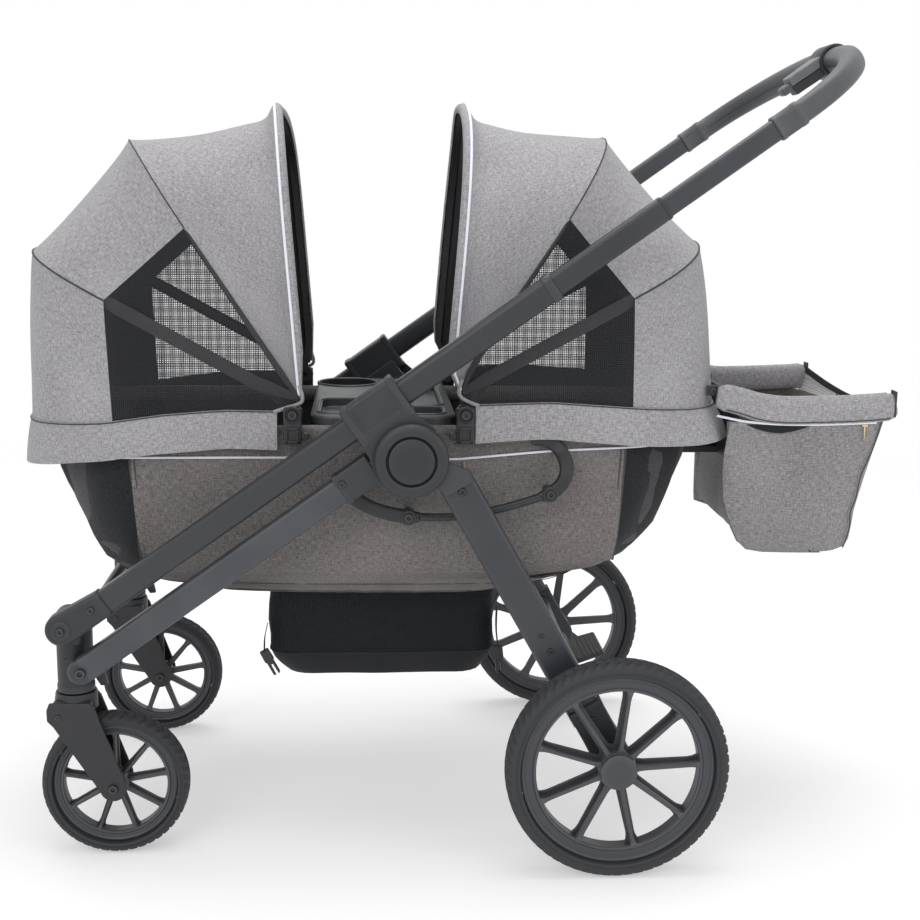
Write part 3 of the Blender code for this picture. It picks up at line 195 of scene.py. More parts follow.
def smooth_step(share: float) -> float:
    """Eases a share of the way from 0 to 1."""
    share = min(1.0, max(0.0, share))
    return share * share * (3 - 2 * share)


def effect(name: str, inputs: dict, outputs: dict) -> tuple:
    """Starts a shader node group.

    Args:
        name: The group's name.
        inputs: Socket labels and their default values, a float or a colour.
        outputs: Socket labels and their socket types.

    Returns:
        The group's tree, its input node and its output node.
    """
    tree = bpy.data.node_groups.new(name, "ShaderNodeTree")
    for label, value in inputs.items():
        kind = "NodeSocketFloat" if isinstance(value, float) else "NodeSocketColor"
        socket = tree.interface.new_socket(label, in_out="INPUT", socket_type=kind)
        socket.default_value = value
    for label, kind in outputs.items():
        tree.interface.new_socket(label, in_out="OUTPUT", socket_type=kind)
    return tree, tree.nodes.new("NodeGroupInput"), tree.nodes.new("NodeGroupOutput")


def feed(tree: bpy.types.NodeTree, socket: bpy.types.NodeSocket, value: object) -> None:
    """Links a socket to another, or sets it to a plain value.

    Args:
        tree: Node tree that the nodes go in.
        socket: Input socket.
        value: Output socket, number or colour that it takes.
    """
    if isinstance(value, bpy.types.NodeSocket):
        tree.links.new(value, socket)
    else:
        socket.default_value = value


def calc(tree: bpy.types.NodeTree, operation: str, *values: object) -> bpy.types.NodeSocket:
    """Math node on values or sockets, and its result.

    Args:
        tree: Node tree that the nodes go in.
        operation: The math operation.
        values: What it works on, sockets or numbers.

    Returns:
        The node's output socket.
    """
    node = tree.nodes.new("ShaderNodeMath")
    node.operation = operation
    for socket, value in zip(node.inputs, values):
        feed(tree, socket, value)
    return node.outputs[0]


def mixed(tree: bpy.types.NodeTree, share: object, first: object, second: object) -> bpy.types.NodeSocket:
    """Colour between two others by a share.

    Args:
        tree: Node tree that the nodes go in.
        share: Share of the second colour.
        first: First colour.
        second: Second colour.

    Returns:
        The node's output socket.
    """
    node = tree.nodes.new("ShaderNodeMix")
    node.data_type = "RGBA"
    feed(tree, node.inputs[0], share)
    feed(tree, node.inputs[6], first)
    feed(tree, node.inputs[7], second)
    return node.outputs[2]


def ranged(
    tree: bpy.types.NodeTree, value: object, low: float, high: float, to: Pair = (0.0, 1.0)
) -> bpy.types.NodeSocket:
    """Value brought from one range to another and held inside it.

    Args:
        tree: Node tree that the nodes go in.
        value: Value or socket.
        low: Start of the range.
        high: End of the range.
        to: The range that it is brought to.

    Returns:
        The node's output socket.
    """
    node = tree.nodes.new("ShaderNodeMapRange")
    for socket, number in zip(node.inputs, (value, low, high, *to)):
        feed(tree, socket, number)
    return node.outputs[0]


def noisy(
    tree: bpy.types.NodeTree, place: object, scale: object, detail: float = 2.0
) -> bpy.types.NodeSocket:
    """Noise value at a place.

    Args:
        tree: Node tree that the nodes go in.
        place: Socket of the place.
        scale: Features per unit.
        detail: Octaves of finer noise.

    Returns:
        The node's output socket.
    """
    node = tree.nodes.new("ShaderNodeTexNoise")
    feed(tree, node.inputs["Vector"], place)
    feed(tree, node.inputs["Scale"], scale)
    node.inputs["Detail"].default_value = detail
    return node.outputs[0]


def surface_effect() -> bpy.types.NodeTree:
    """Node group of painted and moulded surfaces: fine grain, uneven tone, and sharp edges lightened as a
    painted highlight.

    Returns:
        The group, which is built once.
    """
    name = "grain and edge wear"
    if name in bpy.data.node_groups:
        return bpy.data.node_groups[name]
    inputs = {
        "Colour": (0.1, 0.1, 0.1, 1.0), "Edge": (0.2, 0.2, 0.2, 1.0), "Roughness": 0.5, "Grain": 900.0,
        "Wear": 0.5
    }
    outputs = {"Colour": "NodeSocketColor", "Roughness": "NodeSocketFloat", "Height": "NodeSocketFloat"}
    tree, given, result = effect(name, inputs, outputs)
    place = tree.nodes.new("ShaderNodeTexCoord").outputs["Object"]
    fine = noisy(tree, place, given.outputs["Grain"], 3.0)
    broad = noisy(tree, place, 11.0, 4.0)
    # Pointiness lightens sharp edges toward the Edge colour: a painted highlight for light caught on
    # rounded edges.
    edge = ranged(tree, tree.nodes.new("ShaderNodeNewGeometry").outputs["Pointiness"], 0.515, 0.60)
    edge = calc(tree, "MULTIPLY", edge, given.outputs["Wear"])
    edge = calc(tree, "MULTIPLY", edge, ranged(tree, broad, 0.3, 0.6, (0.5, 1.0)))
    tone = mixed(tree, edge, given.outputs["Colour"], given.outputs["Edge"])
    # Random uneven tone, also drawn toward the Edge colour; this part is not light.
    uneven = calc(
        tree, "MULTIPLY", ranged(tree, broad, 0.3, 0.7, (0.0, 0.09)),
        ranged(tree, fine, 0.3, 0.7, (0.4, 1.0))
    )
    tree.links.new(mixed(tree, uneven, tone, given.outputs["Edge"]), result.inputs["Colour"])
    rough = calc(tree, "ADD", given.outputs["Roughness"], ranged(tree, broad, 0.3, 0.7, (-0.05, 0.05)))
    tree.links.new(rough, result.inputs["Roughness"])
    tree.links.new(fine, result.inputs["Height"])
    return tree


def heather_effect() -> bpy.types.NodeTree:
    """Node group of melange cloth: pale and dark yarn flecks along both threads, and a plain weave.

    Returns:
        The group, which is built once.
    """
    name = "heathered weave"
    if name in bpy.data.node_groups:
        return bpy.data.node_groups[name]
    inputs = {
        "Light": (0.5, 0.5, 0.5, 1.0), "Dark": (0.2, 0.2, 0.2, 1.0), "Fleck": 160.0, "Thread": 1100.0,
        "Contrast": 1.0
    }
    outputs = {"Colour": "NodeSocketColor", "Roughness": "NodeSocketFloat", "Height": "NodeSocketFloat"}
    tree, given, result = effect(name, inputs, outputs)
    place = tree.nodes.new("ShaderNodeTexCoord").outputs["UV"]
    flecks = []
    for stretch in ((1.0, 5.5, 1.0), (5.0, 1.0, 1.0)):
        scaled = tree.nodes.new("ShaderNodeVectorMath")
        scaled.operation = "MULTIPLY"
        tree.links.new(place, scaled.inputs[0])
        scaled.inputs[1].default_value = stretch
        flecks.append(noisy(tree, scaled.outputs[0], given.outputs["Fleck"], 3.0))
    both = calc(tree, "MULTIPLY", calc(tree, "ADD", *flecks), 0.5)
    broad = noisy(tree, place, 9.0, 3.0)
    both = calc(tree, "ADD", both, ranged(tree, broad, 0.3, 0.7, (-0.03, 0.03)))
    centred = calc(tree, "MULTIPLY", calc(tree, "SUBTRACT", both, 0.5), given.outputs["Contrast"])
    share = ranged(tree, centred, -0.16, 0.16)
    tree.links.new(
        mixed(tree, share, given.outputs["Dark"], given.outputs["Light"]), result.inputs["Colour"]
    )
    parts = tree.nodes.new("ShaderNodeSeparateXYZ")
    tree.links.new(place, parts.inputs[0])
    waves = [
        calc(tree, "SINE", calc(tree, "MULTIPLY", parts.outputs[i], given.outputs["Thread"]))
        for i in (0, 1)
    ]
    weave = calc(tree, "MULTIPLY", *waves)
    height = calc(tree, "ADD", calc(tree, "MULTIPLY", weave, 0.35), both)
    tree.links.new(height, result.inputs["Height"])
    tree.links.new(ranged(tree, both, 0.3, 0.7, (0.98, 0.86)), result.inputs["Roughness"])
    return tree


def net_effect() -> bpy.types.NodeTree:
    """Node group of open net: threads both ways with square holes, as a mask and a height.

    Returns:
        The group, which is built once.
    """
    name = "open net"
    if name in bpy.data.node_groups:
        return bpy.data.node_groups[name]
    inputs = {"Pitch": 0.0018, "Cover": 0.4, "Haze": 0.1}
    outputs = {"Mask": "NodeSocketFloat", "Height": "NodeSocketFloat"}
    tree, given, result = effect(name, inputs, outputs)
    parts = tree.nodes.new("ShaderNodeSeparateXYZ")
    tree.links.new(tree.nodes.new("ShaderNodeTexCoord").outputs["UV"], parts.inputs[0])
    threads = []
    for index in (0, 1):
        cell = calc(tree, "FRACT", calc(tree, "DIVIDE", parts.outputs[index], given.outputs["Pitch"]))
        threads.append(calc(tree, "LESS_THAN", cell, given.outputs["Cover"]))
    net = calc(tree, "MAXIMUM", *threads)
    tree.links.new(calc(tree, "MAXIMUM", net, given.outputs["Haze"]), result.inputs["Mask"])
    tree.links.new(calc(tree, "ADD", *threads), result.inputs["Height"])
    return tree


def linear(colour: Triple) -> tuple[float, float, float, float]:
    """Shader colour from a display colour of 0 to 255."""
    return tuple((channel / 255) ** 2.2 for channel in colour) + (1.0,)


@dataclass(frozen=True)
class Finish:
    """Finish of one material: its slot in the record and how its shader starts."""

    name: str
    slot_name: str

    def material(self) -> bpy.types.Material:
        """The finish's material, built once.

        Returns:
            The Blender material.
        """
        found = bpy.data.materials.get(self.name)
        if found:
            return found
        made = bpy.data.materials.new(self.name)
        made.use_nodes = True
        self.dress(made.node_tree, made.node_tree.nodes["Principled BSDF"])
        return made

    def dress(self, tree: bpy.types.NodeTree, shader: bpy.types.Node) -> None:
        """Sets the shader; each kind of finish has its own way."""

    def raise_surface(
        self, tree: bpy.types.NodeTree, shader: bpy.types.Node, height: object, depth: float
    ) -> None:
        """Feeds a height to the shader's normal, with its depth in metres.

        Args:
            tree: Node tree that the nodes go in.
            shader: The material's main shader node.
            height: Socket of the height.
            depth: Height of a full step, in metres.
        """
        bump = tree.nodes.new("ShaderNodeBump")
        bump.inputs["Distance"].default_value = depth
        bump.inputs["Strength"].default_value = 1.0
        tree.links.new(height, bump.inputs["Height"])
        tree.links.new(bump.outputs[0], shader.inputs["Normal"])


@dataclass(frozen=True)
class HardFinish(Finish):
    """Painted metal, moulded plastic, rubber or bare steel."""

    colour: Triple
    # Colour of the painted highlight on sharp edges, also used for the random uneven tone.
    edge: Triple
    roughness: float
    metallic: float = 0.0
    coat: float = 0.0
    grain: float = 900.0
    depth: float = 0.00006
    # Strength of the painted edge highlight.
    wear: float = 0.6

    def dress(self, tree: bpy.types.NodeTree, shader: bpy.types.Node) -> None:
        """Grain, uneven tone and a painted highlight on the sharp edges, on a plain shader.

        Args:
            tree: Node tree that the nodes go in.
            shader: The material's main shader node.
        """
        group = tree.nodes.new("ShaderNodeGroup")
        group.node_tree = surface_effect()
        values = {"Colour": linear(self.colour), "Edge": linear(self.edge), "Roughness": self.roughness}
        values |= {"Grain": self.grain, "Wear": self.wear}
        for label, value in values.items():
            group.inputs[label].default_value = value
        tree.links.new(group.outputs["Colour"], shader.inputs["Base Color"])
        tree.links.new(group.outputs["Roughness"], shader.inputs["Roughness"])
        shader.inputs["Metallic"].default_value = self.metallic
        shader.inputs["Coat Weight"].default_value = self.coat
        shader.inputs["Coat Roughness"].default_value = 0.3
        self.raise_surface(tree, shader, group.outputs["Height"], self.depth)


@dataclass(frozen=True)
class ClothFinish(Finish):
    """Woven cloth of light and dark yarn."""

    light: Triple
    dark: Triple
    fleck: float = 160.0
    thread: float = 2600.0
    contrast: float = 1.0
    depth: float = 0.0004
    sheen: float = 0.1

    def dress(self, tree: bpy.types.NodeTree, shader: bpy.types.Node) -> None:
        """Heathered weave on a matte shader with a little sheen.

        Args:
            tree: Node tree that the nodes go in.
            shader: The material's main shader node.
        """
        group = tree.nodes.new("ShaderNodeGroup")
        group.node_tree = heather_effect()
        values = {"Light": linear(self.light), "Dark": linear(self.dark), "Fleck": self.fleck}
        values |= {"Thread": self.thread, "Contrast": self.contrast}
        for label, value in values.items():
            group.inputs[label].default_value = value
        tree.links.new(group.outputs["Colour"], shader.inputs["Base Color"])
        tree.links.new(group.outputs["Roughness"], shader.inputs["Roughness"])
        shader.inputs["Sheen Weight"].default_value = self.sheen
        shader.inputs["Specular IOR Level"].default_value = 0.2
        self.raise_surface(tree, shader, group.outputs["Height"], self.depth)


@dataclass(frozen=True)
class NetFinish(Finish):
    """See-through net."""

    colour: Triple
    pitch: float = 0.0019
    cover: float = 0.42
    haze: float = 0.12

    def dress(self, tree: bpy.types.NodeTree, shader: bpy.types.Node) -> None:
        """Net mask as the shader's alpha.

        Args:
            tree: Node tree that the nodes go in.
            shader: The material's main shader node.
        """
        group = tree.nodes.new("ShaderNodeGroup")
        group.node_tree = net_effect()
        for label, value in {"Pitch": self.pitch, "Cover": self.cover, "Haze": self.haze}.items():
            group.inputs[label].default_value = value
        shader.inputs["Base Color"].default_value = linear(self.colour)
        shader.inputs["Roughness"].default_value = 0.8
        shader.inputs["Specular IOR Level"].default_value = 0.2
        tree.links.new(group.outputs["Mask"], shader.inputs["Alpha"])
        self.raise_surface(tree, shader, group.outputs["Height"], 0.0003)


# Finishes; their colours are display values of 0 to 255, and a hard finish's second colour is its painted
# edge highlight.
PAINT = HardFinish("charcoal paint", "frame_paint", (41, 43, 47), (82, 85, 90), 0.42, 0.0, 0.12)
CASTING = HardFinish("charcoal casting", "frame_plastic", (37, 39, 42), (74, 76, 80), 0.5, grain=1400.0)
BLACK = HardFinish("black moulding", "black_plastic", (31, 32, 34), (70, 71, 74), 0.5, grain=1200.0)
GRIP = HardFinish(
    "soft grip cover", "grip_cover", (72, 74, 77), (118, 119, 122), 0.48, grain=1700.0, wear=0.3
)
GREY = HardFinish("grey moulding", "grey_plastic", (92, 94, 97), (135, 136, 138), 0.45)
RIM = HardFinish("wheel moulding", "rim_plastic", (60, 61, 65), (104, 105, 109), 0.45, grain=1300.0)
RUBBER = HardFinish(
    "tyre rubber", "tyre_rubber", (47, 48, 51), (76, 77, 80), 0.72, grain=500.0, depth=0.00012, wear=0.5
)
DARK_STEEL = HardFinish(
    "blackened bolts", "black_plastic", (50, 50, 52), (110, 110, 112), 0.32, 0.8, grain=700.0
)
HEATHER = ClothFinish(
    "heathered canopy cloth", "grey_cloth", (192, 190, 193), (110, 108, 111), fleck=135.0, contrast=0.75
)
# Same heathered cloth as the canopy and the bag's rims, made darker: painted shade on the bag's body.
BAG_SHADED_HEATHER = ClothFinish(
    "heathered bag cloth", "grey_cloth", (172, 169, 170), (92, 89, 90), fleck=135.0, contrast=0.75
)
TRAY_BLACK = HardFinish("tray moulding", "black_plastic", (56, 58, 60), (102, 104, 107), 0.42, grain=1200.0)
# Same heathered cloth as the canopy, made darker: painted shade on the tub's walls and rim roll.
TUB_SHADED_HEATHER = ClothFinish(
    "heathered tub cloth", "grey_cloth", (146, 142, 141), (76, 73, 72), fleck=135.0, contrast=0.75
)
LINING = ClothFinish("dark lining", "dark_cloth", (88, 88, 91), (50, 50, 53), fleck=260.0)
PAD_CLOTH = ClothFinish("quilted pad cloth", "dark_cloth", (72, 72, 74), (38, 38, 40), fleck=200.0)
TAPE = ClothFinish("binding tape", "dark_cloth", (88, 87, 87), (46, 45, 45), fleck=500.0, thread=4200.0)
PIPING = ClothFinish(
    "pale piping", "grey_cloth", (246, 246, 252), (222, 223, 238), fleck=600.0, depth=0.0001
)
NET = NetFinish("window net", "mesh_cloth", (62, 63, 66), pitch=0.0026, cover=0.29, haze=0.03)
CORNER_NET = ClothFinish(
    "corner net", "mesh_cloth", (56, 57, 60), (26, 27, 29), fleck=160.0, thread=3400.0, contrast=0.6,
    depth=0.0006
)
BASKET_NET = NetFinish("basket net", "mesh_cloth", (38, 40, 43), pitch=0.0034, cover=0.45, haze=0.5)
PALE_NET = NetFinish("pale net", "mesh_cloth", (196, 194, 196), pitch=0.002, cover=0.5, haze=0.45)
BAND = ClothFinish("black band", "dark_cloth", (54, 55, 57), (28, 29, 31), fleck=420.0, thread=3600.0)
DENSE_TAPE = ClothFinish(
    "bow sleeve", "mesh_cloth", (84, 84, 86), (38, 38, 40), fleck=600.0, thread=3000.0, depth=0.0005
)
BAG_LINING = ClothFinish("bag lining", "grey_cloth", (128, 120, 112), (84, 78, 72), fleck=220.0)
BRASS = HardFinish(
    "brass", "bright_steel", (184, 168, 128), (226, 210, 170), 0.3, 1.0, grain=700.0, depth=0.00003
)
THREAD = ClothFinish("seam thread", "dark_cloth", (96, 92, 92), (62, 59, 59), fleck=900.0, depth=0.0001)


class Shape:
    """One mesh being built; x is counted from the hub pivots, and UVs run in metres of cloth."""

    def __init__(self) -> None:
        """Starts an empty mesh."""
        self.bm = bmesh.new()
        self.uv = self.bm.loops.layers.uv.new("UVMap")

    def skin(
        self,
        rings: list[Ring],
        around: bool = True,
        caps: bool = True,
        closed: bool = False,
        zones: Callable[[int, int], int] | None = None,
    ) -> "Shape":
        """Adds a surface through rings of equal point counts.

        Args:
            rings: Point rings in order.
            around: Whether each ring closes on itself.
            caps: Whether the first and last ring are filled.
            closed: Whether the last ring joins the first.
            zones: Function of (ring index, point index) that gives a face's material index.

        Returns:
            The shape itself.
        """
        loops = [[self.bm.verts.new((x + HUB_X, y, z)) for x, y, z in ring] for ring in rings]
        count = len(loops[0])
        spans = count if around else count - 1
        middle = loops[len(loops) // 2]
        across = [0.0]
        for i in range(spans):
            across.append(across[-1] + (middle[(i + 1) % count].co - middle[i].co).length)
        pairs = list(zip(loops, loops[1:])) + ([(loops[-1], loops[0])] if closed else [])
        reached = 0.0
        for row, (first, second) in enumerate(pairs):
            step = sum((b.co - a.co).length for a, b in zip(first, second)) / count
            for i in range(spans):
                j = (i + 1) % count
                face = self.bm.faces.new((first[i], first[j], second[j], second[i]))
                if zones:
                    face.material_index = zones(row, i)
                places = ((across[i], reached), (across[i + 1], reached))
                places += ((across[i + 1], reached + step), (across[i], reached + step))
                for loop, place in zip(face.loops, places):
                    loop[self.uv].uv = place
            reached += step
        if caps and around and not closed:
            self.bm.faces.new(loops[0])
            self.bm.faces.new(list(reversed(loops[-1])))
        return self

    def prism(self, outline: list[Pair], low: float, high: float) -> "Shape":
        """Adds a solid between two y planes with a side-view outline."""
        return self.skin([[(x, y, z) for x, z in outline] for y in (low, high)])

    def box(self, low: Triple, high: Triple) -> "Shape":
        """Adds a block between two corners."""
        outline = [(low[0], low[2]), (high[0], low[2]), (high[0], high[2]), (low[0], high[2])]
        return self.prism(outline, low[1], high[1])

    def plate(self, outline: list[Pair], low: float, high: float, width: float, steps: int = 2) -> "Shape":
        """Adds a prism whose edges are rounded before it joins the rest."""
        return self.add(eased_prism(outline, low, high, width, steps))

    def block(self, low: Triple, high: Triple, width: float, steps: int = 2) -> "Shape":
        """Adds a block whose edges are rounded before it joins the rest."""
        return self.add(Shape().box(low, high).ease(width, steps))

    def turned(
        self, center: Pair, profile: list[Pair], axis: str = "y", sides: int = 48, closed: bool = False
    ) -> "Shape":
        """Adds a turned solid from (radius, height) pairs about an axis through center.

        Args:
            center: Where the axis passes, in the plane square to it.
            profile: Points as (radius, height).
            axis: Letter of the axis that it turns about.
            sides: Facets round it.
            closed: Whether the profile closes on itself.

        Returns:
            The shape itself.
        """
        rings = []
        for radius, height in profile:
            ring = []
            for first, second in arc(center, radius, 0, 360 * (sides - 1) / sides, sides - 1):
                ring.append((first, height, second) if axis == "y" else (first, second, height))
            rings.append(ring)
        return self.skin(rings, closed=closed)

    def sweep(
        self, path: list[Vector], section: list[Pair], up: Vector | None = None,
        scale: Callable[[int], Pair] | None = None
    ) -> "Shape":
        """Adds a solid swept along a path.

        Args:
            path: Centre line.
            section: Outline as (across, up) pairs.
            up: Fixed direction that the section's up leans to; without it the section turns least.
            scale: Function of the path index that gives (across, up) scales.

        Returns:
            The shape itself.
        """
        rings = []
        side = None
        for i, point in enumerate(path):
            ahead = run_at(path, i).normalized()
            if up is not None:
                side = ahead.cross(up).normalized()
            elif side is None:
                side = ahead.orthogonal().normalized()
            else:
                side = (side - ahead * side.dot(ahead)).normalized()
            lift = side.cross(ahead)
            wide, tall = scale(i) if scale else (1.0, 1.0)
            rings.append([tuple(point + side * a * wide + lift * b * tall) for a, b in section])
        return self.skin(rings)

    def cord(self, path: list[Vector], radius: float, sides: int = 8) -> "Shape":
        """Adds a round cord along a path."""
        return self.sweep(path, arc((0.0, 0.0), radius, 0, 360 * (sides - 1) / sides, sides - 1))

    def stitches(self, path: list[Vector], pitch: float = 0.006, radius: float = 0.0005) -> "Shape":
        """Adds a row of stitches along a path.

        Args:
            path: Line of the row.
            pitch: Distance from stitch to stitch.
            radius: Radius of the thread.

        Returns:
            The shape itself.
        """
        points = resample(path, pitch / 2)
        for first, second in zip(points[::2], points[1::2]):
            self.cord([first, first.lerp(second, 0.5), first.lerp(second, 1.3)], radius, 5)
        return self

    def ease(self, width: float, steps: int = 2, angle: float = 35.0) -> "Shape":
        """Rounds the sharp edges of what is there so far.

        Args:
            width: Width of the rounding.
            steps: Facets across it.
            angle: Edges sharper than this are rounded, in degrees.

        Returns:
            The shape itself.
        """
        bmesh.ops.recalc_face_normals(self.bm, faces=self.bm.faces)
        limit = math.radians(angle)
        edges = [e for e in self.bm.edges if len(e.link_faces) == 2 and e.calc_face_angle(0.0) > limit]
        bmesh.ops.bevel(
            self.bm,
            geom=edges,
            offset=width,
            offset_type="OFFSET",
            segments=steps,
            profile=0.5,
            affect="EDGES",
            clamp_overlap=True,
        )
        return self

    def add(self, *others: "Shape") -> "Shape":
        """Takes in other shapes.

        Args:
            others: Shapes, which are used up.

        Returns:
            The shape itself.
        """
        for other in others:
            spare = bpy.data.meshes.new("spare")
            other.bm.to_mesh(spare)
            other.bm.free()
            self.bm.from_mesh(spare)
            bpy.data.meshes.remove(spare)
        return self

    def cut(self, tool: "Shape") -> "Shape":
        """Takes a tool's volume away.

        Args:
            tool: Shape, which is used up.

        Returns:
            The shape itself.
        """
        pieces = []
        for shape in (self, tool):
            bmesh.ops.recalc_face_normals(shape.bm, faces=shape.bm.faces)
            mesh = bpy.data.meshes.new("cut")
            shape.bm.to_mesh(mesh)
            piece = bpy.data.objects.new("cut", mesh)
            bpy.context.scene.collection.objects.link(piece)
            pieces.append(piece)
        away = pieces[0].modifiers.new("away", "BOOLEAN")
        away.operation = "DIFFERENCE"
        away.object = pieces[1]
        ready = pieces[0].evaluated_get(bpy.context.evaluated_depsgraph_get())
        result = bpy.data.meshes.new_from_object(ready)
        self.bm.clear()
        self.bm.from_mesh(result)
        self.uv = self.bm.loops.layers.uv.verify()
        tool.bm.free()
        for piece in pieces:
            mesh = piece.data
            bpy.data.objects.remove(piece)
            bpy.data.meshes.remove(mesh)
        bpy.data.meshes.remove(result)
        return self

    def screw(self, place: Pair, y: float, side: int, radius: float) -> "Shape":
        """Adds a domed screw head with a socket, its seat at y and its head to one side.

        Args:
            place: Middle of the head in side view.
            y: Where its seat is.
            side: Sign of y that the head looks to.
            radius: Radius of the head.

        Returns:
            The shape itself.
        """
        tall = radius * 0.55
        profile = [(1.0, -0.3), (1.0, 0.55), (0.86, 1.0), (0.46, 1.0), (0.42, 0.35), (0.06, 0.25)]
        return self.turned(place, [(radius * r, y + side * tall * h) for r, h in profile], sides=20)

    def done(
        self,
        name: str,
        finishes: "Finish | list[Finish]",
        body: str | None = "frame",
        replaces: tuple[str, ...] = (),
        angle: float = 38.0,
        flat: bool = False,
    ) -> bpy.types.Object:
        """Makes the object.

        Args:
            name: The piece's name.
            finishes: Its finish, or several for its zones.
            body: The body that it rides on, or None for a piece that rides on no body.
            replaces: The nodes that it stands for.
            angle: Edges sharper than this stay sharp, in degrees.
            flat: Whether broad faces keep their own shade beside the rounded edges.

        Returns:
            The Blender object.
        """
        finishes = finishes if isinstance(finishes, list) else [finishes]
        bmesh.ops.recalc_face_normals(self.bm, faces=self.bm.faces)
        mesh = bpy.data.meshes.new(name)
        self.bm.to_mesh(mesh)
        self.bm.free()
        for finish in finishes:
            mesh.materials.append(finish.material())
        mesh.shade_smooth()
        mesh.set_sharp_from_angle(angle=math.radians(angle))
        piece = bpy.data.objects.new(name, mesh)
        bpy.context.scene.collection.objects.link(piece)
        if flat:
            even = piece.modifiers.new("even shade", "WEIGHTED_NORMAL")
            even.keep_sharp = True
        if body:
            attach(piece, body)
        if replaces:
            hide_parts(*replaces)
        LOG.info("%s: %d points", name, len(mesh.vertices))
        return piece


def eased_prism(outline: list[Pair], low: float, high: float, width: float, steps: int = 2) -> Shape:
    """Prism with rounded edges."""
    return Shape().prism(outline, low, high).ease(width, steps)


def resample(path: list[Vector], pitch: float) -> list[Vector]:
    """Points at an even pitch along a path.

    Args:
        path: Line of points.
        pitch: Distance from point to point.

    Returns:
        The new points.
    """
    points = [path[0].copy()]
    left = pitch
    for start, end in zip(path, path[1:]):
        length = (end - start).length
        place = left
        while place <= length:
            points.append(start.lerp(end, place / length))
            place += pitch
        left = place - length
    return points


def tube_ring(along: float, y: float, rise: float, width: float, height: float, radius: float) -> Ring:
    """Round-cornered ring square to the push tube.

    Args:
        along: Distance along the tube's direction from the hub.
        y: Middle of the ring in y.
        rise: Middle of the ring above the hub.
        width: Size in y.
        height: Size square to the tube.
        radius: Radius of the corners.

    Returns:
        The ring's points.
    """
    ring = []
    for across, up in rounded_rectangle(width, height, radius):
        x, z = on_tube(along, rise + up)
        ring.append((x, y + across, z))
    return ring


@dataclass
class PushTubes:
    """The push tubes with their collars, and the tubes of the handle that slide in them."""

    width: float = 0.024
    height: float = 0.032
    upper_width: float = 0.0215
    upper_height: float = 0.0292
    inner_width: float = 0.0185
    inner_height: float = 0.026
    start: float = -0.408
    collar: float = 0.250
    end: float = 0.421

    def build(self) -> None:
        """Builds both sides."""
        for side in Side:
            self.push_tube(side)
            self.handle_tube(side)

    def push_tube(self, side: Side) -> None:
        """Lower stretch, collar with its lips, slimmer upper stretch and the bush in its mouth.

        Args:
            side: Side of the stroller.
        """
        y = side.value * TUBE_Y
        w, h, lip = self.width, self.height, 0.0012
        uw, uh, c = self.upper_width, self.upper_height, self.collar
        stations = (
            (self.start, w - 0.001, h - 0.001, 0.0065),
            (self.start + 0.001, w, h, 0.007),
            (c - 0.0003, w, h, 0.007),
            (c, w + lip, h + 2 * lip, 0.0078),
            (c + 0.0016, w + 2 * lip, h + 3 * lip, 0.0085),
            (c + 0.0098, w + 2 * lip, h + 3 * lip, 0.0085),
            (c + 0.0115, w + lip, h + 2 * lip, 0.0078),
            (c + 0.0125, uw, uh, 0.0062),
            (self.end - 0.0006, uw, uh, 0.0062),
            (self.end, uw - 0.001, uh - 0.001, 0.0058),
        )
        tube = Shape().skin([tube_ring(s, y, TUBE_RISE, a, b, r) for s, a, b, r in stations])
        tube.done(f"push_tube_{side.word}", PAINT, replaces=(f"main_tube_{side.word}",))
        e = self.end
        mouth = ((e - 0.004, 0.0), (e - 0.003, 0.0004), (e + 0.0010, 0.0004), (e + 0.0020, -0.0008))
        bush = Shape().skin([tube_ring(s, y, TUBE_RISE, uw + more, uh + more, 0.0062) for s, more in mouth])
        bush.done(f"tube_bush_{side.word}", BLACK)

    def handle_tube(self, side: Side) -> None:
        """Slim tube from inside the push tube into the grip.

        Args:
            side: Side of the stroller.
        """
        y = side.value * TUBE_Y
        rings = [
            tube_ring(s, y, TUBE_RISE, self.inner_width, self.inner_height, 0.0055)
            for s in (0.302, 0.45, 0.61)
        ]
        tube = Shape().skin(rings)
        tube.done(f"telescoping_tube_{side.word}", PAINT, "handle", (f"handle_tube_{side.word}",))


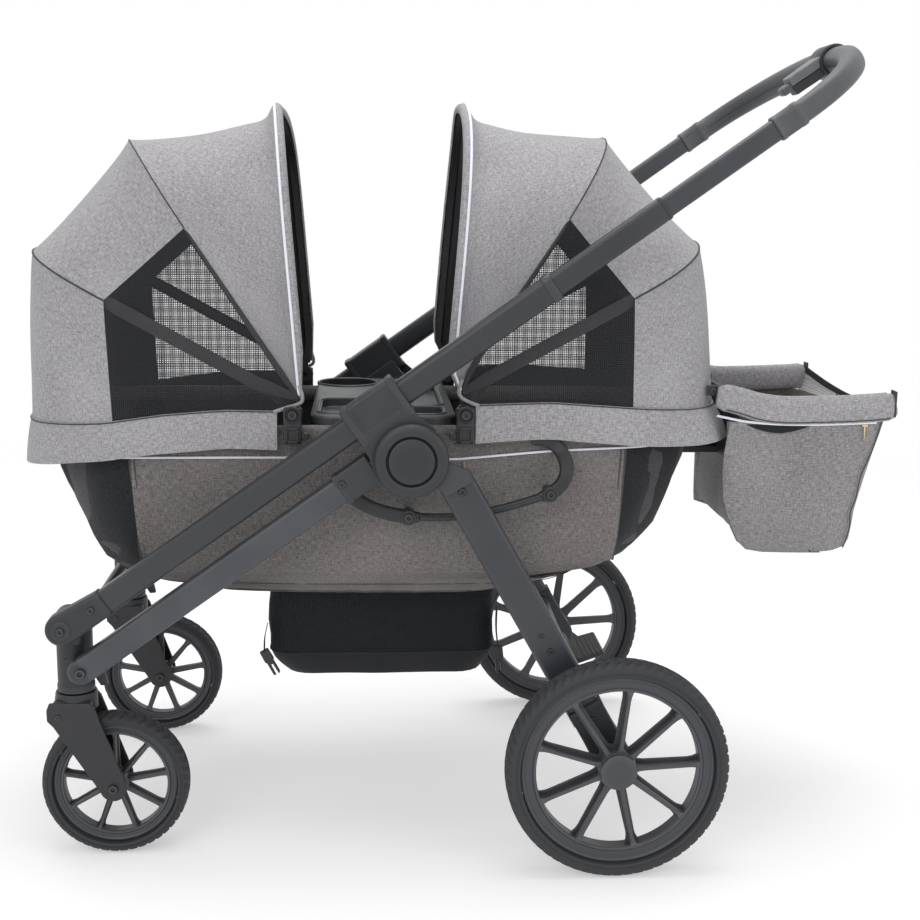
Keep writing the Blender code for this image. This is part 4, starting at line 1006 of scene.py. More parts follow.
@dataclass
class Handle:
    """The U-shaped grip with its sleeves, the clasped latch block and its trigger."""

    sleeve_start: float = 0.581
    sleeve_end: float = 0.616
    bend: float = 0.235
    crossing: float = 0.7560
    crossing_rise: float = 0.0718
    arm: Pair = (0.0225, 0.0285)
    latch_rise: float = 0.004
    radius: float = 0.017

    def build(self) -> None:
        """Builds the grip and its latch."""
        self.grip()
        self.sleeves()
        self.latch()

    def path(self) -> list[tuple[float, float, float, float]]:
        """Half of the grip's centre line, as (along, y, turn, share of the way to the crossing).

        Returns:
            Stations from the sleeve to the middle.
        """
        stations = [(self.sleeve_end - 0.004, TUBE_Y, 0.0, 0.0)]
        reach = self.crossing - self.sleeve_end
        steps = 24
        for i in range(1, steps + 1):
            turn = math.pi / 2 * i / steps
            along = self.sleeve_end + reach * math.sin(turn)
            y = TUBE_Y - self.bend + self.bend * math.cos(turn)
            stations.append(
                (along, y, math.atan2(self.bend * math.sin(turn), reach * math.cos(turn)), i / steps)
            )
        return stations

    def ring(self, along: float, y: float, turn: float, share: float) -> Ring:
        """Oval ring square to the grip's centre line.

        Args:
            along: Distance along the tube's direction.
            y: Middle of the ring in y.
            turn: How far the line has turned across.
            share: Share of the way to the crossing.

        Returns:
            The ring's points.
        """
        share = smooth_step(share)
        rise = TUBE_RISE + (self.crossing_rise - TUBE_RISE) * share
        width = self.arm[0] + (2 * self.radius - self.arm[0]) * share
        height = self.arm[1] + (2 * self.radius - self.arm[1]) * share
        ring = []
        sides = 32
        for i in range(sides):
            a = 2 * math.pi * i / sides
            bulge = (abs(math.cos(a)) ** 4 + abs(math.sin(a)) ** 4) ** -0.25 * 0.35 + 0.65
            across = width / 2 * math.cos(a) * bulge
            x, z = on_tube(along + across * math.sin(turn), rise + height / 2 * math.sin(a) * bulge)
            ring.append((x, y + across * math.cos(turn), z))
        return ring

    def grip(self) -> None:
        """Soft cover from sleeve to sleeve."""
        half = [self.ring(*station) for station in self.path()]
        other = [
            self.ring(along, -y, math.pi - turn, share) for along, y, turn, share in reversed(self.path())
        ]
        Shape().skin(half + other).done("grip_cover", GRIP, "handle", ("handle_grip",))
        seam = []
        for along, y, turn, share in self.path()[1:]:
            rise = TUBE_RISE + (self.crossing_rise - TUBE_RISE) * smooth_step(share)
            inset = self.arm[0] / 2 + (self.radius * 1.06 - self.arm[0] / 2) * smooth_step(share)
            x, z = on_tube(along - inset * math.sin(turn), rise)
            seam.append(Vector((x, y - inset * math.cos(turn), z)))
        for side in Side:
            path = [Vector((p.x, side.value * p.y, p.z)) for p in seam]
            Shape().cord(path, 0.0007, 6).done(f"grip_seam_{side.word}", BLACK, "handle")

    def sleeves(self) -> None:
        """Stepped plastic sleeve at each end of the grip."""
        for side in Side:
            y = side.value * TUBE_Y
            s = self.sleeve_start
            stations = (
                (s, 0.0225, 0.0285, 0.006),
                (s + 0.001, 0.0245, 0.031, 0.0072),
                (s + 0.006, 0.0245, 0.031, 0.0072),
                (s + 0.0066, 0.0236, 0.0300, 0.007),
                (s + 0.028, 0.0236, 0.0302, 0.0075),
                (s + 0.0288, 0.0248, 0.0312, 0.008),
                (s + 0.0350, 0.0248, 0.0312, 0.0085),
                (s + 0.0365, 0.0232, 0.0296, 0.008),
            )
            shape = Shape().skin([tube_ring(a, y, TUBE_RISE, w, h, r) for a, w, h, r in stations])
            shape.done(f"grip_sleeve_{side.word}", GRIP, "handle")

    def latch(self) -> None:
        """Wedge-shaped block clasped round the middle of the grip, its dark foot and its trigger."""
        center = on_tube(self.crossing, self.crossing_rise)
        clasp = Shape()
        profile = [
            (0.0186, -0.0235), (0.0215, -0.0235), (0.0222, -0.0225), (0.0222, 0.0225), (0.0215, 0.0235),
            (0.0186, 0.0235)
        ]
        clasp.turned(center, profile, sides=56, closed=True)
        clasp.done("latch_ring", BLACK, "handle")
        self.wedge("latch_block_cover", GREY, 0.0, 0.0128, 0.0215, 0.0155, ("latch_block",))
        self.wedge("latch_block_foot", BLACK, -0.0135, -0.0005, 0.0200, 0.0140, ())
        rise = self.crossing_rise + self.latch_rise
        start, end = self.crossing - 0.0790, self.crossing - 0.0560
        trigger = Shape()
        corners = ((start, -0.0062), (end, -0.0062), (end, 0.0062), (start, 0.0062))
        trigger.prism([on_tube(s, rise + t) for s, t in corners], -0.0113, 0.0113).ease(0.0042, 3)
        trigger.done("squeeze_trigger", GRIP, "latch", ("latch_trigger",), flat=True)

    def wedge(
        self, name: str, finish: Finish, low: float, high: float, wide: float, narrow: float,
        replaces: tuple
    ) -> None:
        """One layer of the latch block, wider at the grip than at the trigger.

        Args:
            name: The piece's name.
            finish: Its finish.
            low: Its underside, from the middle of the grip.
            high: Its upper side.
            wide: Half width at the grip.
            narrow: Half width at the trigger.
            replaces: The nodes that it stands for.
        """
        rings = []
        for t in (low, high):
            shrink = 0.0014 if abs(t) == max(abs(low), abs(high)) else 0.0
            plan = [(-0.0640, narrow), (-0.052, narrow + 0.0005), (-0.036, wide - 0.001), (-0.009, wide)]
            plan = [(self.crossing + s, y - shrink) for s, y in plan]
            plan += [(s, -y) for s, y in reversed(plan)]
            rings.append([(*on_tube(s, self.crossing_rise + self.latch_rise + t), y) for s, y in plan])
        rings = [[(x, y, z) for x, z, y in ring] for ring in rings]
        Shape().skin(rings).ease(0.0022, 3).done(name, finish, "handle", replaces, flat=True)


@dataclass
class Hub:
    """Hub of one side: the housing on the push tube, its skirt and flange, and the round cover."""

    side: Side
    start: float = -0.038
    end: float = 0.037
    top: float = 0.0965
    foot: float = 0.044
    inner_y: float = 0.229
    outer_y: float = 0.265
    radius: float = 0.0455

    def build(self) -> None:
        """Builds the hub."""
        self.housing()
        self.flange()
        self.cover()

    def housing(self) -> None:
        """Clasp round the tube with raised end bands, two ribs and a flared skirt down to the disc."""
        s, side = self.side.value, self.side
        arch = [on_tube(*point) for point in arc((0.0, 0.0), self.foot + 0.003, 66, 114, 12)]
        outline = [on_tube(self.end, self.top), on_tube(self.end, self.foot)] + arch
        outline += [on_tube(self.start, self.foot), on_tube(self.start, self.top)]
        body = eased_prism(outline, s * self.inner_y, s * (self.outer_y - 0.0006), 0.004, 3)
        for low, high in (
            (self.start - 0.0006, self.start + 0.0095), (self.end - 0.0085, self.end + 0.0006)
        ):
            corners = (
                (low, self.foot - 0.0006), (high, self.foot - 0.0006), (high, self.top + 0.0009),
                (low, self.top + 0.0009)
            )
            band = [on_tube(*corner) for corner in corners]
            body.plate(band, s * (self.inner_y - 0.0006), s * (self.outer_y + 0.0006), 0.0024)
        for place in (self.start + 0.0135, self.end - 0.0125):
            corners = ((place, 0.052), (place + 0.0012, 0.052), (place + 0.0012, 0.0885), (place, 0.0885))
            rib = [on_tube(*corner) for corner in corners]
            body.plate(rib, s * 0.26, s * (self.outer_y + 0.0004), 0.0004, 1)
        inner = arc((0.0, 0.0), 0.0417, 165, 15, 20)
        edge = [(0.0372, 0.060), (0.0380, 0.040), (0.0412, 0.028), (0.0447, 0.016), (0.0452, 0.0115)]
        skirt = [on_tube(*p) for p in edge + list(reversed(inner)) + [(-a, b) for a, b in reversed(edge)]]
        body.plate(skirt, s * 0.2602, s * 0.2646, 0.0012)
        body.done(f"hub_clasp_{side.word}", CASTING, replaces=(f"hub_housing_{side.word}",), flat=True)

    def flange(self) -> None:
        """Disc behind the leg with its grooved inner cap, the web up to the clasp, and the boss."""
        s = self.side.value
        center = (0.0, HUB_Z)
        profile = [(0.0400, 0.2343), (0.0400, 0.2245), (0.0385, 0.2225), (0.0310, 0.2222), (0.0302, 0.2236)]
        profile += [(0.0294, 0.2236), (0.0286, 0.2212), (0.0262, 0.2203), (0.008, 0.2201)]
        disc = Shape().turned(center, [(r, s * y) for r, y in profile], sides=64)
        web = [on_tube(*p) for p in ((-0.028, 0.01), (0.028, 0.01), (0.026, 0.060), (-0.026, 0.060))]
        disc.plate(web, s * 0.2232, s * 0.2338, 0.002)
        disc.turned(center, [(0.009, s * 0.230), (0.009, s * 0.2590)], sides=24)
        disc.done(f"hub_flange_{self.side.word}", CASTING, flat=True)

    def cover(self) -> None:
        """Soft-edged ring, a groove and a slightly domed bare cap."""
        r = self.radius
        profile = [
            (r - 0.001, 0.2688), (r, 0.2697), (r, 0.2728), (r - 0.0008, 0.2760), (r - 0.0032, 0.2785)
        ]
        profile += [(r - 0.0070, 0.2797), (r - 0.0110, 0.2798), (r - 0.0142, 0.2788), (r - 0.0153, 0.2765)]
        profile += [(r - 0.0155, 0.2742), (r - 0.0164, 0.2742), (r - 0.0168, 0.2768), (r - 0.0180, 0.2788)]
        profile += [(r - 0.0205, 0.2797), (0.012, 0.2803), (0.003, 0.2804)]
        shape = Shape().turned((0.0, HUB_Z), [(a, self.side.value * y) for a, y in profile], sides=80)
        shape.done(f"hub_disc_{self.side.word}", CASTING, "rear_legs", (f"hub_cover_{self.side.word}",))


@dataclass
class RearLeg:
    """Rear leg of one side with its head, bolts, axle casting and stub axle."""

    side: Side
    width: float = 0.040
    start: float = 0.047
    end: float = 0.405
    inner_y: float = 0.240
    outer_y: float = 0.262

    def build(self) -> None:
        """Builds the leg and the casting on its foot."""
        self.leg()
        self.casting()

    def leg(self) -> None:
        """Box tube with soft edges, its head plate and the pin of the link bar."""
        s, word = self.side.value, self.side.word
        middle = (self.inner_y + self.outer_y) / 2
        rings = []
        for along in (self.start, self.start + 0.002, 0.2, self.end):
            shrink = 0.002 if along == self.start else 0.0
            ring = []
            section = rounded_rectangle(self.outer_y - self.inner_y - shrink, self.width - shrink, 0.0062)
            for across, out in section:
                x, z = on_leg(along, LEG_OFFSET + out - (0.004 if out < 0 else 0.0))
                ring.append((x, s * (middle + across), z))
            rings.append(ring)
        near, far = LEG_OFFSET - self.width / 2 - 0.004, LEG_OFFSET + self.width / 2
        head = [(0.060, far - 0.003), (0.045, far - 0.001)] + arc((0.0, 0.0), 0.0398, 60, 374, 60)
        head += [(0.060, near + 0.003)]
        body = Shape().skin(rings)
        body.plate([on_leg(*p) for p in head], s * 0.2602, s * 0.2683, 0.0014)
        body.add(Shape().turned(LINK_REAR, [(0.0034, s * 0.2354), (0.0034, s * 0.263)], sides=20))
        body.done(f"leg_tube_{word}", PAINT, "rear_legs", (f"rear_leg_{word}",), flat=True)
        bolts = Shape()
        for place, radius in (
            ((0.1636, 0.2972), 0.0034), (on_leg(0.0655, 0.0345), 0.0052), ((0.1754, 0.2776), 0.0042)
        ):
            bolts.screw(place, s * self.outer_y, s, radius)
        bolts.screw((0.2299, 0.1876), s * 0.2662, s, 0.0048)
        bolts.done(f"leg_bolts_{word}", DARK_STEEL, "rear_legs")

    def casting(self) -> None:
        """Casting with a raised band at its mouth, round foot, shoulder and stub axle."""
        s, word = self.side.value, self.side.word
        half = self.width / 2 + 0.0025
        bend = 0.4235
        outline = [on_leg(0.385, LEG_OFFSET + half), on_leg(bend, LEG_OFFSET + half)]
        outline += arc(REAR_AXLE, 0.024, 25, -145, 18)
        outline += [on_leg(bend, LEG_OFFSET - half), on_leg(0.385, LEG_OFFSET - half)]
        body = eased_prism(outline, s * 0.2385, s * 0.266, 0.003, 3)
        band = half + 0.0007
        corners = ((0.3845, band), (0.3925, band), (0.3925, -band), (0.3845, -band))
        outline = [on_leg(a, LEG_OFFSET + n) for a, n in corners]
        body.plate(outline, s * 0.2379, s * 0.2667, 0.0016)
        profile = [(0.0165, 0.262), (0.0165, 0.2690), (0.0150, 0.2706), (0.0122, 0.2710), (0.0120, 0.2790)]
        profile += [(0.0060, 0.2793), (0.0060, 0.3155)]
        body.add(Shape().turned(REAR_AXLE, [(r, s * y) for r, y in profile], sides=40))
        body.done(f"axle_casting_{word}", CASTING, "rear_legs", (f"axle_housing_{word}",), flat=True)


@dataclass
class CrossMembers:
    """Round bars across the chassis and the brake pedal on the rear one."""

    rear_reach: float = 0.2382
    rear_radius: float = 0.011
    front_reach: float = 0.2332
    front_radius: float = 0.008
    front_center: Pair = (-0.385, 0.335)
    collar: float = 0.0022
    pedal_half: float = 0.055

    def build(self) -> None:
        """Builds both bars and the pedal."""
        for name, center, radius, reach, body in (
            ("rear_crossbar", CROSSBAR, self.rear_radius, self.rear_reach, "rear_legs"),
            ("front_crossbar", self.front_center, self.front_radius, self.front_reach, "frame"),
        ):
            wide = radius + self.collar
            profile = [(wide, -reach), (wide, -reach + 0.014), (radius, -reach + 0.0155)]
            profile += [(radius, reach - 0.0155), (wide, reach - 0.014), (wide, reach)]
            Shape().turned(center, profile, sides=40).done(name + "_tube", PAINT, body, (name,))
        self.pedal()

    def pedal(self) -> None:
        """Sleeve with a ribbed pedal plate."""
        x, z = CROSSBAR
        half = self.pedal_half
        profile = [
            (0.0117, -half), (0.0148, -half), (0.0152, -half + 0.001), (0.0152, half - 0.001),
            (0.0148, half), (0.0117, half)
        ]
        body = Shape().turned(CROSSBAR, profile, sides=40, closed=True)
        outline = [
            (x + 0.013, z + 0.005), (x + 0.052, z + 0.016), (x + 0.055, z + 0.012), (x + 0.013, z - 0.003)
        ]
        body.plate(outline, -half + 0.008, half - 0.008, 0.0018)
        for i in range(5):
            reach = x + 0.024 + 0.006 * i
            lift = z + 0.005 + (reach - x - 0.013) * 0.283
            rib = [
                (reach, lift), (reach + 0.0025, lift + 0.0007), (reach + 0.0022, lift + 0.0017),
                (reach, lift + 0.0010)
            ]
            body.plate(rib, -half + 0.013, half - 0.013, 0.0004, 1)
        body.done("pedal_plate", BLACK, "brake", ("brake_pedal",), flat=True)


@dataclass
class FrontCorner:
    """Front corner of one side: the knuckle, stem barrel, link bar, fork and swivel lock."""

    side: Side
    knuckle_radius: float = 0.020
    knuckle_y: Pair = (0.2335, 0.2605)
    tube_end: float = -0.4083
    barrel_radius: float = 0.0224
    lug_radius: float = 0.018
    lug_y: Pair = (0.2010, 0.2330)
    bar_half: float = 0.0165
    bar_width: float = 0.022
    bar_y: float = 0.247
    sleeve_half: float = 0.0195
    sleeve_length: float = 0.050
    sleeve_y: Pair = (0.2350, 0.2590)
    tongue_half: float = 0.009
    crown_radius: float = 0.0262
    plate_y: Pair = (0.0225, 0.0275)
    plate_foot: float = 0.017
    axle_radius: float = 0.0050
    lock_pin: Pair = (-0.3930, 0.2480)

    def build(self) -> None:
        """Builds every piece of the corner."""
        self.knuckle()
        self.stem()
        self.link_bar()
        self.fork()
        self.lock()

    def knuckle(self) -> None:
        """Casting at the tube's lower end with a round nose, a raised mouth and its bolts."""
        s, word = self.side.value, self.side.word
        slope = math.degrees(SLOPE)
        end, half = self.tube_end, 0.0166
        outline = arc(KNUCKLE_PIVOT, self.knuckle_radius, slope + 90, slope + 270, 20)
        outline += [on_tube(end, TUBE_RISE - half), on_tube(end, TUBE_RISE + half)]
        body = eased_prism(outline, s * self.knuckle_y[0], s * self.knuckle_y[1], 0.0052, 4)
        mouth = (
            (end - 0.010, 0.0262, 0.0336),
            (end - 0.008, 0.0274, 0.0346),
            (end + 0.0002, 0.0276, 0.0350),
            (end + 0.0014, 0.0262, 0.0336),
        )
        body.add(Shape().skin([tube_ring(a, s * TUBE_Y, TUBE_RISE, w, h, 0.0082) for a, w, h in mouth]))
        body.turned(
            KNUCKLE_PIVOT,
            [(0.0122, s * 0.255), (0.0122, s * 0.2612), (0.0112, s * 0.2622), (0.004, s * 0.2624)], sides=36
        )
        body.done(f"knuckle_casting_{word}", CASTING, replaces=(f"front_knuckle_{word}",), flat=True)
        bolts = Shape().screw((-0.3892, 0.3352), s * 0.2602, s, 0.0045)
        bolts.add(Shape().screw(KNUCKLE_PIVOT, s * 0.2622, s, 0.0052))
        bolts.done(f"knuckle_bolts_{word}", DARK_STEEL)

    def stem(self) -> None:
        """Barrel with a lipped foot, its lug and pins."""
        s, word = self.side.value, self.side.word
        y = s * CASTER_Y
        profile = [
            (0.0215, 0.2172), (0.0233, 0.2182), (0.0233, 0.2262), (self.barrel_radius, 0.2275),
            (self.barrel_radius, 0.2960)
        ]
        profile += [(0.0213, 0.3000), (0.0180, 0.3020)]
        body = Shape().turned((CASTER_X, y), profile, axis="z", sides=56)
        lug = arc(KNUCKLE_PIVOT, self.lug_radius, 0, 180, 18)
        lug += [(CASTER_X - 0.018, 0.282), (CASTER_X + 0.012, 0.282)]
        body.plate(lug, s * self.lug_y[0], s * self.lug_y[1], 0.0025)
        for center, radius, end in ((KNUCKLE_PIVOT, 0.006, 0.2550), (LINK_FRONT, 0.005, 0.2592)):
            body.add(Shape().turned(center, [(radius, y), (radius, s * end)], sides=20))
        seat = Shape().box((CASTER_X + 0.015, y - 0.004, 0.243), (-0.390, y + 0.004, 0.253)).ease(0.0015)
        body.add(seat)
        body.add(Shape().turned(self.lock_pin, [(0.0018, y), (0.0018, y + 0.0124)], sides=12))
        slot = [
            (CASTER_X - 0.010, 0.259), (CASTER_X + 0.002, 0.259), (CASTER_X + 0.002, 0.264),
            (CASTER_X - 0.010, 0.264)
        ]
        body.plate(slot, s * 0.225, s * 0.2322, 0.001)
        body.done(f"stem_barrel_{word}", CASTING, f"stem_{word}", (f"front_stem_{word}",), flat=True)
        cap = Shape().screw(LINK_FRONT, s * 0.2590, s, 0.0068)
        cap.done(f"link_pivot_cap_{word}", DARK_STEEL, f"stem_{word}")

    def link_bar(self) -> None:
        """Box bar with soft edges, its sleeve with a raised mouth, the tongue and a bolt."""
        s, word = self.side.value, self.side.word
        length = math.dist(LINK_FRONT, LINK_REAR)
        sleeve = length - 0.078
        slope = math.degrees(SLOPE)
        half = self.bar_half
        rings = []
        for along in (0.004, sleeve + 0.01):
            ring = []
            for across, up in rounded_rectangle(self.bar_width, 2 * half, 0.0055):
                x, z = on_link(along, up)
                ring.append((x, s * (self.bar_y + across), z))
            rings.append(ring)
        body = Shape().skin(rings)
        nose = arc(LINK_FRONT, half, slope + 90, slope + 270, 18)
        nose += [on_link(0.006, -half), on_link(0.006, half)]
        body.plate(nose, s * 0.236, s * 0.258, 0.0045, 3)
        body.done(f"link_tube_{word}", PAINT, f"link_{word}", (f"link_bar_{word}",), flat=True)
        tall = self.sleeve_half
        end = sleeve + self.sleeve_length
        corners = ((sleeve, tall), (sleeve, -tall), (end, -tall), (end, tall))
        sock = eased_prism(
            [on_link(*p) for p in corners], s * self.sleeve_y[0], s * self.sleeve_y[1], 0.0035, 3
        )
        lip = tall + 0.0008
        corners = (
            (sleeve - 0.0006, lip), (sleeve - 0.0006, -lip), (sleeve + 0.007, -lip), (sleeve + 0.007, lip)
        )
        sock.plate([on_link(*p) for p in corners], s * 0.2345, s * 0.2596, 0.0018)
        tongue = arc(LINK_REAR, self.tongue_half, slope + 90, slope - 90, 14)
        tongue += [on_link(end - 0.01, -self.tongue_half), on_link(end - 0.01, self.tongue_half)]
        sock.plate(tongue, s * 0.2390, s * 0.2580, 0.001)
        sock.done(f"link_sleeve_{word}", CASTING, f"link_{word}", flat=True)
        bolts = Shape().screw((-0.084, 0.491), s * 0.2590, s, 0.0046)
        bolts.done(f"link_bolt_{word}", DARK_STEEL, f"link_{word}")

    def fork(self) -> None:
        """Crown, two side plates with soft edges, swivel pin and axle with its bolts."""
        s, word = self.side.value, self.side.word
        y = s * CASTER_Y
        r = self.crown_radius
        profile = [(0.0248, 0.1925), (r, 0.1945), (r, 0.2135), (0.0250, 0.2163), (0.012, 0.2165)]
        body = Shape().turned((CASTER_X, y), profile, axis="z", sides=56)
        bridge = Shape().box(
            (CASTER_X - 0.026, y - r, 0.190), (CASTER_X + 0.022, y + r, 0.2085)
        ).ease(0.004, 3)
        body.add(bridge)
        outline = [(-0.4537, 0.198), (-0.450, 0.2075), (-0.400, 0.2075), (-0.3947, 0.2009)]
        outline += arc(FRONT_AXLE, self.plate_foot, 20, -165, 20) + [(-0.4460, 0.176), (-0.4535, 0.184)]
        inner, outer = self.plate_y
        for low, high in ((-outer, -inner), (inner, outer)):
            body.plate(outline, y + low, y + high, 0.0018, 3)
        body.turned((CASTER_X, y), [(0.0058, 0.2160), (0.0058, 0.2455)], axis="z", sides=20)
        body.turned(FRONT_AXLE, [(self.axle_radius, y - outer), (self.axle_radius, y + outer)], sides=24)
        body.done(f"fork_casting_{word}", BLACK, f"caster_{word}", (f"caster_fork_{word}",), flat=True)
        bolts = Shape()
        for way in (-1, 1):
            bolts.screw(FRONT_AXLE, y + way * outer, way, 0.0062)
            bolts.screw((-0.4393, 0.1893), y + way * outer, way, 0.0035)
        bolts.done(f"fork_bolts_{word}", DARK_STEEL, f"caster_{word}")

    def lock(self) -> None:
        """Black lever that hangs beside its pin."""
        s, word = self.side.value, self.side.word
        y = s * CASTER_Y
        x, z = self.lock_pin
        outline = arc((x, z), 0.005, 0, 180, 12) + [
            (x - 0.0035, z - 0.020), (x + 0.002, z - 0.029), (x + 0.011, z - 0.028)
        ]
        lever = eased_prism(outline, y + 0.0045, y + 0.0118, 0.0012)
        lever.done(f"lock_lever_{word}", BLACK, f"lock_{word}", (f"swivel_lock_{word}",), flat=True)


@dataclass
class Wheel:
    """One wheel, on the body of its own name: tyre with a slanted tread, spoked rim and hub."""

    name: str
    center: Pair
    y: float
    outward: int
    radius: float
    rim_radius: float
    opening: float
    hub: float
    half_width: float
    first_spoke: float
    blocks: int
    rim_half: float = 0.0115
    spokes: int = 9

    def build(self) -> None:
        """Builds the tyre and the rim."""
        self.tyre()
        self.rim()

    def tyre(self) -> None:
        """Tyre with grooves slanted across its crown and a smooth sidewall with a bead line."""
        r, w, seat = self.radius, self.half_width, self.rim_radius + 0.0004
        per_block = 5
        count = self.blocks * per_block
        half = [
            (seat, w - 0.004), (seat + 0.0008, w - 0.0018), (seat + 0.0034, w - 0.0004),
            (seat + 0.0052, w - 0.0009)
        ]
        half += [
            (seat + 0.0064, w - 0.0001), (r - 0.0085, w), (r - 0.0050, w - 0.0012), (r - 0.0026, w - 0.0036)
        ]
        half += [(r - 0.0011, w - 0.0068), (r - 0.0003, w - 0.0108), (r, w * 0.22), (r, 0.0003)]
        profile = [(a, -b) for a, b in half] + [(a, b) for a, b in reversed(half)]
        tread_start = len(half) - 6
        rings = []
        for i in range(count):
            turn = 2 * math.pi * i / count
            ring = []
            for j, (reach, across) in enumerate(profile):
                from_edge = min(j, len(profile) - 1 - j) - tread_start
                groove = from_edge >= 0 and (i + from_edge * (1 if across < 0 else 2)) % per_block == 0
                middle = abs(across) < 0.001
                depth = 0.0024 if groove or middle else 0.0
                x = self.center[0] + (reach - depth) * math.cos(turn)
                ring.append((x, self.y + across, self.center[1] + (reach - depth) * math.sin(turn)))
            rings.append(ring)
        shape = Shape().skin(rings, closed=True)
        shape.done(
            self.name + "_tread", RUBBER, self.name, (self.name.replace("wheel", "tyre"),), angle=28.0
        )

    def rim(self) -> None:
        """Channelled rim, nine spokes of I section with flared roots, hub drum and domed cap."""
        rr, o, h = self.rim_radius, self.opening, self.rim_half
        half = [
            (rr, 0.001), (rr, h - 0.0018), (rr - 0.0008, h), (rr - 0.0030, h + 0.0008), (rr - 0.0046, h)
        ]
        half += [
            (rr - 0.0056, h - 0.0014), (o + 0.0052, h - 0.0022), (o + 0.0036, h - 0.0008),
            (o + 0.0014, h - 0.0009)
        ]
        half += [(o, h - 0.0030), (o, 0.001)]
        profile = [(a, self.y - b) for a, b in reversed(half)] + [(a, self.y + b) for a, b in half]
        shape = Shape().turned(self.center, profile, sides=96, closed=True)
        for index in range(self.spokes):
            self.spoke(shape, self.first_spoke + 2 * math.pi * index / self.spokes)
        self.hub_drum(shape)
        shape.done(self.name + "_rim", RIM, self.name, (self.name.replace("wheel", "rim"),), angle=32.0)

    def spoke(self, shape: Shape, turn: float) -> None:
        """Adds one spoke: a narrow rib in front and a wider flange behind, both flared at the roots.

        Args:
            shape: The shape that takes it in.
            turn: Angle of the spoke.
        """
        start, end = self.hub - 0.004, self.opening + 0.0012
        length = end - start
        scale = self.radius / 0.140
        for half_width, flare, low, high in (
            (0.0024 * scale, 0.0026 * scale, -0.002, self.rim_half - 0.0012),
            (0.0060 * scale, 0.0042 * scale, -self.rim_half + 0.003, -self.rim_half + 0.0068),
        ):
            edge = []
            for share in (0.0, 0.04, 0.09, 0.16, 0.5, 0.84, 0.91, 0.96, 1.0):
                root = max(0.0, 1 - share / 0.16, 1 - (1 - share) / 0.16)
                taper = half_width * (1.12 - 0.24 * share)
                edge.append((start + length * share, taper + flare * root * root))
            outline = edge + [(a, -b) for a, b in reversed(edge)]
            placed = []
            for a, b in outline:
                x = self.center[0] + a * math.cos(turn) - b * math.sin(turn)
                placed.append((x, self.center[1] + a * math.sin(turn) + b * math.cos(turn)))
            first, second = self.y + self.outward * low, self.y + self.outward * high
            shape.plate(placed, first, second, 0.0008, 1)

    def hub_drum(self, shape: Shape) -> None:
        """Adds the hub and what closes it.

        Args:
            shape: The shape that takes it in.
        """
        out, h = self.outward, self.rim_half
        if self.name.startswith("rear"):
            inner, outer = self.y - out * 0.0225, self.y + out * 0.0195
            profile = [(0.0198, inner), (0.0200, self.y - out * 0.0120), (0.0238, self.y - out * 0.0112)]
            profile += [
                (0.0243, self.y - out * 0.0100), (0.0243, self.y + out * 0.0110),
                (0.0238, self.y + out * 0.0122)
            ]
            profile += [
                (0.0232, self.y + out * 0.0126), (0.0232, self.y + out * 0.0158),
                (0.0224, self.y + out * 0.0178)
            ]
            profile += [(0.0200, self.y + out * 0.0190), (0.012, outer - out * 0.0001), (0.003, outer)]
        else:
            profile = [
                (0.0110, self.y - 0.0216), (0.0128, self.y - 0.0208), (0.0128, self.y - h),
                (0.0160, self.y - h + 0.001)
            ]
            profile += [
                (0.0160, self.y + h - 0.001), (0.0128, self.y + h), (0.0128, self.y + 0.0208),
                (0.0110, self.y + 0.0216)
            ]
        shape.turned(self.center, profile, sides=48)


def build_wheels() -> None:
    """Builds the four wheels."""
    for side in Side:
        s = side.value
        Wheel(
            name=f"rear_wheel_{side.word}",
            center=REAR_AXLE,
            y=s * REAR_WHEEL_Y,
            outward=s,
            radius=0.140,
            rim_radius=0.1213,
            opening=0.102,
            hub=0.0243,
            half_width=0.019,
            first_spoke=math.radians(3),
            blocks=64,
        ).build()
        Wheel(
            name=f"front_wheel_{side.word}",
            center=FRONT_AXLE,
            y=s * CASTER_Y,
            outward=s,
            radius=0.093,
            rim_radius=0.0786,
            opening=0.0652,
            hub=0.016,
            half_width=0.018,
            first_spoke=math.radians(10),
            blocks=46,
            rim_half=0.010,
        ).build()


def lerped(table: list[Pair], place: float) -> float:
    """Value at a place in a table of (place, value) pairs, eased along straight stretches.

    Args:
        table: Pairs of (place, value) in order.
        place: The place.

    Returns:
        The value there.
    """
    for (low, first), (high, second) in zip(table, table[1:]):
        if place <= high:
            return first + (second - first) * max(0.0, place - low) / (high - low)
    return table[-1][1]


def spread(path: list[Vector], count: int, start: float = 0.0, end: float | None = None) -> list[Vector]:
    """Evenly spaced points along a path, between two lengths along it.

    Args:
        path: Line of points.
        count: Number of equal steps.
        start: Length along the path where they start.
        end: Length where they end, or None for the whole path.

    Returns:
        The points, one more than the steps.
    """
    lengths = [0.0]
    for first, second in zip(path, path[1:]):
        lengths.append(lengths[-1] + (second - first).length)
    end = lengths[-1] if end is None else end
    points = []
    index = 0
    for i in range(count + 1):
        target = start + (end - start) * i / count
        while index < len(path) - 2 and lengths[index + 1] < target:
            index += 1
        span = max(1e-9, lengths[index + 1] - lengths[index])
        points.append(
            path[index].lerp(path[index + 1], min(1.0, max(0.0, (target - lengths[index]) / span)))
        )
    return points


def smooth_path(points: list[Triple], steps: int = 8) -> list[Vector]:
    """Smooth curve through points.

    Args:
        points: Points that it goes through.
        steps: Stretches from one to the next.

    Returns:
        The curve's points.
    """
    nodes = [Vector(p) for p in points]
    nodes = [nodes[0] * 2 - nodes[1]] + nodes + [nodes[-1] * 2 - nodes[-2]]
    path = []
    for a, b, c, d in zip(nodes, nodes[1:], nodes[2:], nodes[3:]):
        for i in range(steps):
            t = i / steps
            bend, twist = 2 * a - 5 * b + 4 * c - d, 3 * b - a - 3 * c + d
            path.append(0.5 * (2 * b + (c - a) * t + bend * t * t + twist * t ** 3))
    path.append(nodes[-2])
    return path


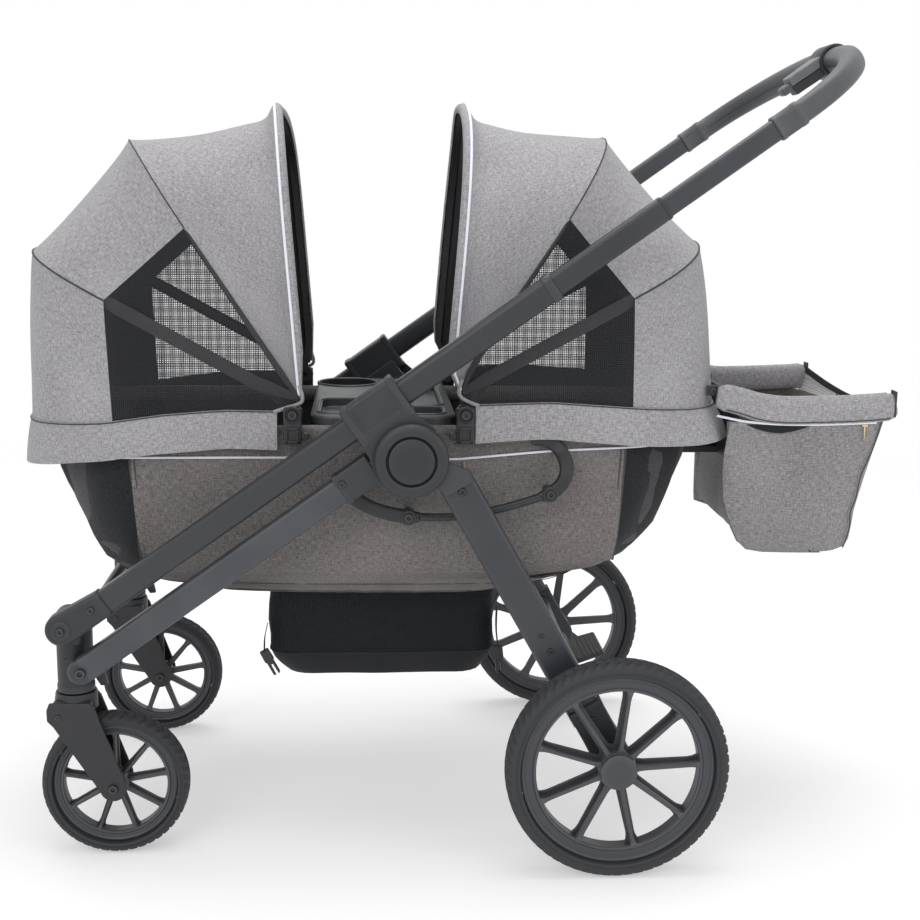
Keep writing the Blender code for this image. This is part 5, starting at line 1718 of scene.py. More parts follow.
def ripple(point: Vector, scale: Triple, seed: float = 0.0) -> float:
    """Smooth noise between about -0.5 and 0.5, stretched by a scale along each axis."""
    place = Vector((point.x * scale[0] + seed, point.y * scale[1] - seed, point.z * scale[2] + 2 * seed))
    return 0.5 * noise.noise(place)


def shell(
    outer: list[list[Vector]], inner: list[list[Vector]],
    zones: Callable[[int, int, bool], int] | None = None, flat_zone: int = -1
) -> Shape:
    """Closed sheet of cloth between two grids of points.

    Args:
        outer: Rows of points on the outside.
        inner: The matching rows inside.
        zones: Function of (row, column, whether outside) that gives a face's material index.
        flat_zone: Material index of the faces whose threads run along x and z.

    Returns:
        The shape.
    """
    made = Shape()
    bm, uv = made.bm, made.uv
    shift = Vector((HUB_X, 0.0, 0.0))
    grids = [[[bm.verts.new(p + shift) for p in row] for row in grid] for grid in (outer, inner)]
    rows, columns = len(outer), len(outer[0])
    middle = outer[rows // 2]
    across = [0.0]
    for first, second in zip(middle, middle[1:]):
        across.append(across[-1] + (second - first).length)
    down = [0.0]
    probe = columns // 2
    for first, second in zip(outer, outer[1:]):
        down.append(down[-1] + (second[probe] - first[probe]).length)
    for side, grid in enumerate(grids):
        for r in range(rows - 1):
            for c in range(columns - 1):
                corners = ((r, c), (r, c + 1), (r + 1, c + 1), (r + 1, c))
                corners = corners if side == 0 else corners[::-1]
                face = bm.faces.new([grid[i][j] for i, j in corners])
                if zones:
                    face.material_index = zones(r, c, side == 0)
                for loop, (i, j) in zip(face.loops, corners):
                    plain = zones is not None and face.material_index == flat_zone
                    loop[uv].uv = (loop.vert.co.x, loop.vert.co.z) if plain else (across[j], down[i])
    rim = [(0, c) for c in range(columns)] + [(r, columns - 1) for r in range(1, rows)]
    rim += [(rows - 1, c) for c in range(columns - 2, -1, -1)] + [(r, 0) for r in range(rows - 2, 0, -1)]
    near, far = grids
    for (a, b), (c, d) in zip(rim, rim[1:] + rim[:1]):
        face = bm.faces.new((near[a][b], far[a][b], far[c][d], near[c][d]))
        for loop, (i, j) in zip(face.loops, ((a, b), (a, b), (c, d), (c, d))):
            loop[uv].uv = (across[j], down[i])
    return made


# Half width of the canopies, the angles of their bows' planes and how far each bow's lugs lie inside.
CANOPY_HALF_WIDTH = 0.197
FRONT_BOW_ANGLE = 94.6
MIDDLE_BOW_ANGLE = 123.0
REAR_BOW_ANGLE = 151.3
FOOT_ANGLE = 181.0
LUG_INSETS = {"front_bow": 0.0088, "middle_bow": 0.0060, "rear_bow": 0.0032}


@dataclass(frozen=True)
class BowCurve:
    """Line of the cloth over one bow, in the bow's own plane."""

    name: str
    angle: float
    radius: float
    shoulder: float
    fullness: float
    side_shift: float
    top_shift: float
    window: float = 0.27
    half_width: float = CANOPY_HALF_WIDTH


CANOPY_CURVES = {
    End.FRONT: (
        BowCurve("front_bow", FRONT_BOW_ANGLE, 0.3848, 0.1824, 2.91, -0.0096, -0.0032),
        BowCurve("middle_bow", MIDDLE_BOW_ANGLE, 0.3969, 0.2592, 2.83, -0.0160, -0.0007, 0.2735),
        BowCurve("rear_bow", REAR_BOW_ANGLE, 0.3885, 0.2655, 2.93, -0.0125, -0.0100, 0.2690),
    ),
    End.REAR: (
        BowCurve("front_bow", FRONT_BOW_ANGLE, 0.3871, 0.1700, 2.40, -0.0184, -0.0250),
        BowCurve("middle_bow", MIDDLE_BOW_ANGLE, 0.3951, 0.2088, 2.39, -0.0255, -0.0270, 0.2740),
        BowCurve("rear_bow", REAR_BOW_ANGLE, 0.3818, 0.2431, 2.50, -0.0262, -0.0330, 0.2625),
    ),
}
# Where the cloth is gathered beside each pivot.
GATHERS = {End.FRONT: (-0.1374, 0.5876), End.REAR: (0.0650, 0.5955)}
# Start of the foot seam, x of its corner, and its heights by share of its half length.
FEET = {
    End.FRONT: (
        -0.1647, 0.570, -0.3664,
        ((0.0, 0.570), (0.14, 0.5714), (0.30, 0.5653), (0.45, 0.5553), (0.7, 0.549), (1.0, 0.545))
    ),
    End.REAR: (
        0.0824, 0.5784, 0.2820, ((0.0, 0.5784), (0.2, 0.5817), (0.45, 0.5740), (0.6, 0.571), (1.0, 0.566))
    ),
}
# The bows' pivots, by reach from the tub's middle and height.
PIVOT_REACH = 0.1075
PIVOT_Z = 0.568
# Columns of the cloth over a window, and from there to the middle of the top.
WINDOW_COLUMNS = 10
CLOTH_COLUMNS = 20


def canopy_point(end: End, angle: float, out: float, y: float, shift: float) -> Vector:
    """Place on a canopy from its bow angle in degrees, reach from the pivot and shift off the bow.

    Args:
        end: End of the tub.
        angle: Angle of the bow's plane.
        out: Reach from the pivot in it.
        y: The y of the place.
        shift: Distance off the plane.

    Returns:
        The place.
    """
    turn = math.radians(angle)
    away = -math.cos(turn) * out + math.sin(turn) * shift
    up = math.sin(turn) * out + math.cos(turn) * shift
    return Vector((TUB_X + end.value * (PIVOT_REACH + away), y, PIVOT_Z + up))


@dataclass
class Canopy:
    """One canopy: three sheets over three bows, with window nets, an apron and its trim."""

    end: End
    cloth: float = 0.0025
    net: float = 0.00025
    hollow: float = 0.0055
    bulge: float = 0.004
    apron_inset: float = 0.0022
    piping_radius: float = 0.0017

    def build(self) -> None:
        """Builds the whole canopy."""
        self.front, self.middle, self.rear = [self.columns(curve) for curve in CANOPY_CURVES[self.end]]
        self.foot = self.foot_columns()
        self.front_panel()
        self.window_panel(
            "middle_panel", self.middle, self.rear, MIDDLE_BOW_ANGLE, REAR_BOW_ANGLE, self.hollow
        )
        self.window_panel("rear_panel", self.rear, self.foot, REAR_BOW_ANGLE, FOOT_ANGLE, -self.bulge)
        self.apron()
        for columns, curve in zip((self.front, self.middle, self.rear), CANOPY_CURVES[self.end]):
            self.bow(curve)
            self.trim(columns, curve)
        self.front_edge()

    def body(self, bow: str) -> str:
        """Name of the body of one bow."""
        return f"{self.end.word}_{bow}"

    def half_path(self, curve: BowCurve, offset: float = 0.0, gather: bool = True) -> list[Vector]:
        """One side's line over a bow from the gather at the pivot to the middle of the top.

        Args:
            curve: The bow's line.
            offset: Distance that the line lies outside the cloth's.
            gather: Whether the line starts at the gather, or else at the bow's lug.

        Returns:
            Points from the near side's gather to the middle of the top.
        """
        half = curve.half_width
        flat = [(0.05 + (curve.shoulder - 0.05) * i / 10, half) for i in range(11)]
        steps = 40
        for i in range(1, steps + 1):
            turn = math.pi / 2 * i / steps
            out = curve.shoulder + (curve.radius - curve.shoulder) * math.sin(turn) ** (2 / curve.fullness)
            flat.append((out, half * max(0.0, math.cos(turn)) ** (2 / curve.fullness)))
        path = []
        for i, (out, y) in enumerate(flat):
            before, after = flat[max(0, i - 1)], flat[min(len(flat) - 1, i + 1)]
            run = Vector((after[0] - before[0], after[1] - before[1])).normalized()
            share = smooth_step(1 - y / half)
            shift = curve.side_shift + (curve.top_shift - curve.side_shift) * share
            path.append(
                canopy_point(self.end, curve.angle, out - run.y * offset, -(y + run.x * offset), shift)
            )
        x, z = GATHERS[self.end]
        start = Vector((x, -half - offset, z)) if gather else canopy_point(
            self.end, curve.angle, 0.006, -half - offset, 0.0
        )
        return [start] + path

    def columns(self, curve: BowCurve) -> list[Vector]:
        """Points across a bow from the near side to the far one, with even steps in window and cloth.

        Args:
            curve: The bow's line.

        Returns:
            Points of the window columns, the cloth columns and their mirror image.
        """
        path = self.half_path(curve)
        length = 0.0
        for first, second in zip(path, path[1:]):
            pivot = canopy_point(self.end, curve.angle, 0.0, 0.0, 0.0)
            reach = math.hypot(second.x - pivot.x, second.z - pivot.z)
            if reach > curve.window:
                break
            length += (second - first).length
        half = spread(path, WINDOW_COLUMNS, 0.0, length)
        half += spread(path, CLOTH_COLUMNS, length)[1:]
        return mirrored(half)

    def foot_columns(self) -> list[Vector]:
        """Points along the seam on top of the apron, matching the bows' points.

        Returns:
            The points along the seam.
        """
        x0, z0, corner_x, heights = FEET[self.end]
        pivot_x = TUB_X + self.end.value * PIVOT_REACH
        reach, start, fullness = (0.349 if self.end is End.FRONT else 0.346), 0.205, 2.7
        path = [Vector((x0, -CANOPY_HALF_WIDTH, 0.0)), Vector((corner_x, -CANOPY_HALF_WIDTH, 0.0))]
        steps = 40
        for i in range(0, steps + 1):
            turn = math.pi / 2 * i / steps
            out = start + (reach - start) * math.sin(turn) ** (2 / fullness)
            if out > abs(corner_x - pivot_x) + 0.002:
                y = -CANOPY_HALF_WIDTH * max(0.0, math.cos(turn)) ** (2 / fullness)
                path.append(Vector((pivot_x + self.end.value * out, y, 0.0)))
        window = (path[1] - path[0]).length
        half = spread(path, WINDOW_COLUMNS, 0.0, window) + spread(path, CLOTH_COLUMNS, window)[1:]
        steps = [(b - a).length for a, b in zip(half, half[1:])]
        for i, point in enumerate(half):
            point.z = lerped(heights, sum(steps[:i]) / sum(steps))
        return mirrored(half)

    def normals(self, first: list[Vector], second: list[Vector]) -> list[Vector]:
        """Outward directions of the cloth halfway between two lines.

        Args:
            first: Points on the first line.
            second: Points on the second.

        Returns:
            One direction for each pair of points.
        """
        result = []
        middle = Vector((TUB_X + self.end.value * (PIVOT_REACH + 0.12), 0.0, 0.66))
        for i, (a, b) in enumerate(zip(first, second)):
            low, high = max(0, i - 1), min(len(first) - 1, i + 1)
            along = (first[high] - first[low]) + (second[high] - second[low])
            across = b - a if (b - a).length > 0.004 else second[high] - first[high]
            result.append(turned_outward(along.cross(across).normalized(), (a + b) / 2 - middle))
        return result

    def grids(
        self, first: list[Vector], second: list[Vector], stations: list[float], sag: Callable,
        thick: Callable
    ) -> tuple:
        """Outer and inner grids between two bows.

        Args:
            first: Points on the first bow.
            second: Points on the second.
            stations: Shares of the way between them, in order.
            sag: Function of (share, column, point) that gives how far the cloth lies inward.
            thick: Function of the column that gives the cloth's thickness.

        Returns:
            The outer and the inner grid.
        """
        normals = self.normals(first, second)
        outer, inner = [], []
        for share in stations:
            row, lining = [], []
            for i, (a, b, normal) in enumerate(zip(first, second, normals)):
                point = a.lerp(b, share)
                point = point - normal * sag(share, i, point)
                row.append(point)
                lining.append(point - normal * thick(i))
            outer.append(row)
            inner.append(lining)
        return outer, inner

    def fade(self, column: int) -> float:
        """How much of the top a column is: 0 on the sides and 1 along the middle."""
        from_edge = min(column, 2 * (WINDOW_COLUMNS + CLOTH_COLUMNS) - column) - WINDOW_COLUMNS + 2
        return smooth_step(from_edge / (CLOTH_COLUMNS * 0.55))

    def blend(self, piece: bpy.types.Object, first: str, second: str, low: float, high: float) -> None:
        """Bakes a sheet's placement into its mesh; the sheet is not shared between the bows' bodies.

        Args:
            piece: The sheet.
            first: Body at the edge with the greater angle; not used.
            second: Body at the other edge; not used.
            low: Bow angle of the front edge; not used.
            high: Bow angle of the rear edge; not used.
        """
        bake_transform(piece)

    def front_panel(self) -> None:
        """Front sheet: drawn in between the bows, then a channel and the padded edge."""
        top = [
            (0, 0), (0.1, 0.005), (0.29, 0.0115), (0.43, 0.0155), (0.57, 0.0182), (0.745, 0.0186),
            (0.86, 0.0185)
        ]
        top += [(0.895, 0.0172), (0.93, 0.0140), (0.965, 0.0062), (0.985, 0.0018), (1.0, 0.0)]
        side = [
            (0, 0), (0.3, 0.003), (0.6, 0.0045), (0.80, 0.0050), (0.86, 0.0062), (0.90, 0.0036),
            (0.95, 0.0012), (1, 0.0)
        ]
        stations = [
            0, 0.03, 0.08, 0.15, 0.23, 0.31, 0.39, 0.47, 0.55, 0.63, 0.70, 0.76, 0.80, 0.83, 0.85, 0.862
        ]
        stations += [0.874, 0.89, 0.91, 0.93, 0.95, 0.965, 0.98, 0.99, 1.0]

        def sag(share: float, column: int, point: Vector) -> float:
            """Sag of the front sheet, with soft wrinkles that die out at its edges.

            Args:
                share: Share of the way across the sheet.
                column: Column of the grid.
                point: Place of the point.

            Returns:
                Distance inward.
            """
            part = self.fade(column)
            depth = lerped(top, share) * part + lerped(side, share) * (1 - part)
            near_edge = min(1.0, 4 * share) * min(1.0, 6 * (1 - share))
            open_part = min(1.0, column / 6, (2 * (WINDOW_COLUMNS + CLOTH_COLUMNS) - column) / 6)
            return open_part * (depth + near_edge * 0.0042 * ripple(point, (14, 9, 7), 3.0))

        grids = self.grids(self.middle, self.front, stations, sag, lambda column: self.cloth)
        shape = shell(*grids, lambda row, column, outside: Zone.OUTSIDE if outside else Zone.LINING)
        name = f"canopy_{self.end.word}_front"
        piece = shape.done(name + "_sheet", [HEATHER, LINING], None, (name + "_panel",), angle=60)
        self.blend(
            piece, self.body("middle_bow"), self.body("front_bow"), FRONT_BOW_ANGLE, MIDDLE_BOW_ANGLE
        )

    def window_panel(
        self, panel: str, first: list[Vector], second: list[Vector], low: float, high: float, hollow: float
    ) -> None:
        """Middle or rear sheet, whose sides are window net.

        Args:
            panel: The panel's name.
            first: Points on its front edge.
            second: Points on its rear edge.
            low: Bow angle of the front edge.
            high: Bow angle of the rear edge.
            hollow: How far the cloth is drawn in, or bulges where it is negative.
        """
        stations = [0, 0.02, 0.06, 0.13, 0.22, 0.32, 0.43, 0.54, 0.65, 0.76, 0.86, 0.93, 0.97, 1.0]
        last = 2 * (WINDOW_COLUMNS + CLOTH_COLUMNS)

        def is_net(column: int) -> bool:
            """Whether a strip of faces is window net."""
            return column < WINDOW_COLUMNS or column >= last - WINDOW_COLUMNS

        def sag(share: float, column: int, point: Vector) -> float:
            """Sag of the sheet between its bows, flatter where it is net.

            Args:
                share: Share of the way across the sheet.
                column: Column of the grid.
                point: Place of the point.

            Returns:
                Distance inward.
            """
            curve = (math.sin(math.pi * share)) ** 0.7 if hollow > 0 else math.sin(math.pi * share ** 0.7)
            part = 0.15 + 0.85 * self.fade(column)
            edge = min(1.0, 5 * share) * min(1.0, 5 * (1 - share))
            crease = 0.0035 * ripple(point, (11, 11, 6), 9.0)
            if is_net(column):
                crease = 0.0008 * ripple(point, (20, 5, 20), 1.0)
            return hollow * curve * part + edge * crease

        def thick(column: int) -> float:
            """Net or lined cloth."""
            return self.net if column < WINDOW_COLUMNS or column > last - WINDOW_COLUMNS else self.cloth

        grids = self.grids(first, second, stations, sag, thick)

        def zone(row: int, column: int, outside: bool) -> Zone:
            """Net in the windows, cloth or its lining elsewhere."""
            return Zone.NET if is_net(column) else Zone.OUTSIDE if outside else Zone.LINING

        shape = shell(*grids, zone, Zone.NET)
        name = f"canopy_{self.end.word}_{panel}"
        piece = shape.done(name.replace("panel", "sheet"), [HEATHER, LINING, NET], None, (name,), angle=60)
        bodies = ("rear_bow", "middle_bow") if panel == "middle_panel" else (None, "rear_bow")
        names = [self.body(bow) if bow else "frame" for bow in bodies]
        self.blend(piece, *names, low, high)

    def apron(self) -> None:
        """Apron below the seam, with a soft wave along its hem and a stitch line over it."""
        drops = [(0.0, 0.047), (0.45, 0.0465), (0.7, 0.056), (1.0, 0.062)]
        if self.end is End.REAR:
            drops = [(0.0, 0.047), (0.35, 0.0455), (0.6, 0.0430), (1.0, 0.040)]
        flare = 0.006 if self.end is End.FRONT else 0.019
        count = len(self.foot)
        half = count // 2
        outer, inner = [], []
        normals = []
        for i, point in enumerate(self.foot):
            run = run_at(self.foot, i)
            away = point - Vector((TUB_X + self.end.value * 0.2, 0, point.z))
            normals.append(turned_outward(Vector((run.y, -run.x, 0.0)).normalized(), away))
        for down in (-0.03, 0.0, 0.05, 0.15, 0.3, 0.5, 0.7, 0.82, 0.90, 0.96, 1.0):
            row, lining = [], []
            for i, (point, normal) in enumerate(zip(self.foot, normals)):
                share = 1 - abs(i - half) / half
                wave = ripple(point, (9, 9, 0), 5.0) * 0.012 * max(0.0, down)
                height = lerped(drops, share) * down + wave * 0.35
                swing = (0.0045 + flare * smooth_step(share * 1.6 - 0.5)) * max(0.0, down)
                out = 0.0016 + swing + wave + 0.0012 * math.sin(math.pi * min(1.0, max(0.0, down)))
                place = point + normal * out - Vector((0.0, 0.0, height))
                row.append(place)
                lining.append(place - normal * self.apron_inset)
            outer.append(row)
            inner.append(lining)
        shape = shell(outer, inner, lambda row, column, outside: Zone.OUTSIDE if outside else Zone.LINING)
        name = f"canopy_{self.end.word}_apron"
        piece = shape.done(name, [HEATHER, LINING], angle=60)
        seam = Shape().cord([p + n * 0.0004 for p, n in zip(outer[1], normals)], 0.0008, 6)
        seam.done(name + "_seam", TAPE)

    def bow(self, curve: BowCurve) -> None:
        """Flat strip of the bow, with a lug round the pivot at each end.

        Args:
            curve: The bow's line.
        """
        inset = LUG_INSETS[curve.name]
        path = mirrored(self.half_path(curve, -inset, False))
        turn = math.radians(curve.angle)
        flat = Vector((self.end.value * math.sin(turn), 0.0, math.cos(turn)))
        rings = []
        for i, point in enumerate(path):
            run = run_at(path, i).normalized()
            normal = run.cross(flat).normalized()
            ring = [
                point + normal * a * 0.001 + flat * b * 0.004
                for a, b in ((1, 1), (1, -1), (-1, -1), (-1, 1))
            ]
            rings.append([tuple(p) for p in ring])
        shape = Shape().skin(rings)
        center = (TUB_X + self.end.value * PIVOT_REACH, PIVOT_Z)
        for side in (-1, 1):
            y = side * (curve.half_width - inset)
            profile = [
                (0.0036, y - 0.0011), (0.0115, y - 0.0011), (0.012, y - 0.0006), (0.012, y + 0.0006),
                (0.0115, y + 0.0011)
            ]
            shape.turned(center, profile + [(0.0036, y + 0.0011)], sides=28, closed=True)
        name = f"canopy_{self.end.word}_{curve.name}"
        shape.done(name + "_strip", BLACK, self.body(curve.name), (name,))

    def trim(self, columns: list[Vector], curve: BowCurve) -> None:
        """Strap over the bow beside the window and the seam cord over the top.

        Args:
            columns: Points of the cloth across the bow.
            curve: The bow's line.
        """
        if curve.name == "front_bow":
            return
        wide, slimming = (0.0085, 0.0) if curve.name == "rear_bow" else (0.0044, 0.016)
        name = f"canopy_{self.end.word}_{curve.name}"
        last = len(columns) - 1
        straps = Shape()
        section = [
            (wide * math.cos(a), 0.0017 * math.sin(a)) for a in (2 * math.pi * i / 14 for i in range(14))
        ]
        for flip in (False, True):
            line = columns[: WINDOW_COLUMNS + 1] if not flip else columns[last - WINDOW_COLUMNS :][::-1]
            y = 1.0 if flip else -1.0
            path = spread(line, 40)
            tucks = [y * (0.0012 - 0.0032 * smooth_step((i - 36) / 4)) for i in range(len(path))]
            path = [p + Vector((0.0, tuck, 0.0)) for p, tuck in zip(path, tucks)]
            straps.sweep(
                path, section, Vector((0.0, y, 0.0)), lambda i: (min(1.0, 0.5 + i / 12) - slimming * i, 1.0)
            )
        straps.done(name + "_strap", DENSE_TAPE, self.body(curve.name))
        seam = columns[WINDOW_COLUMNS : last - WINDOW_COLUMNS + 1]
        radius = 0.0013 if curve.name == "rear_bow" else 0.0009
        Shape().cord(spread(seam, 120), radius, 6).done(name + "_seam", TAPE, self.body(curve.name))

    def front_edge(self) -> None:
        """White piping on the padded front edge and the grey facing in front of it."""
        curve = CANOPY_CURVES[self.end][0]
        name = f"canopy_{self.end.word}_front"
        turn = math.radians(curve.angle)
        toward = Vector((-self.end.value * math.sin(turn), 0.0, -math.cos(turn)))
        steps = 160
        path = spread(self.front, steps)
        normals = []
        for i, point in enumerate(path):
            run = run_at(path, i).normalized()
            away = point - Vector((point.x, 0.0, 0.72))
            normals.append(turned_outward(run.cross(toward).normalized(), away))
        cord = [p + n * 0.0008 for p, n in zip(path, normals)]
        Shape().cord(cord, self.piping_radius, 8).done(name + "_piping", PIPING, self.body("front_bow"))
        x, z = GATHERS[self.end]
        corner_x, corner_z = FEET[self.end][:2]
        toe = self.end.value * 0.0042
        for side in Side:
            tail = [(path[0].x, z + 0.016), (x - toe, z + 0.002), (x - toe * 0.2, z - 0.0065)]
            tail += [(corner_x - toe * 2, corner_z + 0.0045), (corner_x + toe, corner_z)]
            tail = smooth_path([(a, side.value * 0.1985, b) for a, b in tail], 6)
            Shape().cord(tail, 0.0024, 8).done(f"canopy_{self.end.word}_tail_{side.word}", HEATHER)
        profile = [
            (0.000, -0.0002), (0.003, 0.0006), (0.0065, -0.0008), (0.0092, -0.0040), (0.0098, -0.0080),
            (0.0085, -0.0112)
        ]
        outer, inner = [], []
        for forward, out in profile:
            row, lining = [], []
            for i, (point, normal) in enumerate(zip(path, normals)):
                narrow = min(1.0, 0.35 + min(i, steps - i) / 14)
                place = point + toward * forward * narrow + normal * out * narrow
                row.append(place)
                lining.append(place - toward * 0.0012 * narrow - normal * 0.0014)
            outer.append(row)
            inner.append(lining)
        shape = shell(outer, inner)
        piece = shape.done(name + "_facing", [HEATHER], self.body("front_bow"), angle=70)


@dataclass
class Tub:
    """The tub's cloth with its seams, piping, rim, brackets, side guards and zip."""

    half_columns: tuple[int, int, int] = (22, 12, 8)
    wall: float = 0.0035
    middle_x: float = -0.037
    end_width: float = 0.072
    roll: Pair = (0.0066, 0.0115)
    guard_y: float = 0.2185
    guard_bolts: tuple[Pair, Pair] = ((-0.0017, 0.441), (0.1756, 0.470))

    # Height, low x, high x, half width and corner radius.
    LEVELS = (
        (0.3368, -0.215, 0.085, 0.176, 0.050),
        (0.3385, -0.262, 0.125, 0.1845, 0.060),
        (0.3440, -0.316, 0.180, 0.1868, 0.075),
        (0.3540, -0.376, 0.252, 0.187, 0.090),
        (0.3700, -0.402, 0.300, 0.187, 0.095),
        (0.4070, -0.424, 0.334, 0.187, 0.100),
        (0.4650, -0.447, 0.360, 0.187, 0.100),
        (0.5020, -0.459, 0.374, 0.187, 0.100),
        (0.5300, -0.466, 0.383, 0.187, 0.105),
        (0.5460, -0.467, 0.384, 0.187, 0.105),
    )
    SEAMS = {
        End.FRONT: ((0.355, -0.335), (0.393, -0.340), (0.508, -0.349)),
        End.REAR: ((0.376, 0.2676), (0.52, 0.2757))
    }

    def build(self) -> None:
        """Builds the tub."""
        self.cloth()
        self.rim()
        self.brackets()
        for side in Side:
            self.guard(side)
            self.piping(side)

    def level(self, z: float) -> list[float]:
        """Plan sizes of the tub at a height: low x, high x, half width and corner radius."""
        return [lerped([(row[0], row[i]) for row in self.LEVELS], z) for i in (1, 2, 3, 4)]

    def quarter(self, z: float, end: End, inset: float) -> list[Vector]:
        """Near quarter of the outline at a height, from the side's middle to the end's middle.

        Args:
            z: The height.
            end: End of the tub.
            inset: Distance inside the outer cloth.

        Returns:
            Points, so many for the side, the corner and the end.
        """
        low, high, half, corner = self.level(z)
        reach = (low if end is End.FRONT else high) - end.value * inset
        half -= inset
        corner -= inset
        sign = end.value
        path = [Vector((self.middle_x, -half, z)), Vector((reach - sign * corner, -half, z))]
        for a, b in arc((0.0, 0.0), corner, 0, 90, 14)[1:]:
            path.append(Vector((reach - sign * corner + sign * b, -half + corner - a, z)))
        path.append(Vector((reach, 0.0, z)))
        seam = lerped([(h, x) for h, x in self.SEAMS[end]], z) - end.value * inset
        lengths = []
        total = 0.0
        for first, second in zip(path, path[1:]):
            total += (second - first).length
            if not lengths and sign * second.x >= sign * seam:
                gap = (second.x - seam) / (second.x - first.x)
                lengths.append(total - (second - first).length * gap)
        if not lengths:
            lengths.append(total * 0.5)
        lengths.append(total - self.end_width)
        marks = [0.0, lengths[0], max(lengths[1], lengths[0] + 0.03), total]
        points = [path[0]]
        for count, start, stop in zip(self.half_columns, marks, marks[1:]):
            points += spread(path, count, start, stop)[1:]
        return points

    def ring(self, z: float, inset: float) -> list[Vector]:
        """Whole outline at a height, from the near side's middle round the front end.

        Args:
            z: The height.
            inset: Distance inside the outer cloth.

        Returns:
            The points round the tub.
        """
        front, rear = self.quarter(z, End.FRONT, inset), self.quarter(z, End.REAR, inset)
        far_front = [Vector((p.x, -p.y, p.z)) for p in reversed(front[:-1])]
        far_rear = [Vector((p.x, -p.y, p.z)) for p in rear[1:]]
        return front + far_front + far_rear + list(reversed(rear[1:-1]))

    def zone(self, column: int) -> Zone:
        """Material of a strip of faces: grey panels, or net at the corners.

        Args:
            column: Column of faces round the tub.

        Returns:
            The zone.
        """
        side, corner, end = self.half_columns
        quarter = side + corner + end
        place = column % (2 * quarter)
        place = place if place < quarter else 2 * quarter - 1 - place
        return Zone.NET if side <= place < side + corner else Zone.OUTSIDE

    def sag(self, x: float, z: float) -> float:
        """How far the cloth hangs down at its foot, most along the middle."""
        return 0.0052 * max(0.0, 1 - ((x - 0.01) / 0.26) ** 2) * min(1.0, max(0.0, (0.365 - z) / 0.02))

    def crease(self, point: Vector, column: int, share: float) -> float:
        """How far the cloth stands out: long soft folds at the corners, faint ones on the panels.

        Args:
            point: Place of the point.
            column: Column of the grid.
            share: Share of the way up the wall.

        Returns:
            Distance outward.
        """
        edge = min(1.0, 5 * share, 5 * (1 - share))
        if self.zone(column) is Zone.NET:
            return edge * (0.026 * ripple(point, (24, 24, 5), 2.0) - 0.004)
        return edge * 0.006 * ripple(point, (6, 6, 9), 7.0)

    def cloth(self) -> None:
        """Outer and inner cloth with a closed floor, folds, and puckers along the hem."""
        heights = [
            0.3368, 0.3385, 0.341, 0.344, 0.349, 0.354, 0.361, 0.370, 0.382, 0.395, 0.407, 0.425, 0.445,
            0.465
        ]
        heights += [0.485, 0.502, 0.516, 0.530, 0.540, 0.546]
        rings = []
        for i, z in enumerate(heights):
            ring = []
            base = self.ring(z, 0.0)
            for column, point in enumerate(base):
                run = base[(column + 1) % len(base)] - base[column - 1]
                normal = Vector((-run.y, run.x, 0.0)).normalized()
                normal = turned_outward(normal, point - Vector((TUB_X, 0.0, z)))
                share = i / (len(heights) - 1)
                out = self.crease(point, column, share)
                if i < 6:
                    out += 0.0034 * ripple(point, (60, 60, 0), 4.0)
                ring.append(tuple(point + normal * out - Vector((0.0, 0.0, self.sag(point.x, z)))))
            rings.append(ring)
        for z, inset in (
            (0.546, self.wall), (0.50, self.wall), (0.44, self.wall), (0.39, self.wall), (0.36, self.wall),
            (0.3425, 0.006)
        ):
            rings.append([tuple(p) for p in self.ring(z, inset)])
        outside = len(heights) - 1
        hem_rows = sum(z < 0.353 for z in heights)

        def zone(row: int, column: int) -> Zone:
            """Lining inside, grey cloth along the hem, and panels and nets above it.

            Args:
                row: Row of the grid.
                column: Column of faces round the tub.

            Returns:
                The zone.
            """
            if row >= outside:
                return Zone.LINING
            return self.zone(column) if row >= hem_rows else Zone.OUTSIDE

        shape = Shape().skin(rings, zones=zone)
        # The tub's outside takes the darkened copy of the canopy cloth, which paints its shade.
        piece = shape.done(
            "tub_cloth", [TUB_SHADED_HEATHER, LINING, CORNER_NET], replaces=("tub_shell",), angle=50
        )
        for name, z, out, radius in (
            ("hem_stitch", 0.349, 0.0006, 0.0006), ("hem_edge", 0.3400, 0.0004, 0.0009)
        ):
            line = [p - Vector((0.0, 0.0, self.sag(p.x, z))) for p in self.ring(z, -out)]
            Shape().cord(line + line[:1], radius, 5).done("tub_" + name, THREAD)
        seams = Shape()
        for side in Side:
            for end in End:
                for inset in (0.0, 0.006):
                    path = []
                    for z in heights[3:-1]:
                        quarter = self.quarter(z, end, -0.0005)
                        point = quarter[self.half_columns[0]]
                        path.append(Vector((point.x - end.value * inset, side.value * abs(point.y), z)))
                    seams.cord(path, 0.0008 if inset else 0.0012, 5)
        seams.done("tub_seams", THREAD)

    def rim(self) -> None:
        """Padded cloth roll over the rim and the plastic adapters at the hubs."""
        path = self.ring(0.540, 0.003)
        rings = []
        count = len(path)
        for i, point in enumerate(path):
            run = (path[(i + 1) % count] - path[i - 1]).normalized()
            normal = turned_outward(Vector((-run.y, run.x, 0.0)), point - Vector((TUB_X, 0.0, point.z)))
            ring = []
            bulge = 1 + 0.12 * ripple(point, (30, 30, 0), 6.0)
            for a, b in arc((0.0, 0.0), 1.0, 0, 330, 11):
                lift = Vector((0.0, 0.0, b * self.roll[1] * bulge))
                ring.append(tuple(point + normal * a * self.roll[0] * bulge + lift))
            rings.append(ring)
        shape = Shape().skin(rings, closed=True)
        # The rim roll takes the same darkened copy of the canopy cloth, painted shade.
        piece = shape.done("tub_rim_roll", TUB_SHADED_HEATHER, replaces=("tub_rim",), angle=70)
        adapters = Shape()
        for side in (-1, 1):
            adapters.block((-0.015, side * 0.180, 0.530), (0.015, side * 0.2214, 0.5475), 0.002)
        adapters.done("hub_adapters", BLACK, flat=True)

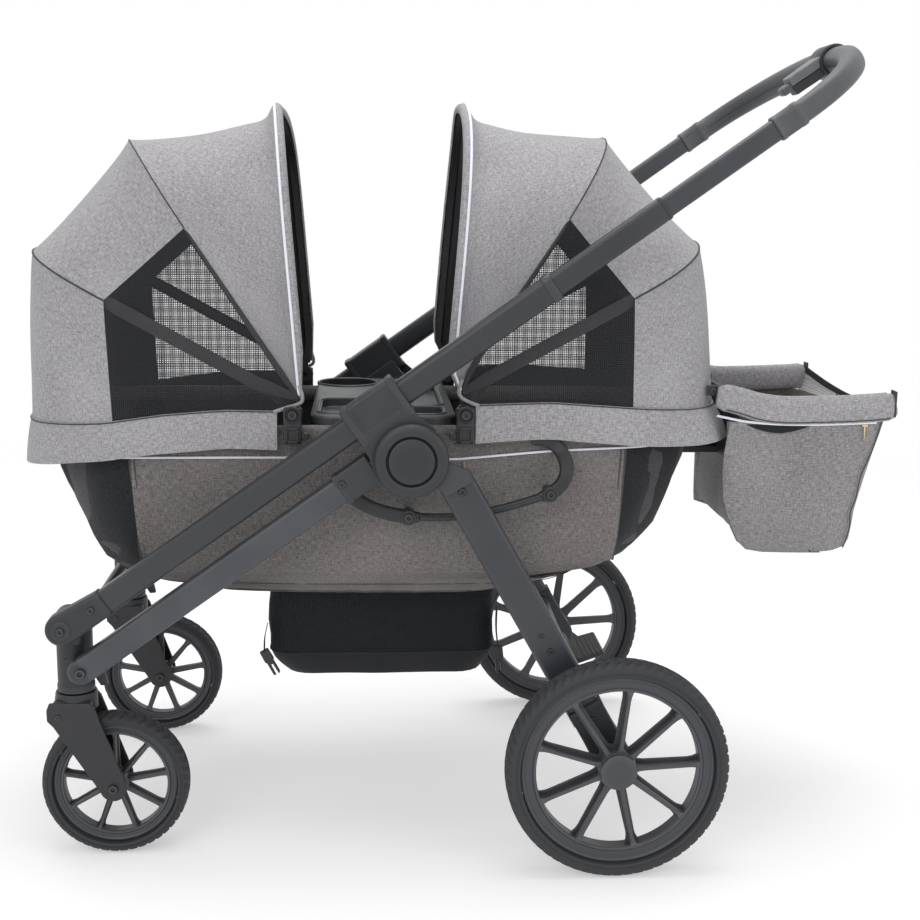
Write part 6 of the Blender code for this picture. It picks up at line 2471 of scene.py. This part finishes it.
    def brackets(self) -> None:
        """Canopy bracket with its round boss, cross screw, clip and side button."""
        for side in Side:
            for end in End:
                s = side.value
                x = TUB_X + end.value * PIVOT_REACH
                shape = Shape()
                shape.block((x - 0.0112, s * 0.199, 0.531), (x + 0.0112, s * 0.2078, 0.5765), 0.002)
                profile = [
                    (0.0104, 0.2060), (0.0110, 0.2072), (0.0110, 0.2094), (0.0102, 0.2102), (0.0088, 0.2102)
                ]
                profile += [(0.0080, 0.2082), (0.0068, 0.2080)]
                shape.turned((x, PIVOT_Z), [(r, s * y) for r, y in profile], sides=36)
                for low, high in ((0.532, 0.536), (0.549, 0.5525)):
                    shape.block((x - 0.008, s * 0.207, low), (x + 0.008, s * 0.2104, high), 0.0008)
                for edge in (-0.008, 0.0055):
                    shape.block(
                        (x + edge, s * 0.207, 0.532), (x + edge + 0.0025, s * 0.2104, 0.552), 0.0008
                    )
                button = x + end.value * -0.0155
                shape.turned(
                    (button, 0.5405), [(0.0052, s * 0.200), (0.0052, s * 0.2068), (0.0040, s * 0.2080)],
                    sides=24
                )
                shape.block((x - 0.012, s * 0.183, 0.5345), (x + 0.012, s * 0.200, 0.5455), 0.001)
                shape.done(f"canopy_bracket_{end.word}_{side.word}", BLACK, flat=True)
                screw = Shape().screw((x, PIVOT_Z), s * 0.2084, s, 0.0062)
                screw.done(f"pivot_screw_{end.word}_{side.word}", DARK_STEEL)

    def guard(self, side: Side) -> None:
        """Side guard: bowed arms, a thin channelled bar and round bolt bosses.

        Args:
            side: Side of the stroller.
        """
        s, word = side.value, side.word
        path = [
            (-0.0745, 0.469, 0.0088), (-0.052, 0.4545, 0.0084), (-0.026, 0.4455, 0.0084),
            (-0.0017, 0.441, 0.0084)
        ]
        path += [
            (0.0110, 0.4405, 0.0062), (0.016, 0.4404, 0.0048), (0.0565, 0.441, 0.0046),
            (0.110, 0.450, 0.0046)
        ]
        path += [
            (0.160, 0.4645, 0.0048), (0.1650, 0.4662, 0.0062), (0.1756, 0.470, 0.0084),
            (0.188, 0.4795, 0.0084)
        ]
        path += [
            (0.1955, 0.494, 0.0086), (0.1958, 0.509, 0.0088), (0.1885, 0.524, 0.0088),
            (0.1735, 0.5335, 0.0088), (0.155, 0.5360, 0.0080)
        ]
        line = smooth_path([(x, half, z) for x, z, half in path], 5)
        rings = []
        for i, point in enumerate(line):
            run = run_at(line, i)
            up = Vector((-run.z, run.x)).normalized()
            half = point.y
            ring = []
            tuck = smooth_step((point.z - 0.495) / 0.038) if point.x > 0.12 else 0.0
            for a, b in rounded_rectangle(0.0125 - 0.0040 * tuck, 2 * half, 0.0032, 3):
                ring.append(
                    (point.x + up.x * b, s * (self.guard_y - 0.0250 * tuck + a), point.z + up.y * b)
                )
            rings.append(ring)
        shape = Shape().skin(rings)
        groove = [Vector((p.x, s * 0.2249, p.z)) for p in line[22:44]]
        for place in self.guard_bolts:
            shape.turned(
                place,
                [(0.0098, s * 0.213), (0.0098, s * 0.2252), (0.0088, s * 0.2262), (0.0068, s * 0.2262)],
                sides=32
            )
            shape.turned(place, [(0.0055, s * 0.1878), (0.0055, s * 0.220)], sides=20)
        shape.done(f"guard_bar_{word}", BLACK, replaces=(f"side_guard_{word}",), angle=42)
        section = [(0.0011, 0.0008), (-0.0011, 0.0008), (-0.0011, -0.0008), (0.0011, -0.0008)]
        channel = Shape().sweep(groove, section, Vector((0, s, 0)))
        channel.done(f"guard_channel_{word}", RUBBER)
        bolts = Shape()
        for place in self.guard_bolts:
            bolts.screw(place, s * 0.2248, s, 0.0060)
        bolts.done(f"guard_bolts_{word}", DARK_STEEL)

    def piping(self, side: Side) -> None:
        """White piping below the apron and the zip end beside the hub.

        Args:
            side: Side of the stroller.
        """
        s, word = side.value, side.word
        heights = [
            (-0.36, 0.5110), (-0.165, 0.5110), (-0.037, 0.5095), (0.06, 0.5085), (0.18, 0.5190),
            (0.37, 0.5282)
        ]
        for end in End:
            path = []
            for point in self.quarter(0.52, end, -0.0016)[: self.half_columns[0] + 6]:
                if abs(point.x - TUB_X) > 0.085:
                    path.append(Vector((point.x, s * abs(point.y), lerped(heights, point.x))))
            Shape().cord(spread(path, 60), 0.0015, 8).done(f"tub_piping_{end.word}_{word}", PIPING)
        puller = eased_prism(
            [(0.0680, 0.5060), (0.0702, 0.5060), (0.0700, 0.4905), (0.0682, 0.4905)], s * 0.1876,
            s * 0.1900, 0.0004, 1
        )
        puller.done(f"tub_zip_end_{word}", BRASS)


@dataclass
class Cushion:
    """Quilted cushion: crowned, with drawn-in sides and stitched channels."""

    name: str
    node: str
    origin: Triple
    up: Vector
    out: Vector
    width: float
    height: float
    thickness: float
    channels: int

    def build(self) -> None:
        """Builds the cushion with soft puckers at its seams."""
        columns, rows = 44, 60
        across = Vector((0.0, 1.0, 0.0))
        outer, inner = [], []
        for row in range(rows + 1):
            v = row / rows
            line, back = [], []
            for column in range(columns + 1):
                u = column / columns
                rim = min(
                    1.0, 7 * math.sin(math.pi * u)
                ) ** 0.6 * min(1.0, 7 * math.sin(math.pi * v)) ** 0.6
                channel = abs(math.sin(math.pi * self.channels * v)) ** 0.45
                depth = self.thickness * (0.28 + 0.72 * rim * (0.62 + 0.38 * channel))
                draw = 0.006 * math.sin(math.pi * v) * (u - 0.5) * 2
                base = Vector(self.origin) + across * (
                    self.width * (u - 0.5) - draw
                ) + self.up * (self.height * v)
                pucker = 0.0016 * ripple(base, (45, 45, 45), 8.0) * rim
                line.append(base + self.out * (depth + pucker))
                back.append(base + self.out * 0.0006)
            outer.append(line)
            inner.append(back)
        shape = shell(outer, inner)
        piece = shape.done(self.name, PAD_CLOTH, replaces=(self.node,), angle=60)
        stitches = Shape()
        for i in range(1, self.channels):
            row = round(rows * i / self.channels)
            stitches.stitches([p + self.out * 0.0003 for p in outer[row][2:-2]], 0.007, 0.0006)
        stitches.done(self.name + "_stitches", TAPE)


@dataclass
class Basket:
    """Net basket under the tub, with a solid band at its foot, its binding and two buckles."""

    thickness: float = 0.0016

    # Height, low x, high x, half width and corner radius.
    LEVELS = (
        (0.2100, -0.146, 0.070, 0.130, 0.040),
        (0.2112, -0.162, 0.100, 0.146, 0.036),
        (0.2185, -0.172, 0.105, 0.149, 0.040),
        (0.2285, -0.179, 0.112, 0.150, 0.034),
        (0.2380, -0.1825, 0.1145, 0.150, 0.030),
        (0.2405, -0.1835, 0.115, 0.150, 0.030),
        (0.2600, -0.184, 0.1160, 0.150, 0.030),
        (0.2800, -0.1855, 0.1165, 0.150, 0.028),
        (0.3000, -0.184, 0.1170, 0.150, 0.026),
        (0.3200, -0.181, 0.1165, 0.150, 0.024),
        (0.3355, -0.178, 0.116, 0.150, 0.022),
    )

    def build(self) -> None:
        """Builds the basket."""
        rings = []
        for inset in (0.0, self.thickness):
            made = []
            for index, (z, low, high, half, corner) in enumerate(self.LEVELS):
                outline = rounded_rectangle(high - low - 2 * inset, 2 * (half - inset), corner, 5)
                dense = []
                for a, b in zip(outline, outline[1:] + outline[:1]):
                    steps = 12 if math.dist(a, b) > 0.05 else 1
                    dense += [
                        (a[0] + (b[0] - a[0]) * i / steps, a[1] + (b[1] - a[1]) * i / steps)
                        for i in range(steps)
                    ]
                ring = []
                for a, b in dense:
                    point = Vector(((low + high) / 2 + a, b, z + (inset if index == 0 else 0.0)))
                    out = Vector((a, b, 0.0)).normalized()
                    fold = (0.016 if index > 5 else 0.005) * ripple(point, (22, 22, 8), 11.0)
                    ring.append(
                        tuple(point + out * (fold - 0.0015) * min(1.0, (len(self.LEVELS) - 1 - index) / 2))
                    )
                made.append(ring)
            rings += made if inset == 0.0 else list(reversed(made))
        outside = len(self.LEVELS)
        shape = Shape().skin(rings, zones=lambda row, column: 0 if row < 5 or row >= 2 * outside - 6 else 1)
        piece = shape.done("basket_net", [BAND, BASKET_NET], replaces=("under_basket",), angle=60)
        band = [Vector((x, y, z)) for x, y, z in rings[5]]
        Shape().cord(band + band[:1], 0.0012, 5).done("basket_binding", BAND)
        self.buckle("front", (-0.184, -0.146, 0.280), (-0.1885, -0.146, 0.243), 0.50)
        self.buckle("rear", (0.1180, -0.146, 0.300), (0.1205, -0.146, 0.246), 0.08)

    def buckle(self, word: str, top: Triple, low: Triple, tilt: float) -> None:
        """Short strap that hangs from the basket's corner, with a side-release buckle half on it.

        Args:
            word: End of the basket that it is at.
            top: Upper end of the strap.
            low: Lower end of the strap.
            tilt: How far the buckle leans.
        """
        path = smooth_path([top, ((top[0] + low[0]) / 2 - 0.0015, top[1], (top[2] + low[2]) / 2), low], 8)
        section = [(0.0006, 0.0075), (0.0006, -0.0075), (-0.0006, -0.0075), (-0.0006, 0.0075)]
        strap = Shape().sweep(path, section, Vector((0.0, 1.0, 0.0)))
        piece = strap.done(f"basket_strap_{word}", BAND)
        body = [
            (-0.006, 0.002), (0.006, 0.002), (0.0065, -0.014), (0.0048, -0.016), (0.0048, -0.034),
            (0.002, -0.036)
        ]
        body += [
            (0.0015, -0.020), (-0.0015, -0.020), (-0.002, -0.036), (-0.0048, -0.034), (-0.0048, -0.016),
            (-0.0065, -0.014)
        ]
        cos, sin = math.cos(tilt), math.sin(tilt)
        turned = [(low[0] + a * cos - b * sin, low[2] + a * sin + b * cos) for a, b in body]
        clip = eased_prism(turned, low[1] - 0.0028, low[1] + 0.0028, 0.0009)
        clip.done(f"basket_buckle_{word}", BLACK, flat=True)


@dataclass
class Tray:
    """Cup tray across the tub: a slab with soft edges, raised lips, recessed pockets and a cup well."""

    low: Triple = (-0.125, -0.185, 0.5495)
    high: Triple = (0.060, 0.185, 0.563)
    well: Pair = (-0.080, 0.130)
    well_radius: float = 0.0435
    pockets: tuple = (
        ((0.014, 0.012), (0.062, 0.215)), ((-0.078, -0.100), (0.070, 0.125)),
        ((0.014, -0.140), (0.060, 0.060))
    )

    def build(self) -> None:
        """Builds the tray."""
        (x0, y0, z0), (x1, y1, z1) = self.low, self.high
        plan = [((x0 + x1) / 2 + a, b) for a, b in rounded_rectangle(x1 - x0, y1 - y0, 0.030, 8)]
        levels = ((z0, 0.004), (z0 + 0.0015, 0.001), (z1 - 0.003, 0.0), (z1 - 0.0008, 0.0012), (z1, 0.0035))
        body = Shape()
        rings = []
        middle = (x0 + x1) / 2
        for z, inset in levels:
            ring = [(x - math.copysign(inset, x - middle), y - math.copysign(inset, y), z) for x, y in plan]
            rings.append(ring)
        body.skin(rings)
        body.turned(self.well, [(0.0405, 0.5062), (0.0432, 0.5085), (0.0440, 0.560)], "z", 56)
        tools = [Shape().turned(self.well, [(0.0385, 0.5105), (0.0412, 0.5135), (0.0415, 0.5800)], "z", 56)]
        for (px, py), (wide, long) in self.pockets:
            rings = []
            for z, inset in ((z1 - 0.0105, 0.0045), (z1 - 0.0085, 0.0012), (z1 + 0.010, 0.0)):
                mouth = rounded_rectangle(wide - 2 * inset, long - 2 * inset, 0.016 - inset, 6)
                rings.append([(px + a, py + b, z) for a, b in mouth])
            tools.append(Shape().skin(rings))
        for tool in tools:
            body.cut(tool)
        body.done("tray_body", TRAY_BLACK, "tray", ("cup_tray",), angle=30)
        lips = Shape()
        for (px, py), (wide, long) in self.pockets:
            mouth = rounded_rectangle(wide + 0.006, long + 0.006, 0.019, 8)
            line = [Vector((px + a, py + b, z1 + 0.0002)) for a, b in mouth]
            lips.cord(line + line[:1], 0.0018, 8)
        mouth = arc((0.0, 0.0), self.well_radius, 0, 354, 59)
        ring = [Vector((self.well[0] + a, self.well[1] + b, z1 + 0.0002)) for a, b in mouth]
        lips.cord(ring + ring[:1], 0.0022, 8)
        lips.done("tray_lips", TRAY_BLACK, "tray", angle=60)


@dataclass
class Bag:
    """Parent bag: a sagging body, padded side rims that reach forward, elastic net, piping and zip."""

    wall: float = 0.0035
    rim_y: float = 0.1605
    rim_half: Pair = (0.0092, 0.0185)
    piping_y: float = 0.1640
    cord: float = 0.0016

    # Height, front of the forward corners, front, rear and half width.
    LEVELS = (
        (0.3710, 0.500, 0.520, 0.565, 0.138),
        (0.3745, 0.468, 0.485, 0.5800, 0.148),
        (0.3800, 0.448, 0.462, 0.5890, 0.154),
        (0.3910, 0.434, 0.450, 0.5930, 0.157),
        (0.4100, 0.424, 0.446, 0.5950, 0.159),
        (0.4300, 0.417, 0.446, 0.5970, 0.160),
        (0.4500, 0.4130, 0.450, 0.6010, 0.161),
        (0.4800, 0.4110, 0.4565, 0.6080, 0.162),
        (0.5100, 0.4110, 0.4570, 0.6160, 0.163),
        (0.5350, 0.4120, 0.4570, 0.6240, 0.163),
        (0.5520, 0.4130, 0.4570, 0.6290, 0.162),
    )

    def build(self) -> None:
        """Builds the bag and its hanger."""
        self.cloth()
        for side in Side:
            self.rim(side)
        self.net()
        self.trim()
        self.hanger()

    def ring(self, level: tuple, inset: float) -> list[Vector]:
        """Outline of the bag at one level, with its two forward corners.

        Args:
            level: A row of the table of levels.
            inset: Distance inside the outer cloth.

        Returns:
            The points round the bag.
        """
        z, lobe, front, rear, half = level
        h = half - inset
        rear -= inset
        points = [(front + inset, 0.0), (front + inset, -0.45 * h), (front + inset, -0.68 * h)]
        points += [(front + 0.001 + inset, -h + 0.030), (front + 0.002 + inset, -h + 0.017)]
        if lobe + 0.02 < front:
            points += [((lobe + front) / 2, -h + 0.0105), (lobe + 0.006, -h + 0.009)]
        points += [
            (lobe + inset, -h + 0.0045), (lobe + 0.006 + inset, -h), (lobe + 0.05, -h),
            ((lobe + rear) / 2 + 0.02, -h - 0.001)
        ]
        points += [(rear - 0.05, -h), (rear - 0.022, -h + 0.002), (rear - 0.006, -h + 0.013)]
        points += [(rear, -h + 0.032), (rear + 0.001, -h * 0.4), (rear, 0.0)]
        near = spread(smooth_path([(x, y, z) for x, y in points], 8), 64)
        far = []
        for p in reversed(near[1:-1]):
            slack = 0.020 * smooth_step((p.x - 0.55) / 0.07) * smooth_step(-p.y / 0.12)
            far.append(Vector((max(p.x, 0.449 + inset) - slack, -p.y, p.z)))
        return near + far

    def cloth(self) -> None:
        """Outside with soft upright folds and a sagging foot, and the inside."""
        rings = []
        for index, level in enumerate(self.LEVELS):
            ring = []
            for point in self.ring(level, 0.0):
                share = index / (len(self.LEVELS) - 1)
                out = Vector((point.x - 0.52, point.y * 1.6, 0.0)).normalized()
                fold = 0.012 * ripple(point, (17, 14, 4), 13.0) * math.sin(math.pi * (0.12 + 0.8 * share))
                if point.y < 0 and share > 0.55 and 0.44 < point.x < 0.53:
                    fold -= 0.004 * math.sin(math.pi * (point.x - 0.44) / 0.09) * (share - 0.55) / 0.45
                ring.append(tuple(point + out * fold))
            rings.append(ring)
        for level in reversed(self.LEVELS[1:]):
            rings.append([tuple(p) for p in self.ring(level, self.wall)])
        outside = len(self.LEVELS) - 1
        shape = Shape().skin(
            rings, zones=lambda row, column: Zone.OUTSIDE if row < outside else Zone.LINING
        )
        # The bag's body takes the darkened copy of the heathered cloth, painted shade; its rims keep the
        # lighter canopy cloth.
        piece = shape.done("bag_cloth", [BAG_SHADED_HEATHER, BAG_LINING], "bag", ("rear_bag",), angle=60)

    def rim(self, side: Side) -> None:
        """Padded roll along one side of the mouth, dipping behind its forward end.

        Args:
            side: Side of the bag.
        """
        s = side.value
        y = s * self.rim_y
        points = [
            (0.3985, y - s * 0.001, 0.5850), (0.412, y, 0.5830), (0.430, y, 0.5785), (0.455, y, 0.5710),
            (0.485, y, 0.5672)
        ]
        points += [
            (0.53, y, 0.5675), (0.58, y, 0.5690), (0.620, y - s * 0.002, 0.5715),
            (0.634, y - s * 0.004, 0.5745)
        ]
        if side is Side.RIGHT:
            points = [(0.398 + (a - 0.398) * 0.92, b, c) for a, b, c in points]
        steps = 70
        path = spread(smooth_path(points, 6), steps)
        section = []
        for a, b in arc((0.0, 0.0), 1.0, 0, 345, 23):
            bulge = (abs(a) ** 3 + abs(b) ** 3) ** (-1 / 3)
            section.append((self.rim_half[0] * a * bulge, self.rim_half[1] * b * bulge))

        def swell(i: int) -> Pair:
            """Rounded ends and faint unevenness of the filling.

            Args:
                i: Index along the roll.

            Returns:
                Scales across and up.
            """
            ends = min(1.0, 0.62 + 0.38 * (min(i + 1, steps + 1 - i) / 4) ** 0.7)
            uneven = 1 + 0.16 * ripple(path[i], (38, 0, 0), 21.0 + s)
            return ends * uneven, ends * (0.92 + 0.1 * min(1.0, i / 20)) * (1 + (uneven - 1) * 0.3)

        shape = Shape().sweep(path, section, Vector((0.0, 0.0, 1.0)), swell)
        piece = shape.done(f"bag_rim_{side.word}", HEATHER, "bag", angle=70)
        seam = [point + Vector((0.0, s * 0.0078, -0.0150)) for point in path[3:-2]]
        Shape().cord(seam, 0.0008, 5).done(f"bag_rim_seam_{side.word}", THREAD, "bag")
        corners = ((0.0098, 0.0180), (-0.0098, 0.0185), (-0.0098, -0.0170), (0.0098, -0.0160))
        plates = [[tuple(path[-1] + Vector((x, s * a, b))) for a, b in corners] for x in (-0.0016, 0.0004)]
        end = Shape().skin(plates)
        end.ease(0.0008, 1, 60).done(f"bag_rim_end_{side.word}", TAPE, "bag")

    def net(self) -> None:
        """Elastic net across the rear of the mouth, with its binding and two cords."""
        points = [(0.612, 0.155, 0.583), (0.627, 0.08, 0.566), (0.636, 0.0, 0.5585)]
        points += [(0.634, -0.08, 0.566), (0.631, -0.155, 0.581)]
        top = smooth_path(points, 8)
        low = [Vector((p.x - 0.007 - 0.008 * (p.y < 0), p.y, 0.5500)) for p in top]
        outer, inner = [], []
        for share in (0.0, 0.3, 0.6, 1.0):
            row = [
                a.lerp(b, share) + Vector((0.002 * math.sin(math.pi * share), 0.0, 0.0))
                for a, b in zip(top, low)
            ]
            outer.append(row)
            inner.append([p - Vector((0.0008, 0.0, 0.0)) for p in row])
        piece = shell(outer, inner).done("bag_net", PALE_NET, "bag", angle=60)
        section = [(0.0012, 0.0045), (-0.0012, 0.0045), (-0.0012, -0.0045), (0.0012, -0.0045)]
        binding = Shape().sweep(top, section, Vector((0.0, 0.0, 1.0))).done("bag_net_binding", BAND, "bag")
        for side, (a, b) in zip(("near", "far"), ((0.03, 0.06), (0.10, 0.12))):
            points = [
                (0.6335, b, 0.562 + 0.06 * (b - 0.03)), (0.627, (a + b) / 2 + 0.004, 0.556),
                (0.6215, a + 0.03, 0.551)
            ]
            Shape().cord(smooth_path(points, 6), 0.0011, 6).done(f"bag_net_tie_{side}", BAND, "bag")

    def trim(self) -> None:
        """White piping under the rims, the pocket's dark slit, zip pulls and the rear seams."""
        for side in Side:
            s = side.value
            y = s * self.piping_y
            points = [
                (0.3990, s * 0.1600, 0.5600), (0.415, y, 0.5570), (0.440, y, 0.5525), (0.48, y, 0.5495),
                (0.53, y, 0.5490)
            ]
            points += [(0.58, y, 0.5505), (0.610, s * 0.1625, 0.5515)]
            Shape().cord(smooth_path(points, 8), self.cord, 8).done(
                f"bag_piping_{side.word}", PIPING, "bag"
            )
            rings = []
            for i in range(21):
                share = i / 20
                x = 0.438 + 0.086 * share
                deep = 0.0098 * math.sin(math.pi * share) ** 0.8
                top = 0.5478 + 0.0014 * abs((x - 0.481) / 0.043)
                low = top - deep - 0.0004
                corners = ((0.1610, top), (0.1638, top), (0.1633, low), (0.1605, low))
                rings.append([(x, s * out, z) for out, z in corners])
            Shape().skin(rings).done(f"bag_pocket_slit_{side.word}", BAND, "bag")
            pull = eased_prism(
                [(0.5932, 0.5465), (0.5958, 0.5465), (0.5952, 0.5270), (0.5938, 0.5270)], s * 0.1625,
                s * 0.1642, 0.0005, 1
            )
            pull.block((0.5905, s * 0.1620, 0.5455), (0.5985, s * 0.1648, 0.5495), 0.0007, 1)
            pull.done(f"bag_zip_pull_{side.word}", BRASS, "bag")
            seam = []
            for level in self.LEVELS[2:]:
                ring = self.ring(level, 0.0)
                seam_x = level[3] - (0.012 if s < 0 else 0.030)
                point = min((p for p in ring if s * p.y > 0.05), key=lambda p: abs(p.x - seam_x))
                seam.append(Vector((point.x + 0.0016, s * (abs(point.y) + 0.0016), point.z)))
            Shape().cord(
                smooth_path([tuple(p) for p in seam], 4), 0.0010, 5
            ).done(f"bag_seam_{side.word}", THREAD, "bag")

    def hanger(self) -> None:
        """Hanger plate with ribs, its foot under the rim and two hooks."""
        body = Shape().box((0.4262, -0.150, 0.492), (0.4322, 0.150, 0.586)).ease(0.0025)
        body.block((0.3576, -0.060, 0.493), (0.430, 0.060, 0.503), 0.0015)
        for y in (-0.12, -0.06, 0.0, 0.06, 0.12):
            body.block((0.4236, y - 0.0015, 0.508), (0.4270, y + 0.0015, 0.578), 0.0006, 1)
        for y in (-0.11, 0.11):
            body.block((0.430, y - 0.012, 0.5705), (0.4552, y + 0.012, 0.5825), 0.002)
        body.done("bag_hanger_plate", BLACK, replaces=("bag_hanger",), flat=True)
        screws = Shape()
        for side in Side:
            s = side.value
            arm = Shape().box((0.386, s * 0.1490, 0.5850), (0.430, s * 0.1545, 0.5990)).ease(0.0018)
            arm.done(f"hanger_arm_{side.word}", BLACK, flat=True)
            screws.screw((0.3935, 0.5915), s * 0.1543, s, 0.0046)
        screws.done("hanger_screws", DARK_STEEL)


@dataclass
class Studio:
    """Camera at the photograph's angle, pale floor, soft lamps and a plain pale world."""

    focal_pixels: float = 1402.03
    image: float = 920.0
    pitch: float = 0.18793
    yaw: float = 0.06963
    roll: float = 0.01173
    place: Triple = (-0.05718 + HUB_X, -1.92777, 0.83904)
    floor_half: float = 9.0
    floor_colour: float = 0.68
    floor_glow: float = 0.40
    floor_fade: Pair = (0.9, 3.2)
    ambient: float = 0.62

    # Name, place, size and power.
    LAMPS = (
        ("key_lamp", (-1.6, -3.2, 2.6), 2.4, 32.0),
        ("fill_lamp", (2.4, -2.2, 1.6), 2.0, 10.0),
        ("top_lamp", (0.0, 0.3, 3.4), 2.6, 58.0),
    )

    def build(self) -> None:
        """Builds the whole studio."""
        self.camera()
        self.floor()
        self.lamps()
        self.world()
        bpy.context.scene.view_settings.view_transform = "Standard"

    def camera(self) -> None:
        """Camera from its fitted place and turn."""
        data = bpy.data.cameras.new("camera")
        data.sensor_width = 36.0
        data.lens = self.focal_pixels / self.image * data.sensor_width
        level = math.cos(self.pitch)
        ahead = Vector((math.sin(self.yaw) * level, math.cos(self.yaw) * level, -math.sin(self.pitch)))
        right = Vector((math.cos(self.yaw), -math.sin(self.yaw), 0.0))
        up = right.cross(ahead)
        turned_right = right * math.cos(self.roll) + up * math.sin(self.roll)
        turned_up = up * math.cos(self.roll) - right * math.sin(self.roll)
        axes = Matrix((turned_right, turned_up, -ahead)).transposed()
        piece = bpy.data.objects.new("camera", data)
        piece.matrix_world = Matrix.Translation(self.place) @ axes.to_4x4()
        bpy.context.scene.collection.objects.link(piece)
        bpy.context.scene.camera = piece

    def floor(self) -> None:
        """Wide pale floor that fades to white far out."""
        half = self.floor_half
        shape = Shape()
        shape.skin([[(-half, y, 0.0), (half, y, 0.0)] for y in (-half, half)], around=False)
        material = bpy.data.materials.new("pale floor")
        material.use_nodes = True
        shader = material.node_tree.nodes["Principled BSDF"]
        shader.inputs["Roughness"].default_value = 0.9
        shader.inputs["Specular IOR Level"].default_value = 0.0
        shader.inputs["Emission Strength"].default_value = 1.0
        tree = material.node_tree
        away = tree.nodes.new("ShaderNodeVectorMath")
        away.operation = "LENGTH"
        tree.links.new(tree.nodes.new("ShaderNodeNewGeometry").outputs["Position"], away.inputs[0])
        far = ranged(tree, away.outputs["Value"], *self.floor_fade)
        near_colour, near_glow = [(tone, tone, tone, 1.0) for tone in (self.floor_colour, self.floor_glow)]
        tree.links.new(mixed(tree, far, near_colour, DARK), shader.inputs["Base Color"])
        tree.links.new(mixed(tree, far, near_glow, WHITE), shader.inputs["Emission Color"])
        mesh = bpy.data.meshes.new("studio_floor")
        shape.bm.to_mesh(mesh)
        shape.bm.free()
        mesh.materials.append(material)
        piece = bpy.data.objects.new("studio_floor", mesh)
        bpy.context.scene.collection.objects.link(piece)

    def lamps(self) -> None:
        """Large soft lamps in front, above and behind."""
        for name, place, size, power in self.LAMPS:
            data = bpy.data.lights.new(name, "AREA")
            data.shape = "DISK"
            data.size = size
            data.energy = power
            piece = bpy.data.objects.new(name, data)
            piece.location = place
            aim = Vector((HUB_X, 0.0, 0.5)) - Vector(place)
            piece.rotation_euler = aim.to_track_quat("-Z", "Y").to_euler()
            bpy.context.scene.collection.objects.link(piece)

    def world(self) -> None:
        """World that lights evenly, and shows as white to the camera and in reflections."""
        world = bpy.data.worlds.new("pale studio")
        world.use_nodes = True
        tree = world.node_tree
        light = tree.nodes["Background"]
        light.inputs["Color"].default_value = WHITE
        light.inputs["Strength"].default_value = self.ambient
        shown = tree.nodes.new("ShaderNodeBackground")
        shown.inputs["Color"].default_value = WHITE
        shown.inputs["Strength"].default_value = 1.0
        path = tree.nodes.new("ShaderNodeLightPath")
        seen = calc(tree, "MAXIMUM", path.outputs["Is Camera Ray"], path.outputs["Is Transmission Ray"])
        seen = calc(tree, "MAXIMUM", seen, path.outputs["Is Glossy Ray"])
        mix = tree.nodes.new("ShaderNodeMixShader")
        tree.links.new(seen, mix.inputs[0])
        tree.links.new(light.outputs[0], mix.inputs[1])
        tree.links.new(shown.outputs[0], mix.inputs[2])
        tree.links.new(mix.outputs[0], tree.nodes["World Output"].inputs["Surface"])
        bpy.context.scene.world = world


def main() -> None:
    """Builds the studio and every sub-assembly in order."""
    logging.basicConfig(level=logging.INFO, format="%(name)s: %(message)s")
    Studio().build()
    PushTubes().build()
    Handle().build()
    for side in Side:
        Hub(side).build()
        RearLeg(side).build()
        FrontCorner(side).build()
    CrossMembers().build()
    build_wheels()
    Tub().build()
    Cushion(
        name="floor_cushion",
        node="floor_pad",
        origin=(-0.195, 0.0, 0.3400),
        up=Vector((1, 0, 0)),
        out=Vector((0, 0, 1)),
        width=0.322,
        height=0.320,
        thickness=0.013,
        channels=4,
    ).build()
    for end in End:
        lean = Vector((end.value * 0.0452, 0.0, 0.148))
        up = lean.normalized()
        out = Vector((-end.value * up.z, 0.0, end.value * up.x))
        Cushion(
            name=f"seat_back_cushion_{end.word}",
            node=f"seat_back_{end.word}",
            origin=(TUB_X + end.value * 0.338, 0.0, 0.392),
            up=up,
            out=out,
            width=0.250,
            height=lean.length,
            thickness=0.022,
            channels=3,
        ).build()
        Canopy(end).build()
    Basket().build()
    Tray().build()
    Bag().build()


if __name__ == "__main__":
    main()
